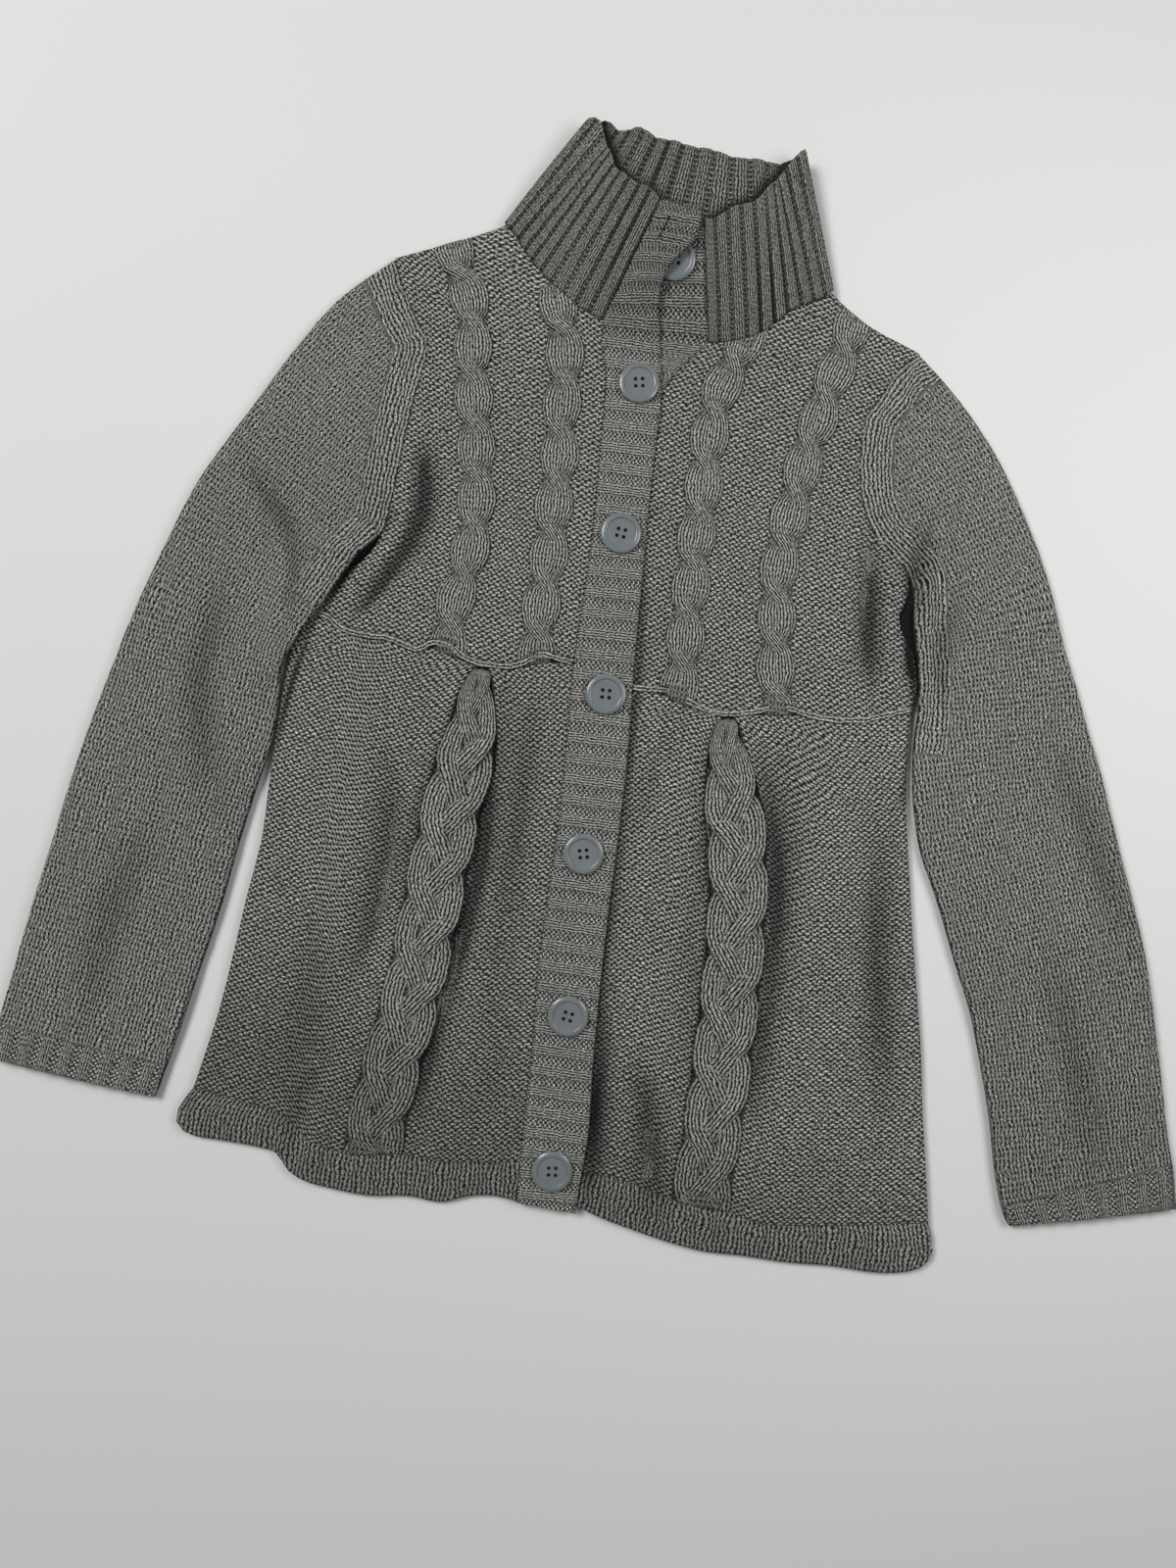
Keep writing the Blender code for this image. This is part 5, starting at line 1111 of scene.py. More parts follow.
def cable_strands(table, ground, y_low, y_high):
    """The two strands of a rope cable, which cross once in each period.

    The strand that goes over always comes from the same side, so each one is over at every
    other crossing. A strand is widened by its slant, sqrt(1 + slope^2).
    """
    path, sideways, along, fade = rope_frame(table, y_low, y_high, True)
    place = (along / CABLE_PERIOD) % 1.0
    odd = np.floor(along / CABLE_PERIOD) % 2
    turn = 2.0 * ease((place - 0.5) / CABLE_CROSSING + 0.5) - 1.0
    bump = np.exp(-((place - 0.5) / (0.42 * CABLE_CROSSING)) ** 2)
    swell = cable_swell(along)
    strands = []
    for number in range(2):
        over = np.where(odd == number, 1.0, -1.0)
        offset = over * turn * CABLE_SHOWN / 4 * swell
        slope = np.gradient(offset, along)
        half = (CABLE_SHOWN / 4 + 0.15) * swell * np.sqrt(1.0 + slope ** 2)
        rope = CABLE_SHOWN / 2 * swell * (1.0 - 0.1 * bump) + 0.1
        lift = CABLE_RISE * np.where(over > 0, 1.0 + 0.3 * bump, 1.0 - 0.7 * bump) * fade
        # Painted shade on the strand that passes under at a crossing.
        strand_shade = np.where(over > 0, 0.0, 0.5 * bump)
        strands.append(strand_ribbon(path, sideways, offset, half, lift, rope,
                                     over * bump, ground, CABLE_WALES, strand_shade, along))
    return [fit_between(one, y_low, y_high, RIDGE_HALF, 0.9) for one in strands]


def plait_strands(table, ground, y_low, y_high):
    """The three strands of a plait; each goes over the middle one as it comes in.

    In six steps a strand goes from the right to the middle over its neighbour, to the left
    under it, waits, and comes back likewise.
    """
    path, sideways, along, fade = rope_frame(table, y_low, y_high, False)
    widen = plait_half_width(along) / (PLAIT_WIDTH / 2)
    third = PLAIT_SHOWN / 3
    strands = []
    for number in range(3):
        step = 6.0 * along / PLAIT_PERIOD + 2.0 * number
        shifts = [np.interp((step + shift) % 6.0, PLAIT_STEPS[0], PLAIT_STEPS[1])
                  for shift in np.linspace(-0.3, 0.3, 7)]
        offset = third * widen * np.mean(shifts, axis=0)
        over = sum(sign * np.exp(-(((step - middle + 3.0) % 6.0 - 3.0) / 0.36) ** 2)
                   for middle, sign in PLAIT_CROSSINGS)
        slope = np.gradient(offset, along)
        half = third / 2 * 1.22 * np.sqrt(1.0 + slope ** 2) * widen
        lift = PLAIT_RISE * (0.9 + 0.4 * over) * (0.5 + 0.5 * widen) * fade
        rope = PLAIT_SHOWN / 2 * widen * 1.12
        # Painted shade: a little on every strand of the plait, more where it passes under another.
        strands.append(strand_ribbon(path, sideways, offset, half, lift, rope, over, ground,
                                     PLAIT_WALES, 0.07 + 0.3 * np.clip(-over, 0.0, 1.0),
                                     along))
    return [fit_between(one, y_low, y_high, 0.2, 0.2) for one in strands]


def fit_between(cloth, y_low, y_high, gap, shade):
    """A patch drawn back to a gap over a seam and to the seam above.

    Points past the lower seam sink into the cloth, so that the end is a clean cut.
    """
    points, faces, marks = cloth
    bottom = y_low(points[:, 0]) + gap
    points[:, 2] -= np.clip(bottom - points[:, 1], 0.0, 3.0)
    # Painted shade along the cut end above the lower seam.
    marks[:, 3] = np.maximum(marks[:, 3], shade * ease(1.0 - (points[:, 1] - bottom) / 1.2))
    points[:, 1] = np.clip(points[:, 1], bottom, y_high(points[:, 0]) - 0.4)
    return points, faces, marks


def waist_ridge(waist, cables):
    """Middle line of the rolled ridge over a waist seam; it rises over the cables' ends."""
    x = waist[:, 0]
    y = waist[:, 1] + RIDGE_FROM_SEAM + 0.5 * uneven(x, 0.0 * x, 22, 45.0)
    for table in cables:
        end = min(table, key=lambda row: row[1])
        y = y + RIDGE_ARCH * np.exp(-((x - end[0]) / 11.0) ** 2)
    return smooth_line(np.column_stack((x, y)), COURSE / STRAND_COURSE_CELLS)


def ridge_strand(path, rise, ground):
    """The rolled ridge as a strand of one wale."""
    even = 1.0 + 0.16 * uneven(path[:, 0], path[:, 1], 21, 17.0)
    return strand_ribbon(path, left_of(path), 0.0 * even, RIDGE_HALF * even, rise * even,
                         RIDGE_HALF * even, 0.0 * even, ground, 1, 0.0 * even,
                         lengths_along(path))


def rim_drop(points, outline):
    """How far the outer face rounds down beside the edge of a panel."""
    closed = with_height(np.concatenate((outline, outline[:1])), 0.0)
    distance, _ = nearest(points, closed)
    return RIM_DROP * (1.0 - ease(distance / 3.0)) ** 1.5


def front_ground(side):
    """Height of a front's outer face without its stitches, as a function of plan points."""
    def ground(points):
        extra = FOLD_EXTRA * fold_height(points, side["folds"]) * side_fade(points, side)
        extra += fold_height(points, side["creases"])
        extra += SMALL_FOLDS * uneven(points[:, 0], points[:, 1], 4, 70.0)
        return front_low(points, side) + WALL + np.maximum(extra, -1.2)
    return ground


def column_set(count, zones):
    """Weights, offsets, wales and counting guides of a panel's columns, left to right.

    A zone runs from one guide line plus an offset to another, in equal cells, from its first
    wale to its last. Without a first wale they are counted from a guide line.
    """
    weights = []
    offsets = []
    wales = []
    guides = []
    for start, start_offset, end, end_offset, cells, first_wale, last_wale in zones:
        share = np.linspace(0.0, 1.0, cells + 1)
        part = np.zeros((cells + 1, count))
        part[:, start] += 1.0 - share
        part[:, end] += share
        first = 1 if weights else 0
        weights.append(part[first:])
        offsets.append((start_offset * (1.0 - share) + end_offset * share)[first:])
        counted = first_wale is None
        span = (0.0, 0.0) if counted else (first_wale, last_wale)
        wales.append(np.linspace(*span, cells + 1)[first:])
        guides.append(np.full(cells + 1 - first, last_wale if counted else -1))
    return (np.concatenate(weights), np.concatenate(offsets), np.concatenate(wales),
            np.concatenate(guides))


def rope_grooves(plan, paths):
    """How far points lie in the grooves that ropes lie in, and in their middles under them."""
    groove = np.zeros(len(plan))
    filled = np.zeros(len(plan))
    for path in paths:
        distance, half = nearest(plan, path)
        groove = np.maximum(groove, ease((half + GROOVE_PAST - distance) / GROOVE_WALL))
        filled = np.maximum(filled, ease((half - FILL_WALL - distance) / FILL_WALL))
    return groove, filled


def pleat_edges(plan, pleat, groove):
    """Height of the rolled lips beside a plait, and the shade of its slit."""
    distance, half = nearest(plan, pleat)
    share = lengths_along(pleat[:, :2])
    _, along = nearest(plan, np.column_stack((pleat[:, :2], share)))
    fade = ease(1.0 - along / PLEAT_LENGTH)
    outside = distance - half
    lip = np.exp(-((outside - PLEAT_LIP) / (0.8 * PLEAT_LIP)) ** 2) * (outside > 0)
    return (PLEAT_DEPTH * fade * (LIP_RISE * lip - GROOVE_PLAIN * groove),
            SLIT_SHADE * fade * np.exp(-((outside - SLIT_PAST) / SLIT_WIDTH) ** 2))


def front_piece(name, rows, columns, lines, bounds, outline, side, grooves, pleat, strands,
                cloth):
    """A front panel: stitches laid out between its sides, with strands laid along it."""
    weights, offsets, wales, guides = columns
    x, y, numbers = panel_grid(rows, weights, offsets, lines, *bounds)
    wale = np.repeat(wales[None, :], len(x), axis=0)
    for number, line in enumerate(lines):
        counted = guides == number
        wale[:, counted] = ((x - line(y)) / PURL_WALE)[:, counted]
    course = rows.course(x, y)
    plan = np.column_stack((x.ravel(), y.ravel()))
    wale = wale.ravel() + STITCH_JITTER * uneven(plan[:, 0], plan[:, 1], 31, STITCH_PATCH)
    course = course.ravel() + STITCH_JITTER * uneven(plan[:, 0], plan[:, 1], 32, ROW_PATCH)
    wale = wale * cloth["way"]
    face = cloth["face"] - cloth["slant"] * ease((wale - cloth["slant_from"]) / SLANT_WALES)
    relief = cloth["relief"] * (stitch_relief(wale, course, face) - MEAN_RELIEF)
    edge = rim_drop(plan, outline)
    groove, filled = rope_grooves(plan, grooves)
    ground = front_ground(side)(plan)
    z = ground + relief * (1.0 - GROOVE_PLAIN * groove) - edge - GROOVE_DEPTH * groove
    z += FILL_RISE * filled
    dips = -fold_height(plan, [row for row in side["creases"] if row[7] < 0.0])
    dips -= 0.6 * np.minimum(fold_height(plan, side["folds"]), 0.0)
    # slit gathers painted shade lines: under pieces that lie over the front, in the pleat's slit
    # and beside the waist ridge.
    slit = fold_height(plan, SHADES)
    if pleat is not None:
        rise, shade = pleat_edges(plan, pleat, groove)
        z += rise
        slit += shade
    if cloth["puff"]:
        closed = with_height(np.concatenate((outline, outline[:1])), 0.0)
        z += cloth["puff"] * ease(nearest(plan, closed)[0] / PUFF_REACH)
    if cloth["ridge"] is not None:
        away, _ = nearest(plan, with_height(cloth["ridge"], 0.0))
        slit += cloth["ridge_shade"] * np.exp(-((away - RIDGE_HALF - 0.6) / 1.2) ** 2)
    # Painted shade: in the rope grooves, on the rim, in the troughs of the creases and folds,
    # along the slit lines, and growing towards the hem.
    painted_shade = GROOVE_PLAIN * groove * (1.0 - GROOVE_PLAIN * filled)
    painted_shade += RIM_SHADE * (edge / RIM_DROP) ** 2
    painted_shade += np.clip(DIP_SHADE * dips, 0.0, 0.8) + slit
    painted_shade = hem_shaded(painted_shade, plan[:, 0], plan[:, 1])
    marks = np.column_stack((wale, course, np.maximum(face, filled), painted_shade))
    body = closed_panel(np.column_stack((plan, z)), numbers,
                        lambda under: front_low(under, side), marks)
    return add_sheet(name, join_patches([body] + strands))


def yoke_outline(seams, side, word):
    """Closed outline of a yoke, and its left and right sides from the waist up."""
    neck = moved(side["neck"], NECK_PLAY)
    if word == "right":
        neck[0] = seams["band_yoke"][-1, :2]
        neck[-1] = seams["shoulder_right"][-1]
        outer = join_lines(seams["armhole_right"], seams["underarm_right"],
                           seams["side_yoke_right"])
        outer = np.concatenate((outer, seams["side_yoke_right"][-1:]))[::-1]
        left = np.concatenate((outer, seams["shoulder_right"][1:]))
        right = np.concatenate((seams["band_yoke"][:, :2], neck[1:]))
    else:
        neck[0] = seams["shoulder_left"][-1]
        neck[-1] = seams["under_yoke"][-1, :2]
        outer = np.concatenate((seams["side_yoke_left"][::-1], seams["armhole_left"][::-1][1:]))
        right = np.concatenate((outer, seams["shoulder_left"][1:]))
        left = np.concatenate((seams["under_yoke"][:, :2], neck[::-1][1:]))
    waist = seams["waist_" + word]
    outline = np.concatenate((waist, right[1:], left[::-1][1:-1]))
    return outline, left, right


def path_with_half(table, half):
    """A rope's middle line with half its width at each point."""
    path = smooth_line(table, 3.0)
    return np.column_stack((path, half(lengths_along(path))))


def make_yoke(word, seams, side, tilt, cables, lines, zones, cloth):
    """One yoke with its two rope cables; tilt gives the x its rows turn about and their slope."""
    outline, left, right = yoke_outline(seams, side, word)
    rows = YokeRows(seams["waist_" + word], *tilt, float(outline[:, 1].max()))
    ridge = waist_ridge(seams["waist_" + word], cables)
    rise = RIDGE_RISES[word]
    cloth = dict(cloth, ridge=ridge, ridge_shade=0.27 * rise)
    guides = [line_x(line) for line in lines]
    low = line_y(ridge)
    neck = right if word == "right" else left
    shoulder = seams["shoulder_" + word]
    neck = neck[neck[:, 1] > min(neck[neck[:, 1] > 238.0, 1])]
    high = line_y(np.concatenate((neck, shoulder)))
    ground = front_ground(side)
    strands = [ridge_strand(ridge[1:-1], rise, ground)]
    for table in cables:
        strands += cable_strands(table, ground, low, high)
    grooves = [path_with_half(table, lambda along: CABLE_SHOWN / 2 * cable_swell(along) - 1.2)
               for table in cables]
    front_piece("yoke_" + word, rows, column_set(len(guides), zones), guides,
                (line_x(left), line_x(right)), outline, side, grooves, None, strands, cloth)


def skirt_outline(seams, word):
    """Closed outline of a skirt panel, and its left and right sides from the hem up."""
    if word == "right":
        left = seams["side_skirt_right"][::-1]
        right = seams["band_skirt"][:, :2]
    else:
        left = seams["under_skirt"][:, :2]
        right = seams["side_skirt_left"][::-1]
    outline = np.concatenate((seams["hem_seam_" + word], right[1:],
                              seams["waist_" + word][::-1][1:], left[::-1][1:-1]))
    return outline, left, right


def make_skirt(word, seams, side, table, zones, cloth):
    """One skirt panel with its plait."""
    outline, left, right = skirt_outline(seams, word)
    upper = seams["waist_" + word]
    lower = seams["hem_seam_" + word]
    length = np.mean(upper[:, 1]) - np.mean(lower[:, 1])
    rows = SkirtRows(lower, upper, int(length / COURSE * COURSE_CELLS) + 1)
    plait = path_with_half(table, lambda along: plait_half_width(along) * PLAIT_SHOWN
                           / PLAIT_WIDTH - 0.5)
    middle = np.column_stack((plait[:, 0], plait[:, 1]))
    lines = [left, middle - np.column_stack((plait[:, 2], 0.0 * plait[:, 2])),
             middle + np.column_stack((plait[:, 2], 0.0 * plait[:, 2])), right]
    guides = [line_x(line) for line in lines]
    strands = plait_strands(table, front_ground(side), line_y(lower), line_y(upper))
    front_piece("skirt_" + word, rows, column_set(4, zones), guides,
                (line_x(left), line_x(right)), outline, side, [plait], plait, strands, cloth)


def make_hem(word, seams, side, zones, cloth):
    """One hem band: smooth side out, rounded like the turned-up edge that it is."""
    edge = seams["hem_edge_" + word]
    if word == "right":
        corner = int(np.argmin(edge[:, 0]))
        left = edge[:corner + 1][::-1]
        right = seams["band_hem"][:, :2]
        lower = edge[corner:]
    else:
        corner = int(np.argmax(edge[:, 0]))
        left = seams["under_hem"][:, :2]
        right = edge[corner:]
        lower = edge[:corner + 1]
    upper = seams["hem_seam_" + word]
    outline = np.concatenate((lower, right[1:], upper[::-1][1:], left[::-1][1:-1]))
    rows = SkirtRows(lower, upper, HEM_ROWS)
    guides = [line_x(left), line_x(right)]
    front_piece("hem_" + word, rows, column_set(2, zones), guides, (guides[0], guides[1]),
                outline, side, [], None, [], cloth)


def flat_piece(name, outline):
    """A plain piece of the back, lying flat on the surface."""
    inner = lattice_inside(outline, 14.0)
    plan = np.concatenate((outline, inner))
    count = len(plan)
    cells = cut_cells(outline, inner)
    edge = np.arange(len(outline))
    ahead = np.roll(edge, -1)
    faces = np.concatenate((cells, cells[:, ::-1] + count,
                            np.stack((edge, edge + count, ahead + count), axis=1),
                            np.stack((edge, ahead + count, ahead), axis=1)))
    points = np.concatenate((np.column_stack((plan, np.full(count, WALL))),
                             np.column_stack((plan, np.zeros(count)))))
    knit = points[:, :2] / (PURL_WALE, COURSE)
    face = np.concatenate((np.ones(count), np.zeros(count)))
    # Painted shade: the top face is painted fully shaded, the underside not at all.
    painted_shade = np.concatenate((np.ones(count), np.zeros(count)))
    add_sheet(name, patch(points, faces, knit, face, painted_shade))


# ---------------------------------------------------------------- sleeves


def sleeve_places(sleeve, share, across):
    """Plan points of a sleeve for rings at shares of its length and places across each.

    Straight lines between the two folds, bent to the armhole near it:
    fold lines + (1 - share / fade)^2 (armhole - straight start).
    """
    rows = np.array(sleeve["rows"], dtype=float)
    knots = (lengths_along(rows[:, :2]) + lengths_along(rows[:, 2:])) / 2
    value = through(rows, knots, share * knots[-1])
    a = across[:, :, None]
    points = value[:, None, :2] * (1.0 - a) + value[:, None, 2:] * a
    start = rows[0, :2] * (1.0 - a) + rows[0, 2:] * a
    armhole = sleeve["armhole"]
    along = lengths_along(armhole) / lengths_along(armhole)[-1]
    bend = np.stack([np.interp(across, along, column) for column in armhole.T], axis=2)
    fade = np.maximum(0.0, 1.0 - share / ARMHOLE_FADE)[:, None, None] ** 2
    return points + fade * (bend - start), value


def sleeve_rings(sleeve, share, top, low, angles, skin):
    """Rings of a sleeve's outer or inner skin, with the place of each point round its ring."""
    ends, _ = sleeve_places(sleeve, share, np.tile((0.0, 1.0), (len(share), 1)))
    width = np.linalg.norm(ends[:, 1] - ends[:, 0], axis=1)[:, None]
    hold = SLEEVE_EDGE / 2 / width
    crown = 1.0 - (2.0 * top - 1.0) ** 2
    height = SLEEVE_EDGE + (SLEEVE_MIDDLE - SLEEVE_EDGE) * crown
    seam_plan, _ = sleeve_places(sleeve, np.zeros(1), top[None, :])
    at_seam = front_low(seam_plan[0], sleeve["side"]) + WALL
    height = at_seam + (height - at_seam) * ease(share / 0.1)[:, None]
    edge = height[:, [-1, 0]] / 2
    radius = np.maximum(edge - skin, SLEEVE_LEAST_HOLLOW / 2)
    reach = np.cos(angles) * (hold - skin / width * 0.4)
    across = np.hstack((hold + (1.0 - 2.0 * hold) * top, 1.0 - hold + reach,
                        hold + (1.0 - 2.0 * hold) * low, hold - reach[:, ::-1]))
    z = np.hstack((height - skin, edge[:, :1] + radius[:, :1] * np.sin(angles),
                   np.full((len(share), len(low)), skin),
                   edge[:, 1:] + radius[:, 1:] * np.sin(angles[::-1])))
    plan, _ = sleeve_places(sleeve, share, across)
    flat = plan.reshape(-1, 2)
    z += sleeve_lift(flat, sleeve["lift"], sleeve["body_side"]).reshape(z.shape)
    bend = np.linspace(0.01, 0.04, len(angles))
    round_at = np.concatenate((TOP_SHARE * top, TOP_SHARE + bend,
                               0.5 + TOP_SHARE * (1.0 - low), 0.5 + TOP_SHARE + bend))
    return np.dstack((plan, z)), round_at


def sleeve_knit(sleeve, plan):
    """Wale and course of points on a sleeve, by its middle line, and by its shaped edge.

    Inside, wales are parallel to the middle line and rows are square to it. Along the
    armhole and the upper inner fold a few wales follow the edge.
    """
    rows = np.array(sleeve["wales_along"], dtype=float)
    middle = smooth_line((rows[:, :2] + rows[:, 2:]) / 2, 9.0)
    length = lengths_along(middle)
    distance, along = nearest(plan, np.column_stack((middle, length)))
    ahead = np.gradient(middle, length, axis=0)
    for _ in range(8):
        foot = np.stack([np.interp(along, length, column) for column in middle.T], axis=1)
        run = np.stack([np.interp(along, length, column) for column in ahead.T], axis=1)
        offset = plan - foot
        along = along + 0.6 * np.sum(offset * run, axis=1)
    signed = run[:, 0] * offset[:, 1] - run[:, 1] * offset[:, 0]
    inside = np.column_stack((signed / SLEEVE_WALE + 60.0, along / COURSE))
    edge = sleeve["edge"]
    distance, edge_along = nearest(plan, np.column_stack((edge, lengths_along(edge))))
    beside = np.column_stack((distance / EDGE_WALE, edge_along / COURSE))
    follows = (distance < EDGE_WALES * EDGE_WALE) & (edge_along < lengths_along(edge)[-1] - 1.0)
    return inside, beside, follows


def sleeve_stitches(sleeve, plan, places, share, length):
    """Wale and course, face and share of cuff of the points on a sleeve's outer skin."""
    inside, beside, follows = sleeve_knit(sleeve, plan)
    knit = np.where(follows[:, None], beside, inside)
    knit += STITCH_JITTER * np.column_stack([
        uneven(plan[:, 0], plan[:, 1], seed, STITCH_PATCH) for seed in (34, 35)])
    cuff = ease((share * length - length + CUFF_HEIGHT) / 7.0)[:, None]
    rib_wale = places[None, :] * CUFF_RIBS / TOP_SHARE * 4.0 + 0.0 * cuff
    ribbed = (cuff > 0.5) & (places[None, :] < 0.46)
    knit[:, 0] = np.where(ribbed.ravel(), rib_wale.ravel(), knit[:, 0])
    face = np.where(follows.reshape(ribbed.shape) | ribbed, 1.7, 1.2 + 0.3 * share[:, None])
    face = np.where(ribbed & (np.abs(rib_wale % 4.0 - 2.0) > 1.0), 0.0, face)
    return knit, face, cuff


def sleeve_hollow(sleeve, length):
    """Points of a sleeve's plain inner skin from the cuff up, and their places round it."""
    share = np.linspace(1.0, 0.0, 24)
    top = np.linspace(0.0, 1.0, 13)
    rings, places = sleeve_rings(sleeve, share, top, top[-2:0:-1], np.zeros(1), WALL)
    flat = rings.reshape(-1, 3)
    folds = fold_height(flat[:, :2], sleeve["folds"]) * np.repeat(
        ease(share * length / FOLDS_FROM), rings.shape[1])
    raised = np.tile((places > 0.02) & (places < 0.44), len(rings))
    flat[:, 2] += raised * np.clip(folds, -1.5, 3.0)
    return rings, places


def make_sleeve(name, sleeve):
    """A flattened tube with an outer skin of fine stitches and a plain inner skin."""
    share = np.linspace(0.0, 1.0, SLEEVE_RINGS)
    top = np.linspace(0.0, 1.0, SLEEVE_CELLS + 1)
    low = np.array(SLEEVE_UNDER)
    angles = np.radians(SLEEVE_BENDS)
    rings, outer_at = sleeve_rings(sleeve, share, top, low, angles, 0.0)
    shape = rings.shape[:2]
    flat_points = rings.reshape(-1, 3)
    length = lengths_along(np.array(sleeve["rows"], dtype=float)[:, 2:])[-1]
    knit, face, cuff = sleeve_stitches(sleeve, flat_points[:, :2], outer_at, share, length)
    relief = stitch_relief(knit[:, 0], knit[:, 1], face.ravel()).reshape(shape) - MEAN_RELIEF
    ribs = CUFF_RIB_RISE * 1.3 * (rib_profile(outer_at * CUFF_RIBS / TOP_SHARE) - 0.5) * cuff
    is_top = (outer_at < 0.49) | (outer_at > 0.955)
    lift = KNIT_RELIEF * relief * (0.3 + 0.7 * (rings[:, :, 2] > 3.0)) + ribs
    folds = fold_height(flat_points[:, :2], sleeve["folds"]).reshape(shape)
    # Painted shade: in the troughs on the top, where the outer skin turns under along the inner
    # fold, and growing towards the cuff.
    underside_shade = 0.95 * ease((outer_at - 0.462) / 0.012) * (outer_at < 0.5)
    dips = np.where(is_top, np.clip(-DIP_SHADE * folds, 0.0, 0.7), 0.0)
    dips = np.maximum(dips, underside_shade)
    dips = 1.0 - (1.0 - dips) * (1.0 - sleeve["cuff_shade"] * ease(1.4 * share - 0.4))[:, None]
    folds += SMALL_FOLDS * uneven(flat_points[:, 0], flat_points[:, 1], 9, 60.0).reshape(shape)
    rings[:, :, 2] += np.where(is_top, lift + np.maximum(folds, -3.0)
                               * ease(share * length / FOLDS_FROM)[:, None], 0.0)
    rings[:, :, 2] -= RIM_DROP * is_top * (1.0 - ease(share * length / 3.0))[:, None]
    outer = patch(flat_points, None, knit, face.ravel(), dips.ravel())
    inner, inner_at = sleeve_hollow(sleeve, length)
    inner_flat = inner.reshape(-1, 3)
    outer_numbers = np.arange(shape[0] * shape[1]).reshape(shape)
    inner_numbers = np.arange(len(inner_flat)).reshape(inner.shape[:2]) + len(flat_points)
    around = [np.column_stack((n, n[:, 0])) for n in (outer_numbers, inner_numbers)]
    outer_at = np.append(outer_at, 1.0)
    inner_at = np.append(inner_at, 1.0)
    faces = np.concatenate((grid_faces(around[0]), grid_faces(around[1]),
                            zip_faces(around[0][-1], outer_at, around[1][0], inner_at),
                            zip_faces(around[0][0], outer_at, around[1][-1], inner_at)))
    points = np.concatenate((flat_points, inner_flat))
    marks = np.concatenate((outer[2], patch(inner_flat, None, inner_flat[:, :2] / COURSE,
                                            0.0)[2]))
    add_sheet(name, (points, faces, marks))


# ---------------------------------------------------------------- collar and bands


def collar_skin(ribs, ups, outer):
    """One face of the collar: its middle surface pushed out by half the wall and the ribs."""
    grid_ribs, grid_ups = np.meshgrid(ribs, ups)
    flat_ribs = grid_ribs.ravel()
    flat_ups = grid_ups.ravel()
    normal = collar_normal(flat_ribs, flat_ups)
    face = collar_face(flat_ribs)
    wale = flat_ribs * COLLAR_WALES
    course = flat_ups * COLLAR_COURSES
    push = WALL / 2 + COLLAR_RIB_RISE * 1.5 * (rib_profile(flat_ribs) - 0.55)
    push += COLLAR_RELIEF * (stitch_relief(wale, course, face) - MEAN_RELIEF)
    push -= 0.5 * RIM_DROP * (1.0 - ease((1.0 - flat_ups) * 30.0))
    if not outer:
        push = np.maximum(push, COLLAR_LEAST)
    sign = 1.0 if outer else -1.0
    points = collar_shape(flat_ribs, flat_ups) + sign * normal * push[:, None]
    points[:, 2] = np.maximum(points[:, 2], LEAST_HEIGHT)
    # Painted shade: in the valleys between the ribs, unevenly, and at the collar's foot; on the
    # inner face also behind the edges of its fronts; and the whole collar a little darker for the
    # shade it casts on itself.
    valley = np.abs(flat_ribs % 1.0 - 0.5)
    valley_shade = 0.62 + 0.3 * uneven(flat_ribs * 11.0, flat_ups * 25.0, 14, 41.0)
    begins, width = COLLAR_VALLEY
    painted_shade = valley_shade * ease((valley - begins) / width) + RIM_SHADE * (1.0 - ease(flat_ups * 25.0))
    if not outer:
        away = nearest(points[:, :2], collar_front_edge())[0]
        painted_shade = np.maximum(painted_shade, 0.9 * np.exp(-(away / COLLAR_SHADE) ** 2))
    painted_shade = 1.0 - COLLAR_LIGHT * (1.0 - painted_shade)
    return points, np.column_stack((wale, course)), face, painted_shade


def collar_front_edge():
    """Plan line behind the upper edge of the collar's fronts; it lies farther back the higher
    they stand."""
    # The inner face gets painted shade along this line.
    parts = [zone(COLLAR_END_GAP, COLLAR_FOLDS[0], 0.2),
             zone(COLLAR_FOLDS[1], COLLAR[-1][0] - COLLAR_END_GAP, 0.2)]
    line = np.concatenate([collar_shape(part, np.ones(len(part))) for part in parts[::-1]])
    line[:, 1] += 0.45 * (line[:, 2] - 6.0)
    return with_height(line, 0.0)


def collar_face(ribs):
    """Drawn out smooth wales in the middle of each rib, and 0 on the purl wales between."""
    return 1.8 * ease((0.34 - np.abs(ribs % 1.0 - 0.5)) / 0.04 + 0.5)


def collar_shape(ribs, ups):
    """The collar's middle surface with a few soft bends along it."""
    points = collar_point(ribs, ups)
    points[:, 2] += COLLAR_WAVE * ups * uneven(ribs * 11.0, ups * 40.0, 12, 60.0)
    points[:, 1] += COLLAR_EDGE_WAVE * ups ** 3 * uneven(ribs * 11.0, 0.0 * ups, 13, 26.0)
    return points


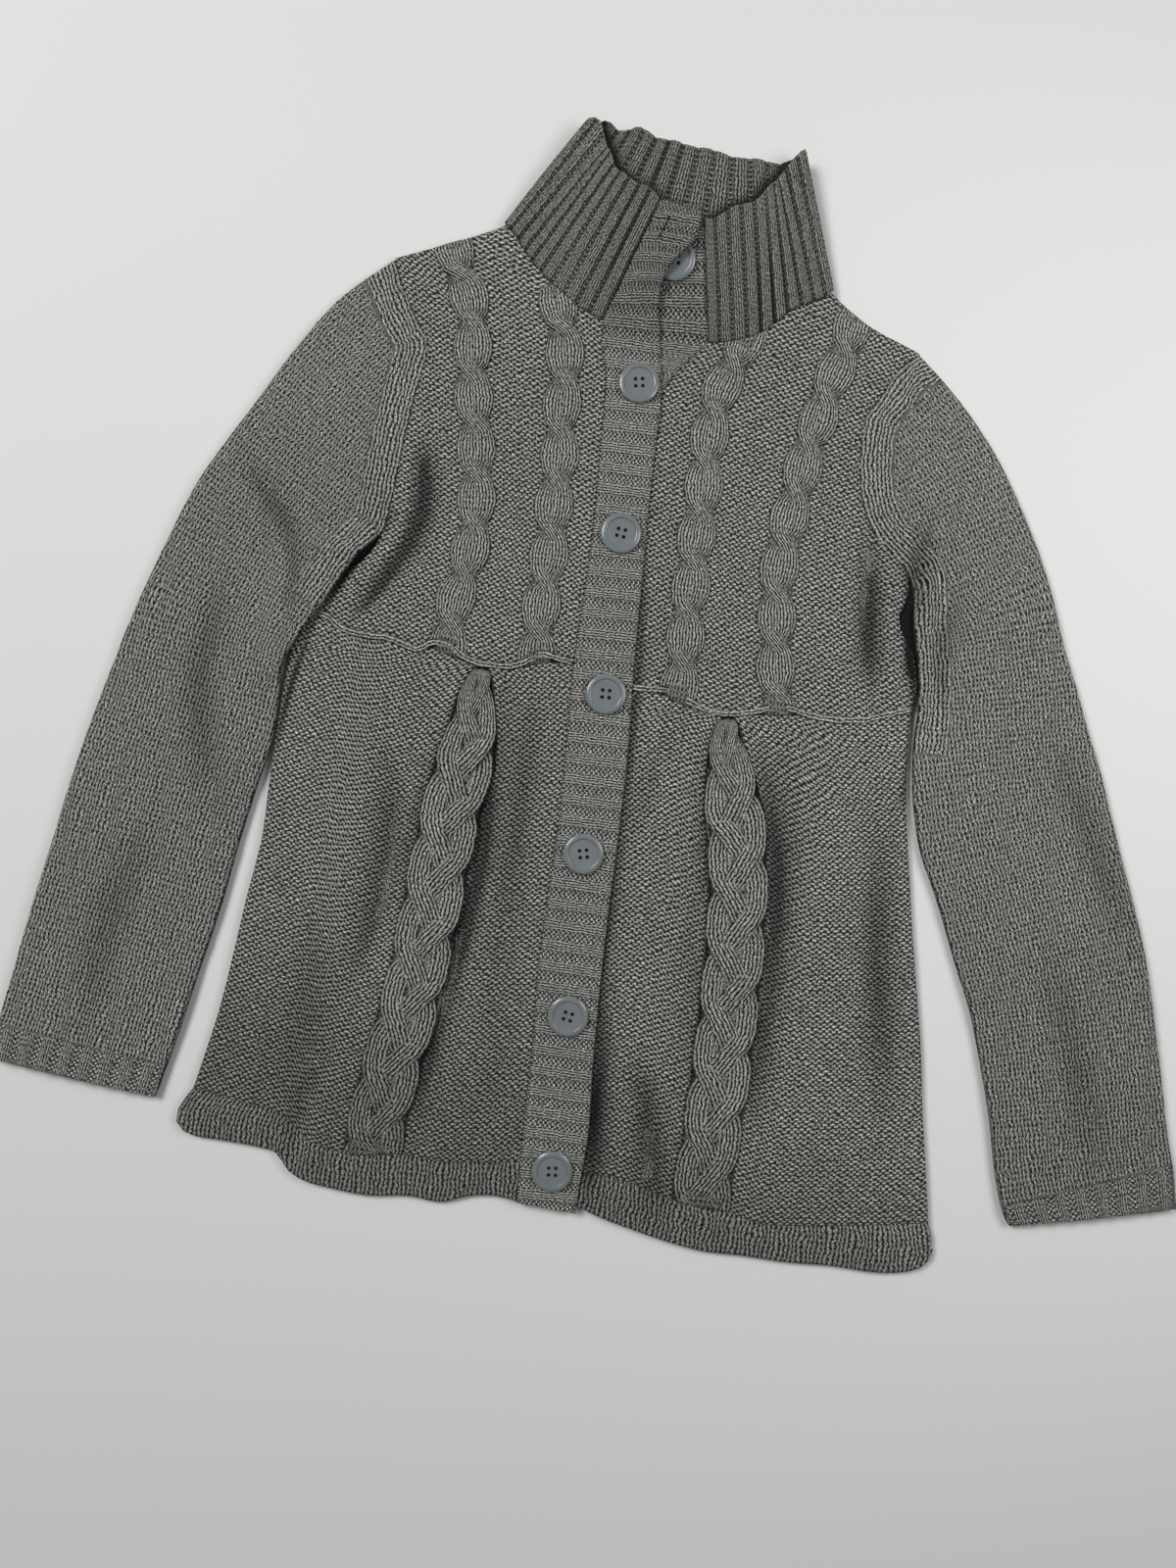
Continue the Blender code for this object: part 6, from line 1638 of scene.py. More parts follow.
def make_collar():
    """The standing collar in two by two rib, fine on the faces that show."""
    fine = 1.0 / COLLAR_RIB_CELLS
    first, second = COLLAR_FOLDS
    last = COLLAR[-1][0]
    outer_ribs = np.concatenate((zone(COLLAR_END_GAP, first + 1.0, fine),
                                 zone(first + 1.5, second - 1.5, 0.5),
                                 zone(second - 1.0, last - COLLAR_END_GAP, fine)))
    inner_ribs = np.concatenate((zone(COLLAR_END_GAP, first - 1.5, 0.5),
                                 zone(first - 1.0, second + 1.0, fine),
                                 zone(second + 1.5, last - COLLAR_END_GAP, 0.5)))
    ups = np.linspace(0.0, 1.0, COLLAR_UP_CELLS + 1)
    skins = [collar_skin(outer_ribs, ups, True), collar_skin(inner_ribs[::-1], ups, False)]
    shape = (len(ups), -1)
    points = np.concatenate([s[0].reshape(*shape, 3) for s in skins], axis=1)
    knit = np.concatenate([s[1].reshape(*shape, 2) for s in skins], axis=1)
    face = np.concatenate([s[2].reshape(shape) for s in skins], axis=1)
    painted_shade = np.concatenate([s[3].reshape(shape) for s in skins], axis=1)
    numbers = np.arange(points.shape[0] * points.shape[1]).reshape(points.shape[:2])
    faces = [grid_faces(np.column_stack((numbers, numbers[:, 0])))]
    count = len(outer_ribs)
    for row in (0, -1):
        faces.append(zip_faces(numbers[row, :count], outer_ribs, numbers[row, count:][::-1],
                               inner_ribs))
    cloth = patch(points.reshape(-1, 3), np.concatenate(faces), knit.reshape(-1, 2),
                  face.ravel(), painted_shade.ravel())
    add_sheet("collar", cloth)


def band_skin(rows, along, across, slit):
    """Outer face of a button band: three smooth wales and three purl wales in each rib.

    The wales run across the band, so they are counted along it and rows across it.
    """
    grid_along, grid_across = np.meshgrid(along, across, indexing="ij")
    points = band_point(rows, grid_along.ravel(), grid_across.ravel())
    width = np.linalg.norm(np.array(rows)[5, :2] - np.array(rows)[5, 3:5])
    ribs_at = grid_along.ravel() + BAND_SKEW * width * grid_across.ravel()
    wale = ribs_at / BAND_WALE
    place = (ribs_at / BAND_RIB) % 1.0
    course = grid_across.ravel() * width / BAND_COURSE
    face = DRAWN * ease((0.25 - np.abs(place - 0.5)) / 0.03 + 0.5)
    cord = np.abs(np.sin(2.0 * np.pi * wale))
    z = BAND_RIB_RISE * (rib_profile(place) - 0.5) + BAND_RELIEF * cord * (0.2 + 0.4 * face)
    edge = np.minimum(grid_across.ravel(), 1.0 - grid_across.ravel()) * width
    z -= RIM_DROP * (1.0 - ease(edge / BAND_EDGE)) ** 1.5
    # Painted shade along the band's edges, and on its upper ends where the collar shades them.
    painted_shade = BAND_EDGE_SHADE * (1.0 - ease(edge / BAND_EDGE_WIDTH))
    painted_shade += BAND_SHADE * ease((points[:, 1] - BAND_SHADE_FROM) / BAND_SHADE_OVER)
    if slit is not None:
        pucker, cut = buttonhole(points[:, :2], slit)
        z += pucker
        # Painted shade inside the slit of the open buttonhole.
        painted_shade = np.maximum(painted_shade, cut)
    points[:, 2] += WALL / 2 + z
    return points, np.column_stack((wale, course)), face, np.clip(painted_shade, 0.0, 1.0)


def buttonhole(plan, slit):
    """Puckers beside an open buttonhole: waves along it that die out away from it."""
    x1, y1, x2, y2 = slit
    distance, _ = nearest(plan, np.array(((x1, y1, 0.0), (x2, y2, 1.0))))
    middle = np.array(((x1 + x2) / 2, (y1 + y2) / 2))
    away = np.linalg.norm(plan - middle, axis=1)
    waves = np.cos(2.0 * np.pi * (plan[:, 1] - y1) / PUCKER_SPACING)
    rise = PUCKER_RISE * waves * np.exp(-(away / PUCKER_REACH) ** 2)
    height, place, width = SLIT_LIP
    lip = height * np.exp(-((distance - place) / width) ** 2)
    cut = ease((SLIT_CUT[0] - distance) / SLIT_CUT[1])
    return rise * ease(distance / PUCKER_FROM) + lip - SLIT_DEPTH * cut, cut


def make_band(name, rows, along, slit):
    """A button band as a closed strip, ribbed on its outer face."""
    along = along[along <= lengths_along(np.array(rows)[:, :2])[-1] + 1e-6]
    across = np.linspace(0.0, 1.0, BAND_CELLS + 1)
    top, knit, face, painted_shade = band_skin(rows, along, across, slit)
    count = len(along)
    back = np.array((1.0, 0.66, 0.33, 0.0))
    grid_along, grid_across = np.meshgrid(along, back, indexing="ij")
    under = band_point(rows, grid_along.ravel(), grid_across.ravel())
    under[:, 2] -= WALL / 2 - 0.02
    shape = (count, -1)
    rings = np.concatenate((top.reshape(*shape, 3), under.reshape(*shape, 3)), axis=1)
    extra = np.dstack((grid_along / BAND_WALE, grid_across * 16.0))
    knit = np.concatenate((knit.reshape(*shape, 2), extra), axis=1)
    marks = [np.concatenate((mark.reshape(shape), 0.0 * grid_along), axis=1)
             for mark in (face, painted_shade)]
    cloth = tube(rings, knit, *marks)
    add_sheet(name, cloth)


# ---------------------------------------------------------------- buttons


def button_shape():
    """A four-hole button: flat dish, step, rounded land and a plain back, all turned.

    Columns of the profile: radius, height over the underside.
    """
    dish = circle(BUTTON_DISH_RADIUS, BUTTON_SIDES)
    holes = [circle(BUTTON_HOLE, HOLE_SIDES, (x, y)) for x in (-BUTTON_HOLE_PITCH,
             BUTTON_HOLE_PITCH) for y in (-BUTTON_HOLE_PITCH, BUTTON_HOLE_PITCH)]
    flat = np.concatenate([dish] + holes)
    count = len(flat)
    creases = []
    for number in range(4):
        start = BUTTON_SIDES + number * HOLE_SIDES
        edge = np.arange(HOLE_SIDES)
        creases += list(zip(start + edge, start + (edge + 1) % HOLE_SIDES))
    result = delaunay_2d_cdt([Vector(p) for p in flat], [(int(a), int(b)) for a, b in creases],
                             [list(range(BUTTON_SIDES))], 1, 1e-7)
    cells = np.array([tuple(face) for face in result[2]])
    middle = flat[cells].mean(axis=1)
    corner = np.abs(middle) - BUTTON_HOLE_PITCH
    cells = cells[np.hypot(corner[:, 0], corner[:, 1]) > 0.985 * BUTTON_HOLE]
    top = np.column_stack((flat, np.full(count, BUTTON_PROFILE[0][1])))
    bottom = np.column_stack((flat, np.zeros(count)))
    profile = np.array(BUTTON_PROFILE[1:])
    ring = circle(1.0, BUTTON_SIDES)
    rings = np.concatenate((ring[None] * profile[:, :1, None], np.broadcast_to(
        profile[:, 1][:, None, None], (len(profile), BUTTON_SIDES, 1))), axis=2)
    points = np.concatenate((top, bottom, rings.reshape(-1, 3)))
    ids = np.arange(len(profile) * BUTTON_SIDES).reshape(-1, BUTTON_SIDES) + 2 * count
    sides = np.vstack((np.arange(BUTTON_SIDES), ids, np.arange(BUTTON_SIDES) + count))
    a, b = np.array(creases).T
    walls = np.concatenate((np.stack((a, b, b + count), axis=1),
                            np.stack((a, b + count, a + count), axis=1)))
    faces = np.concatenate((cells, cells[:, ::-1] + count, walls,
                            grid_faces(np.column_stack((sides, sides[:, 0])))))
    return points, faces


def thread_shape():
    """Ends of sewing thread in the four holes: round posts that stop below the dish."""
    ring = circle(THREAD_RADIUS, 10)
    heights = np.array(THREAD_HEIGHTS)
    rings = np.concatenate((np.repeat(ring[None], 2, axis=0),
                            np.broadcast_to(heights[:, None, None], (2, 10, 1))), axis=2)
    blank = np.zeros((2, 10))
    holes = [(x, y, 0.0) for x in (-BUTTON_HOLE_PITCH, BUTTON_HOLE_PITCH)
             for y in (-BUTTON_HOLE_PITCH, BUTTON_HOLE_PITCH)]
    return join_patches([tube(rings + hole, np.dstack((blank, blank)), blank, blank)
                         for hole in holes])


def make_buttons():
    """Six fastened buttons on the top band and an open one on the under band."""
    points, faces = button_shape()
    thread = thread_shape()
    rest = BAND_LOW + WALL + BAND_RIB_RISE * 0.7 + 0.35 + SEAM_GAP
    places = [(x, y, rest, 0.0, 0.0, spin) for (x, y), spin in zip(BUTTONS, BUTTON_SPINS)]
    places.append((*OPEN_BUTTON, OPEN_BUTTON_TILT_X, OPEN_BUTTON_TILT_Y, 4.0))
    for number, (x, y, z, tilt_x, tilt_y, spin) in enumerate(places, start=1):
        turn = (Matrix.Rotation(math.radians(tilt_x), 3, "X")
                @ Matrix.Rotation(math.radians(tilt_y), 3, "Y")
                @ Matrix.Rotation(math.radians(spin), 3, "Z"))
        move = np.array(turn).T
        name = f"button_{number}"
        piece = add_piece("resin_" + name, patch(points @ move + (x, y, z), faces),
                          "grey_button")
        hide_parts(name)
        # The thread's near-black colour is painted shade of the button holes.
        loops = add_piece("thread_" + name,
                          patch(thread[0] @ move + (x, y, z), thread[1]), "thread_and_hole_shade")


# ---------------------------------------------------------------- wiring of the pieces


# How a front panel is knitted: height of its stitches, the side that shows, how round it is,
# the path of its waist ridge, the way in which its wales are counted, how far its stitches
# slant and from which wale on, how much more cloth it takes than its outline, and what it
# rests on.
FRONT_CLOTH = {"relief": PURL_RELIEF, "face": 0.0, "puff": 0.0, "ridge": None, "way": 1.0,
               "slant": 0.0, "slant_from": 0.0, "stretch": 1.0, "rests_on": ["back"]}


def shown_sides(seams):
    """What each front is drawn to, with the creases that only show in its knit."""
    right, left = front_sides(seams)
    return dict(right, creases=CREASES_RIGHT), dict(left, creases=CREASES_LEFT)


def make_yokes():
    """Both yokes."""
    seams = seam_lines()
    right, left = shown_sides(seams)
    cloth = dict(FRONT_CLOTH, slant=1.0, slant_from=12.0, flat=(0.20, 0.30), stretch=1.12)
    lines = [seams["band_yoke"], smooth_line(CABLE_INNER_RIGHT, 6.0),
             smooth_line(CABLE_OUTER_RIGHT, 6.0)]
    make_yoke("right", seams, right, (-150.0, -0.02), (CABLE_OUTER_RIGHT, CABLE_INNER_RIGHT),
              lines, YOKE_RIGHT_ZONES, cloth)
    lines = [smooth_line(CABLE_INNER_LEFT, 6.0), smooth_line(CABLE_OUTER_LEFT, 6.0)]
    make_yoke("left", seams, left, (60.0, -0.06), (CABLE_INNER_LEFT, CABLE_OUTER_LEFT),
              lines, YOKE_LEFT_ZONES, dict(cloth, way=-1.0, slant_from=1.0))


def make_skirts():
    """Both skirt panels."""
    seams = seam_lines()
    right, left = shown_sides(seams)
    cloth = dict(FRONT_CLOTH, flat=(0.25, 0.36), stretch=1.08)
    make_skirt("right", seams, right, PLAIT_RIGHT, SKIRT_RIGHT_ZONES, cloth)
    make_skirt("left", seams, left, PLAIT_LEFT, SKIRT_LEFT_ZONES, cloth)


def make_hems():
    """Both front hem bands."""
    seams = seam_lines()
    right, left = shown_sides(seams)
    cloth = dict(FRONT_CLOTH, relief=KNIT_RELIEF, face=1.7, puff=HEM_PUFF, flat=(0.26, 0.05),
                 rests_on=["hem_back"])
    make_hem("right", seams, right, HEM_ZONES, cloth)
    make_hem("left", seams, left, HEM_ZONES, cloth)


def swollen(line, power, reach):
    """A line bowed out by reach: times sin(pi share^power) along it."""
    share = np.linspace(0.0, 1.0, len(line)) ** power
    return line[:, :2] + np.sin(np.pi * share)[:, None] * reach


def make_backs():
    """The back and its hem band, plain and flat; it reaches in under both sleeves."""
    seams = seam_lines()
    under = swollen(seams["underarm_right"], 1.0, BACK_SWELL_RIGHT)
    side = swollen(seams["side_back_left"], 0.4, BACK_SWELL_LEFT)
    outline = join_lines(seams["armhole_right"], under,
                         seams["side_yoke_right"], seams["side_skirt_right"],
                         seams["hem_seam_back"], seams["side_skirt_left"][::-1],
                         side[::-1], seams["armhole_left"][::-1], seams["shoulder_left"],
                         seams["neck_back"][::-1], seams["shoulder_right"][::-1])
    flat_piece("back", outline)
    outline = join_lines(seams["hem_edge_back"], seams["hem_seam_back"][::-1])
    flat_piece("hem_back", outline)


def make_sleeves():
    """Both sleeves, each laid partly on the edge of the body."""
    seams = seam_lines()
    right, left = front_sides(seams)
    body_right = np.concatenate((seams["underarm_right"][-1:], seams["side_yoke_right"],
                                 seams["side_skirt_right"]))
    body_left = np.concatenate((seams["side_back_left"], seams["side_skirt_left"]))
    armhole_right = moved(seams["armhole_right"], -SEAM_GAP / 2)
    armhole_left = moved(seams["armhole_left"], SEAM_GAP / 2)
    inner_right = smooth_line(np.array(SLEEVE_RIGHT)[:6, 2:], 8.0)
    inner_left = smooth_line(np.array(SLEEVE_LEFT)[:9, 2:], 8.0)
    make_sleeve("sleeve_right", {
        "rows": SLEEVE_RIGHT, "armhole": armhole_right, "side": right,
        "lift": SLEEVE_RIGHT_LIFT, "body_side": body_right, "folds": SLEEVE_FOLDS_RIGHT,
        "wales_along": STITCH_ROWS_RIGHT[::-1] + SLEEVE_RIGHT[6:], "cuff_shade": 0.0,
        "edge": np.concatenate((armhole_right[:-1], inner_right))})
    make_sleeve("sleeve_left", {
        "rows": SLEEVE_LEFT, "armhole": armhole_left, "side": left,
        "lift": SLEEVE_LEFT_LIFT, "body_side": body_left, "folds": SLEEVE_FOLDS_LEFT,
        "wales_along": STITCH_ROWS_LEFT + SLEEVE_LEFT[5:], "cuff_shade": 0.12,
        "edge": np.concatenate((armhole_left[:-1], inner_left))})


def make_bands():
    """The top band, ribbed all along, and the under band, ribbed where it shows."""
    length = lengths_along(np.array(TOP_BAND)[:, :2])[-1]
    along = zone(0.0, length, BAND_STEP_FINE)
    make_band("band_top", TOP_BAND, along, BUTTONHOLE)
    knots = lengths_along(np.array(UNDER_BAND)[:, :2])
    shows = float(np.interp(UNDER_BAND_SHOWS_FROM, np.array(UNDER_BAND)[:, 1], knots))
    along = np.concatenate((zone(0.0, shows - 4.0, 8.0), zone(shows, knots[-1], BAND_STEP_FINE)))
    make_band("band_under", UNDER_BAND, along, None)


# ---------------------------------------------------------------- finishes


def linear(colour):
    """An sRGB hex colour as linear red, green, blue and alpha."""
    parts = [int(colour[k:k + 2], 16) / 255.0 for k in (1, 3, 5)]
    return tuple(p / 12.92 if p <= 0.04045 else ((p + 0.055) / 1.055) ** 2.4
                 for p in parts) + (1.0,)


def add(tree, kind, settings=None, fill=None):
    """Adds a node, sets its properties and fills its sockets; returns its outputs."""
    made = tree.nodes.new("ShaderNode" + kind)
    for name, value in (settings or {}).items():
        setattr(made, name, value)
    for name, value in (fill or {}).items():
        if isinstance(value, bpy.types.NodeSocket):
            tree.links.new(value, made.inputs[name])
        else:
            made.inputs[name].default_value = value
    return made.outputs


def maths(tree, operation, *values):
    """A chain's next number: a Math node over sockets or constants."""
    return add(tree, "Math", {"operation": operation}, dict(enumerate(values)))[0]


def new_finish(name):
    """An empty finish with its surface shader."""
    finish = bpy.data.materials.new(name)
    finish.use_nodes = True
    return finish, finish.node_tree, finish.node_tree.nodes["Principled BSDF"]


def even_power(tree, angle, power):
    """The square of the cosine of an angle, raised to a power."""
    wave = maths(tree, "COSINE", angle)
    return maths(tree, "POWER", maths(tree, "MULTIPLY", wave, wave), power)


def stitch_shade(tree, wale, course, face):
    """The stitches' height by the same formula as stitch_relief, as a node socket."""
    place = maths(tree, "FRACT", wale)
    side = maths(tree, "ABSOLUTE", maths(tree, "SUBTRACT", place, 0.5))
    line = even_power(tree, maths(tree, "MULTIPLY", side, 2.0 * math.pi), 2.0)
    lean = maths(tree, "MULTIPLY_ADD", side, -LEG_SLANT, course)
    dot = even_power(tree, maths(tree, "MULTIPLY", lean, math.pi), 2.0)
    drawn = add(tree, "MapRange", None, {0: face, 1: 1.0, 2: 2.0, 3: 0.3, 4: 0.65})[0]
    lean_bar = add(tree, "MapRange", None, {0: face, 1: -1.0, 2: 0.0, 3: PURL_LEAN, 4: 0.0})[0]
    sink = maths(tree, "MULTIPLY_ADD", maths(tree, "SUBTRACT", 1.0, drawn), dot, drawn)
    step = maths(tree, "MULTIPLY", maths(tree, "SUBTRACT", 1.3, drawn), LEG_STEP)
    step = maths(tree, "MULTIPLY", maths(tree, "MULTIPLY", dot, step),
                 maths(tree, "SUBTRACT", 1.0, line))
    sink = maths(tree, "MULTIPLY", sink, 1.4)
    smooth = maths(tree, "SUBTRACT", 1.0, maths(tree, "MULTIPLY_ADD", line, sink, step))
    smooth = maths(tree, "MAXIMUM", smooth, 0.0)
    bars = []
    for shift in (0.5, 0.0):
        off = maths(tree, "FRACT", maths(tree, "ADD", wale, 0.5 - shift))
        off = maths(tree, "SUBTRACT", off, 0.5)
        bend = maths(tree, "MULTIPLY_ADD", off, PURL_BEND * (4.0 * shift - 1.0), lean_bar)
        row = maths(tree, "MULTIPLY_ADD", bend, off, maths(tree, "ADD", course, 0.25 - shift))
        across = maths(tree, "COSINE", maths(tree, "MULTIPLY", off, math.pi))
        along = even_power(tree, maths(tree, "MULTIPLY", row, math.pi), 1.4)
        bars.append(maths(tree, "MULTIPLY", across, along))
    purl = maths(tree, "MAXIMUM", *bars)
    return add(tree, "Mix", {"data_type": "FLOAT"}, {0: face, 2: purl, 3: smooth})[0]


def marled_knit():
    """Soft wool blend yarn of light and dark plies twisted together.

    To the eye: matt grey with light and dark flecks along the yarn, painted shade in the gaps
    between stitches and where the pieces mark it, a faint halo of fibres that catches the light at
    grazing angles.
    """
    look = bpy.context.scene.cardigan
    finish, tree, shader = new_finish("marled_knit")
    chart = add(tree, "UVMap", {"uv_map": "knit"})[0]
    sway = add(tree, "TexNoise", None, {"Vector": chart, "Scale": 0.85, "Detail": 1.0})[1]
    sway = add(tree, "VectorMath", {"operation": "SUBTRACT"}, {0: sway, 1: (0.5, 0.5, 0.5)})[0]
    sway = add(tree, "VectorMath", {"operation": "SCALE"}, {0: sway, "Scale": 0.55})[0]
    swayed = add(tree, "VectorMath", None, {0: chart, 1: sway})[0]
    split = add(tree, "SeparateXYZ", None, {0: swayed})
    face = add(tree, "Attribute", {"attribute_name": "face"})[2]
    painted_shade = add(tree, "Attribute", {"attribute_name": "painted_shade"})[2]
    height = stitch_shade(tree, split[0], split[1], face)
    place = add(tree, "TexCoord")[3]
    along_yarn = add(tree, "Mapping", None, {0: chart, "Scale": (3.2, 1.5, 1.0)})[0]
    flecks = add(tree, "TexNoise", None, {"Vector": along_yarn, "Scale": 1.6, "Detail": 3.0,
                                          "Roughness": 0.65})[0]
    flecks = add(tree, "MapRange", None, {0: flecks, 1: 0.4, 2: 0.6})[0]
    fibres = add(tree, "TexNoise", None, {"Vector": place, "Scale": 1400.0, "Detail": 2.0})[0]
    cloud = add(tree, "TexNoise", None, {"Vector": place, "Scale": 9.0, "Detail": 2.0})[0]
    marl = add(tree, "Mix", {"data_type": "RGBA"},
               {0: flecks, 6: linear_of(look.dark_ply), 7: linear_of(look.light_ply)})[2]
    # Painted shade: the gaps between the stitches are darkened by their depth.
    open_yarn = add(tree, "MapRange", {"interpolation_type": "SMOOTHSTEP"},
                    {0: height, 1: 0.22, 2: 0.88})[0]
    shade = maths(tree, "MULTIPLY_ADD", open_yarn, 0.97, 0.03)
    for ends in ((0.0, 1.0, 1.0, 0.68), (1.0, 2.0, 1.0, 1.4)):
        even = add(tree, "MapRange", None, {0: face, **dict(enumerate(ends, start=1))})[0]
        shade = maths(tree, "MULTIPLY", shade, even)
    # Painted shade that the pieces mark on their points.
    lit = add(tree, "MapRange", None, {0: painted_shade, 3: 1.0, 4: 0.02})[0]
    shade = maths(tree, "MULTIPLY", shade, lit)
    shade = maths(tree, "MULTIPLY", shade, maths(tree, "MULTIPLY_ADD", fibres, 2.0, 0.0))
    shade = maths(tree, "MULTIPLY", shade, maths(tree, "MULTIPLY_ADD", cloud, 0.24, 0.88))
    colour = add(tree, "VectorMath", {"operation": "SCALE"}, {0: marl, "Scale": shade})[0]
    tree.links.new(colour, shader.inputs["Base Color"])
    fuzz = add(tree, "Bump", None, {"Strength": 0.45, "Distance": 0.0006, "Height": fibres})[0]
    bump = add(tree, "Bump", None, {"Strength": 0.7, "Distance": 0.0009, "Height": height,
                                    "Normal": fuzz})[0]
    tree.links.new(bump, shader.inputs["Normal"])
    shader.inputs["Roughness"].default_value = 0.92
    shader.inputs["Specular IOR Level"].default_value = 0.2
    shader.inputs["Sheen Weight"].default_value = 0.12
    shader.inputs["Sheen Roughness"].default_value = 0.5
    return finish


def linear_of(colour):
    """A colour property as a socket's value; the property is linear already."""
    return (*colour, 1.0)


def grey_button():
    """Cast polyester resin, satin from tumbling: cool grey, faintly clouded, soft highlights."""
    look = bpy.context.scene.cardigan
    finish, tree, shader = new_finish("grey_button")
    place = add(tree, "TexCoord")[3]
    cloud = add(tree, "TexNoise", None, {"Vector": place, "Scale": 120.0, "Detail": 3.0})[0]
    shade = maths(tree, "MULTIPLY_ADD", cloud, 0.3, 0.85)
    colour = add(tree, "VectorMath", {"operation": "SCALE"},
                 {0: tuple(look.button_colour), "Scale": shade})[0]
    tree.links.new(colour, shader.inputs["Base Color"])
    shader.inputs["Roughness"].default_value = 0.2
    return finish


def thread_and_hole_shade():
    """Spun polyester thread deep in the holes, matt; its nearly black colour is painted shade of
    the holes.
    """
    finish, _, shader = new_finish("thread_and_hole_shade")
    shader.inputs["Base Color"].default_value = linear("#211f1d")
    shader.inputs["Roughness"].default_value = 0.8
    return finish


def pale_floor():
    """Matt paper-white board: even and nearly white, with no gloss."""
    finish, _, shader = new_finish("pale_floor")
    shader.inputs["Base Color"].default_value = linear("#d3d4d2")
    shader.inputs["Roughness"].default_value = 0.9
    shader.inputs["Specular IOR Level"].default_value = 0.2
    return finish


FINISHES = {"marled_knit": marled_knit, "grey_button": grey_button,
            "thread_and_hole_shade": thread_and_hole_shade, "pale_floor": pale_floor}


def finish_named(name):
    """A finish by its name, made the first time that a piece asks for it."""
    return bpy.data.materials.get(name) or FINISHES[name]()


# ---------------------------------------------------------------- stage


def make_stage():
    """A pale floor, a soft lamp to the upper left, a weak one above, sky light, the camera."""
    look = bpy.context.scene.cardigan
    bpy.ops.mesh.primitive_plane_add(size=FLOOR_SIZE, location=(0.0, 0.0, -FLOOR_PLAY))
    floor = bpy.context.active_object
    floor.name = "floor"
    floor.data.materials.append(finish_named("pale_floor"))
    for name, place, size, share in LAMPS:
        lamp = bpy.data.lights.new(name, "AREA")
        lamp.size = size
        lamp.energy = look.lamp_power * share
        lamp_object = bpy.data.objects.new(name, lamp)
        lamp_object.location = place
        lamp_object.rotation_euler = Vector(place).to_track_quat("Z", "Y").to_euler()
        bpy.context.scene.collection.objects.link(lamp_object)
    world = bpy.context.scene.world or bpy.data.worlds.new("room")
    bpy.context.scene.world = world
    world.use_nodes = True
    sky = world.node_tree.nodes["Background"]
    sky.inputs["Color"].default_value = linear("#f4f6f8")
    sky.inputs["Strength"].default_value = look.sky_strength
    camera = bpy.data.cameras.new("camera")
    camera.lens = CAMERA_LENS
    camera.sensor_width = CAMERA_SENSOR
    camera.clip_end = CAMERA_REACH
    camera_object = bpy.data.objects.new("camera", camera)
    camera_object.location = [value * MM for value in CAMERA_PLACE]
    camera_object.rotation_euler = (0.0, 0.0, math.radians(CAMERA_TURN))
    bpy.context.scene.collection.objects.link(camera_object)
    bpy.context.scene.camera = camera_object
    bpy.context.scene.view_settings.view_transform = "Standard"


# ---------------------------------------------------------------- add-on


class CardiganLook(bpy.types.PropertyGroup):
    """Colours of the yarn and the buttons, and the strength of the light."""

    light_ply: bpy.props.FloatVectorProperty(
        name="Light ply", description="Colour of the yarn's light ply", subtype="COLOR",
        default=linear("#cacac3")[:3], min=0.0, max=1.0)
    dark_ply: bpy.props.FloatVectorProperty(
        name="Dark ply", description="Colour of the yarn's dark ply", subtype="COLOR",
        default=linear("#656560")[:3], min=0.0, max=1.0)
    button_colour: bpy.props.FloatVectorProperty(
        name="Buttons", description="Colour of the buttons", subtype="COLOR",
        default=linear("#6c7274")[:3], min=0.0, max=1.0)
    lamp_power: bpy.props.FloatProperty(
        name="Lamp", description="Power of the soft lamps", default=50.0, min=0.0,
        unit="POWER")
    sky_strength: bpy.props.FloatProperty(
        name="Sky", description="Strength of the even light all round", default=0.18,
        min=0.0, subtype="FACTOR", max=5.0)


class CARDIGAN_OT_back(bpy.types.Operator):
    """Lays out the plain back and its hem band"""

    bl_idname = "cardigan.back"
    bl_label = "Back"

    def execute(self, context):
        make_backs()
        return {"FINISHED"}


class CARDIGAN_OT_yokes(bpy.types.Operator):
    """Knits both yokes with their rope cables"""

    bl_idname = "cardigan.yokes"
    bl_label = "Yokes"

    def execute(self, context):
        make_yokes()
        return {"FINISHED"}


class CARDIGAN_OT_skirts(bpy.types.Operator):
    """Knits both skirt panels with their plaits"""

    bl_idname = "cardigan.skirts"
    bl_label = "Skirts"

    def execute(self, context):
        make_skirts()
        return {"FINISHED"}


class CARDIGAN_OT_hems(bpy.types.Operator):
    """Knits the hem bands of both fronts"""

    bl_idname = "cardigan.hems"
    bl_label = "Hem bands"

    def execute(self, context):
        make_hems()
        return {"FINISHED"}


class CARDIGAN_OT_sleeves(bpy.types.Operator):
    """Knits both sleeves with their cuffs"""

    bl_idname = "cardigan.sleeves"
    bl_label = "Sleeves"

    def execute(self, context):
        make_sleeves()
        return {"FINISHED"}


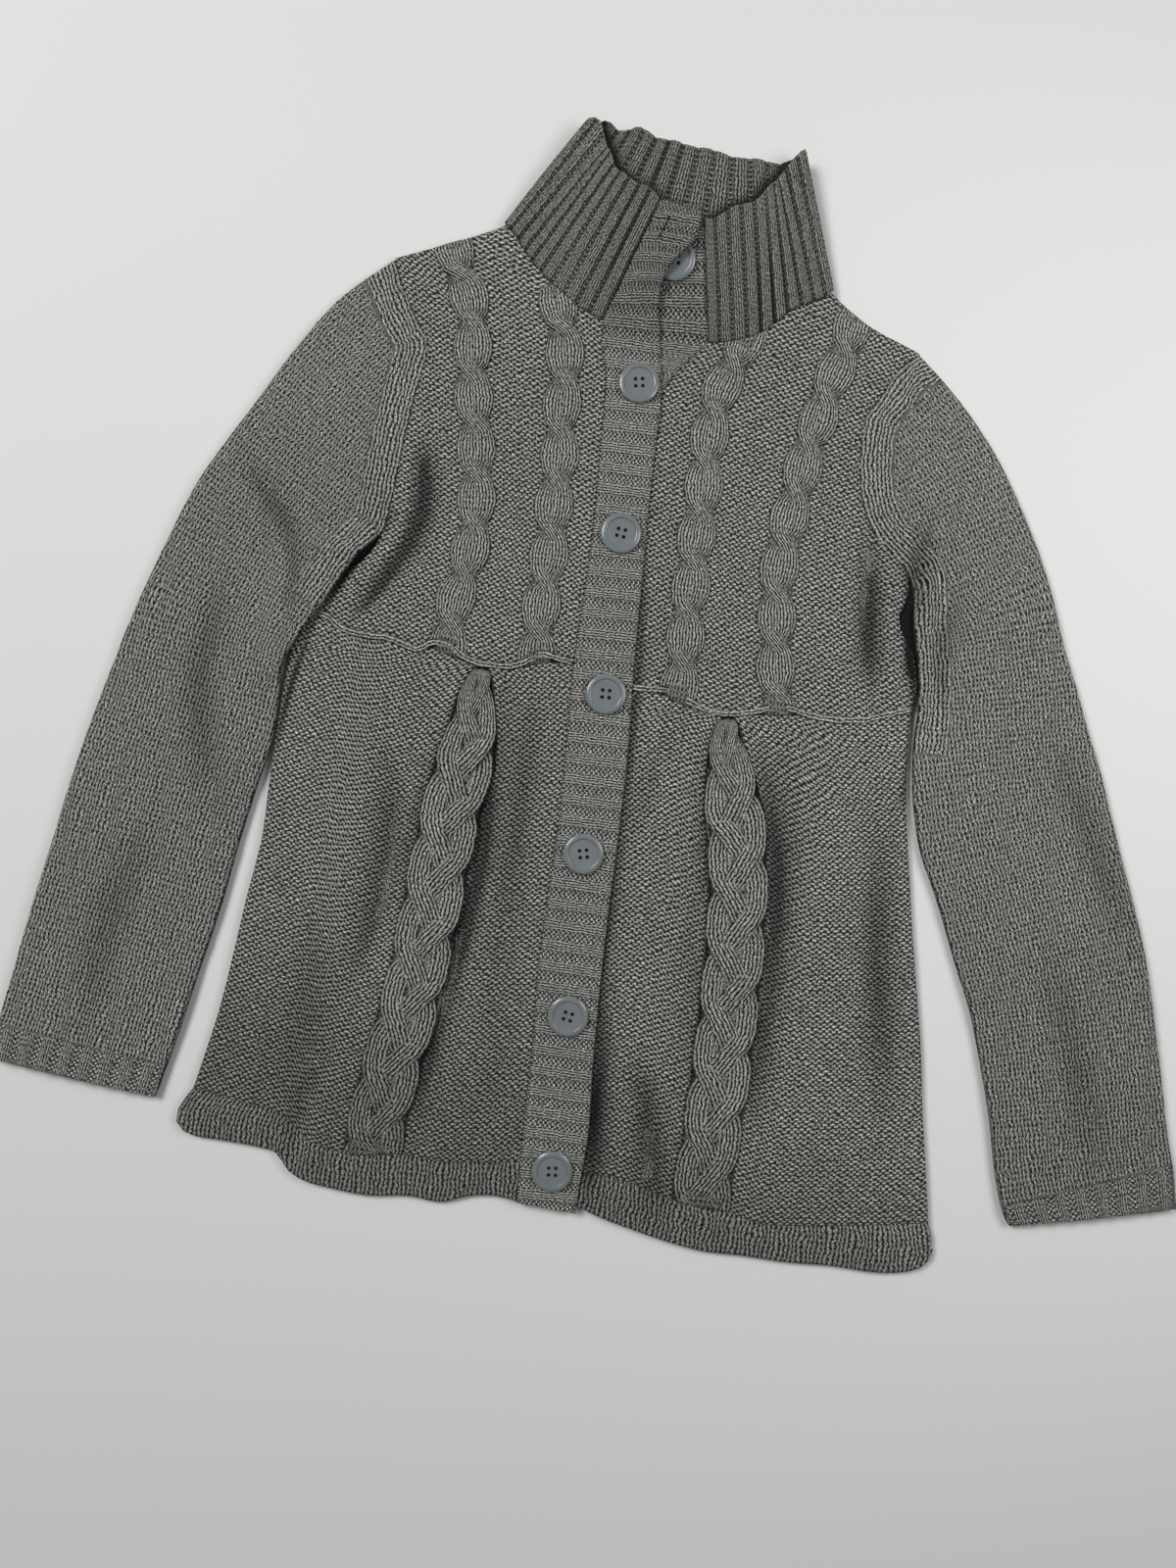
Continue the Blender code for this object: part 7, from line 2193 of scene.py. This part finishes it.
class CARDIGAN_OT_collar(bpy.types.Operator):
    """Knits the standing ribbed collar"""

    bl_idname = "cardigan.collar"
    bl_label = "Collar"

    def execute(self, context):
        make_collar()
        return {"FINISHED"}


class CARDIGAN_OT_bands(bpy.types.Operator):
    """Knits both button bands"""

    bl_idname = "cardigan.bands"
    bl_label = "Button bands"

    def execute(self, context):
        make_bands()
        return {"FINISHED"}


class CARDIGAN_OT_buttons(bpy.types.Operator):
    """Sews on the seven buttons"""

    bl_idname = "cardigan.buttons"
    bl_label = "Buttons"

    def execute(self, context):
        make_buttons()
        return {"FINISHED"}


class CARDIGAN_OT_stage(bpy.types.Operator):
    """Sets the floor, the light and the camera"""

    bl_idname = "cardigan.stage"
    bl_label = "Stage"

    def execute(self, context):
        make_stage()
        return {"FINISHED"}


OPERATORS = (CARDIGAN_OT_back, CARDIGAN_OT_yokes, CARDIGAN_OT_skirts,
             CARDIGAN_OT_hems, CARDIGAN_OT_sleeves, CARDIGAN_OT_collar,
             CARDIGAN_OT_bands, CARDIGAN_OT_buttons, CARDIGAN_OT_stage)


class CARDIGAN_PT_panel(bpy.types.Panel):
    """Settings and build buttons in the sidebar of the 3D view."""

    bl_label = "Cardigan"
    bl_space_type = "VIEW_3D"
    bl_region_type = "UI"
    bl_category = "Cardigan"

    def draw(self, context):
        look = context.scene.cardigan
        for name in ("light_ply", "dark_ply", "button_colour", "lamp_power", "sky_strength"):
            self.layout.prop(look, name)
        for operator in OPERATORS:
            self.layout.operator(operator.bl_idname)


def register():
    """Makes the settings, operators and panel known to Blender."""
    for kind in (CardiganLook, *OPERATORS, CARDIGAN_PT_panel):
        bpy.utils.register_class(kind)
    bpy.types.Scene.cardigan = bpy.props.PointerProperty(type=CardiganLook)


def unregister():
    """Takes the settings, operators and panel away again."""
    del bpy.types.Scene.cardigan
    for kind in (CARDIGAN_PT_panel, *OPERATORS[::-1], CardiganLook):
        bpy.utils.unregister_class(kind)


def main():
    """Builds every piece and the stage."""
    register()
    for operator in OPERATORS:
        group, word = operator.bl_idname.split(".")
        getattr(getattr(bpy.ops, group), word)()


if __name__ == "__main__":
    main()
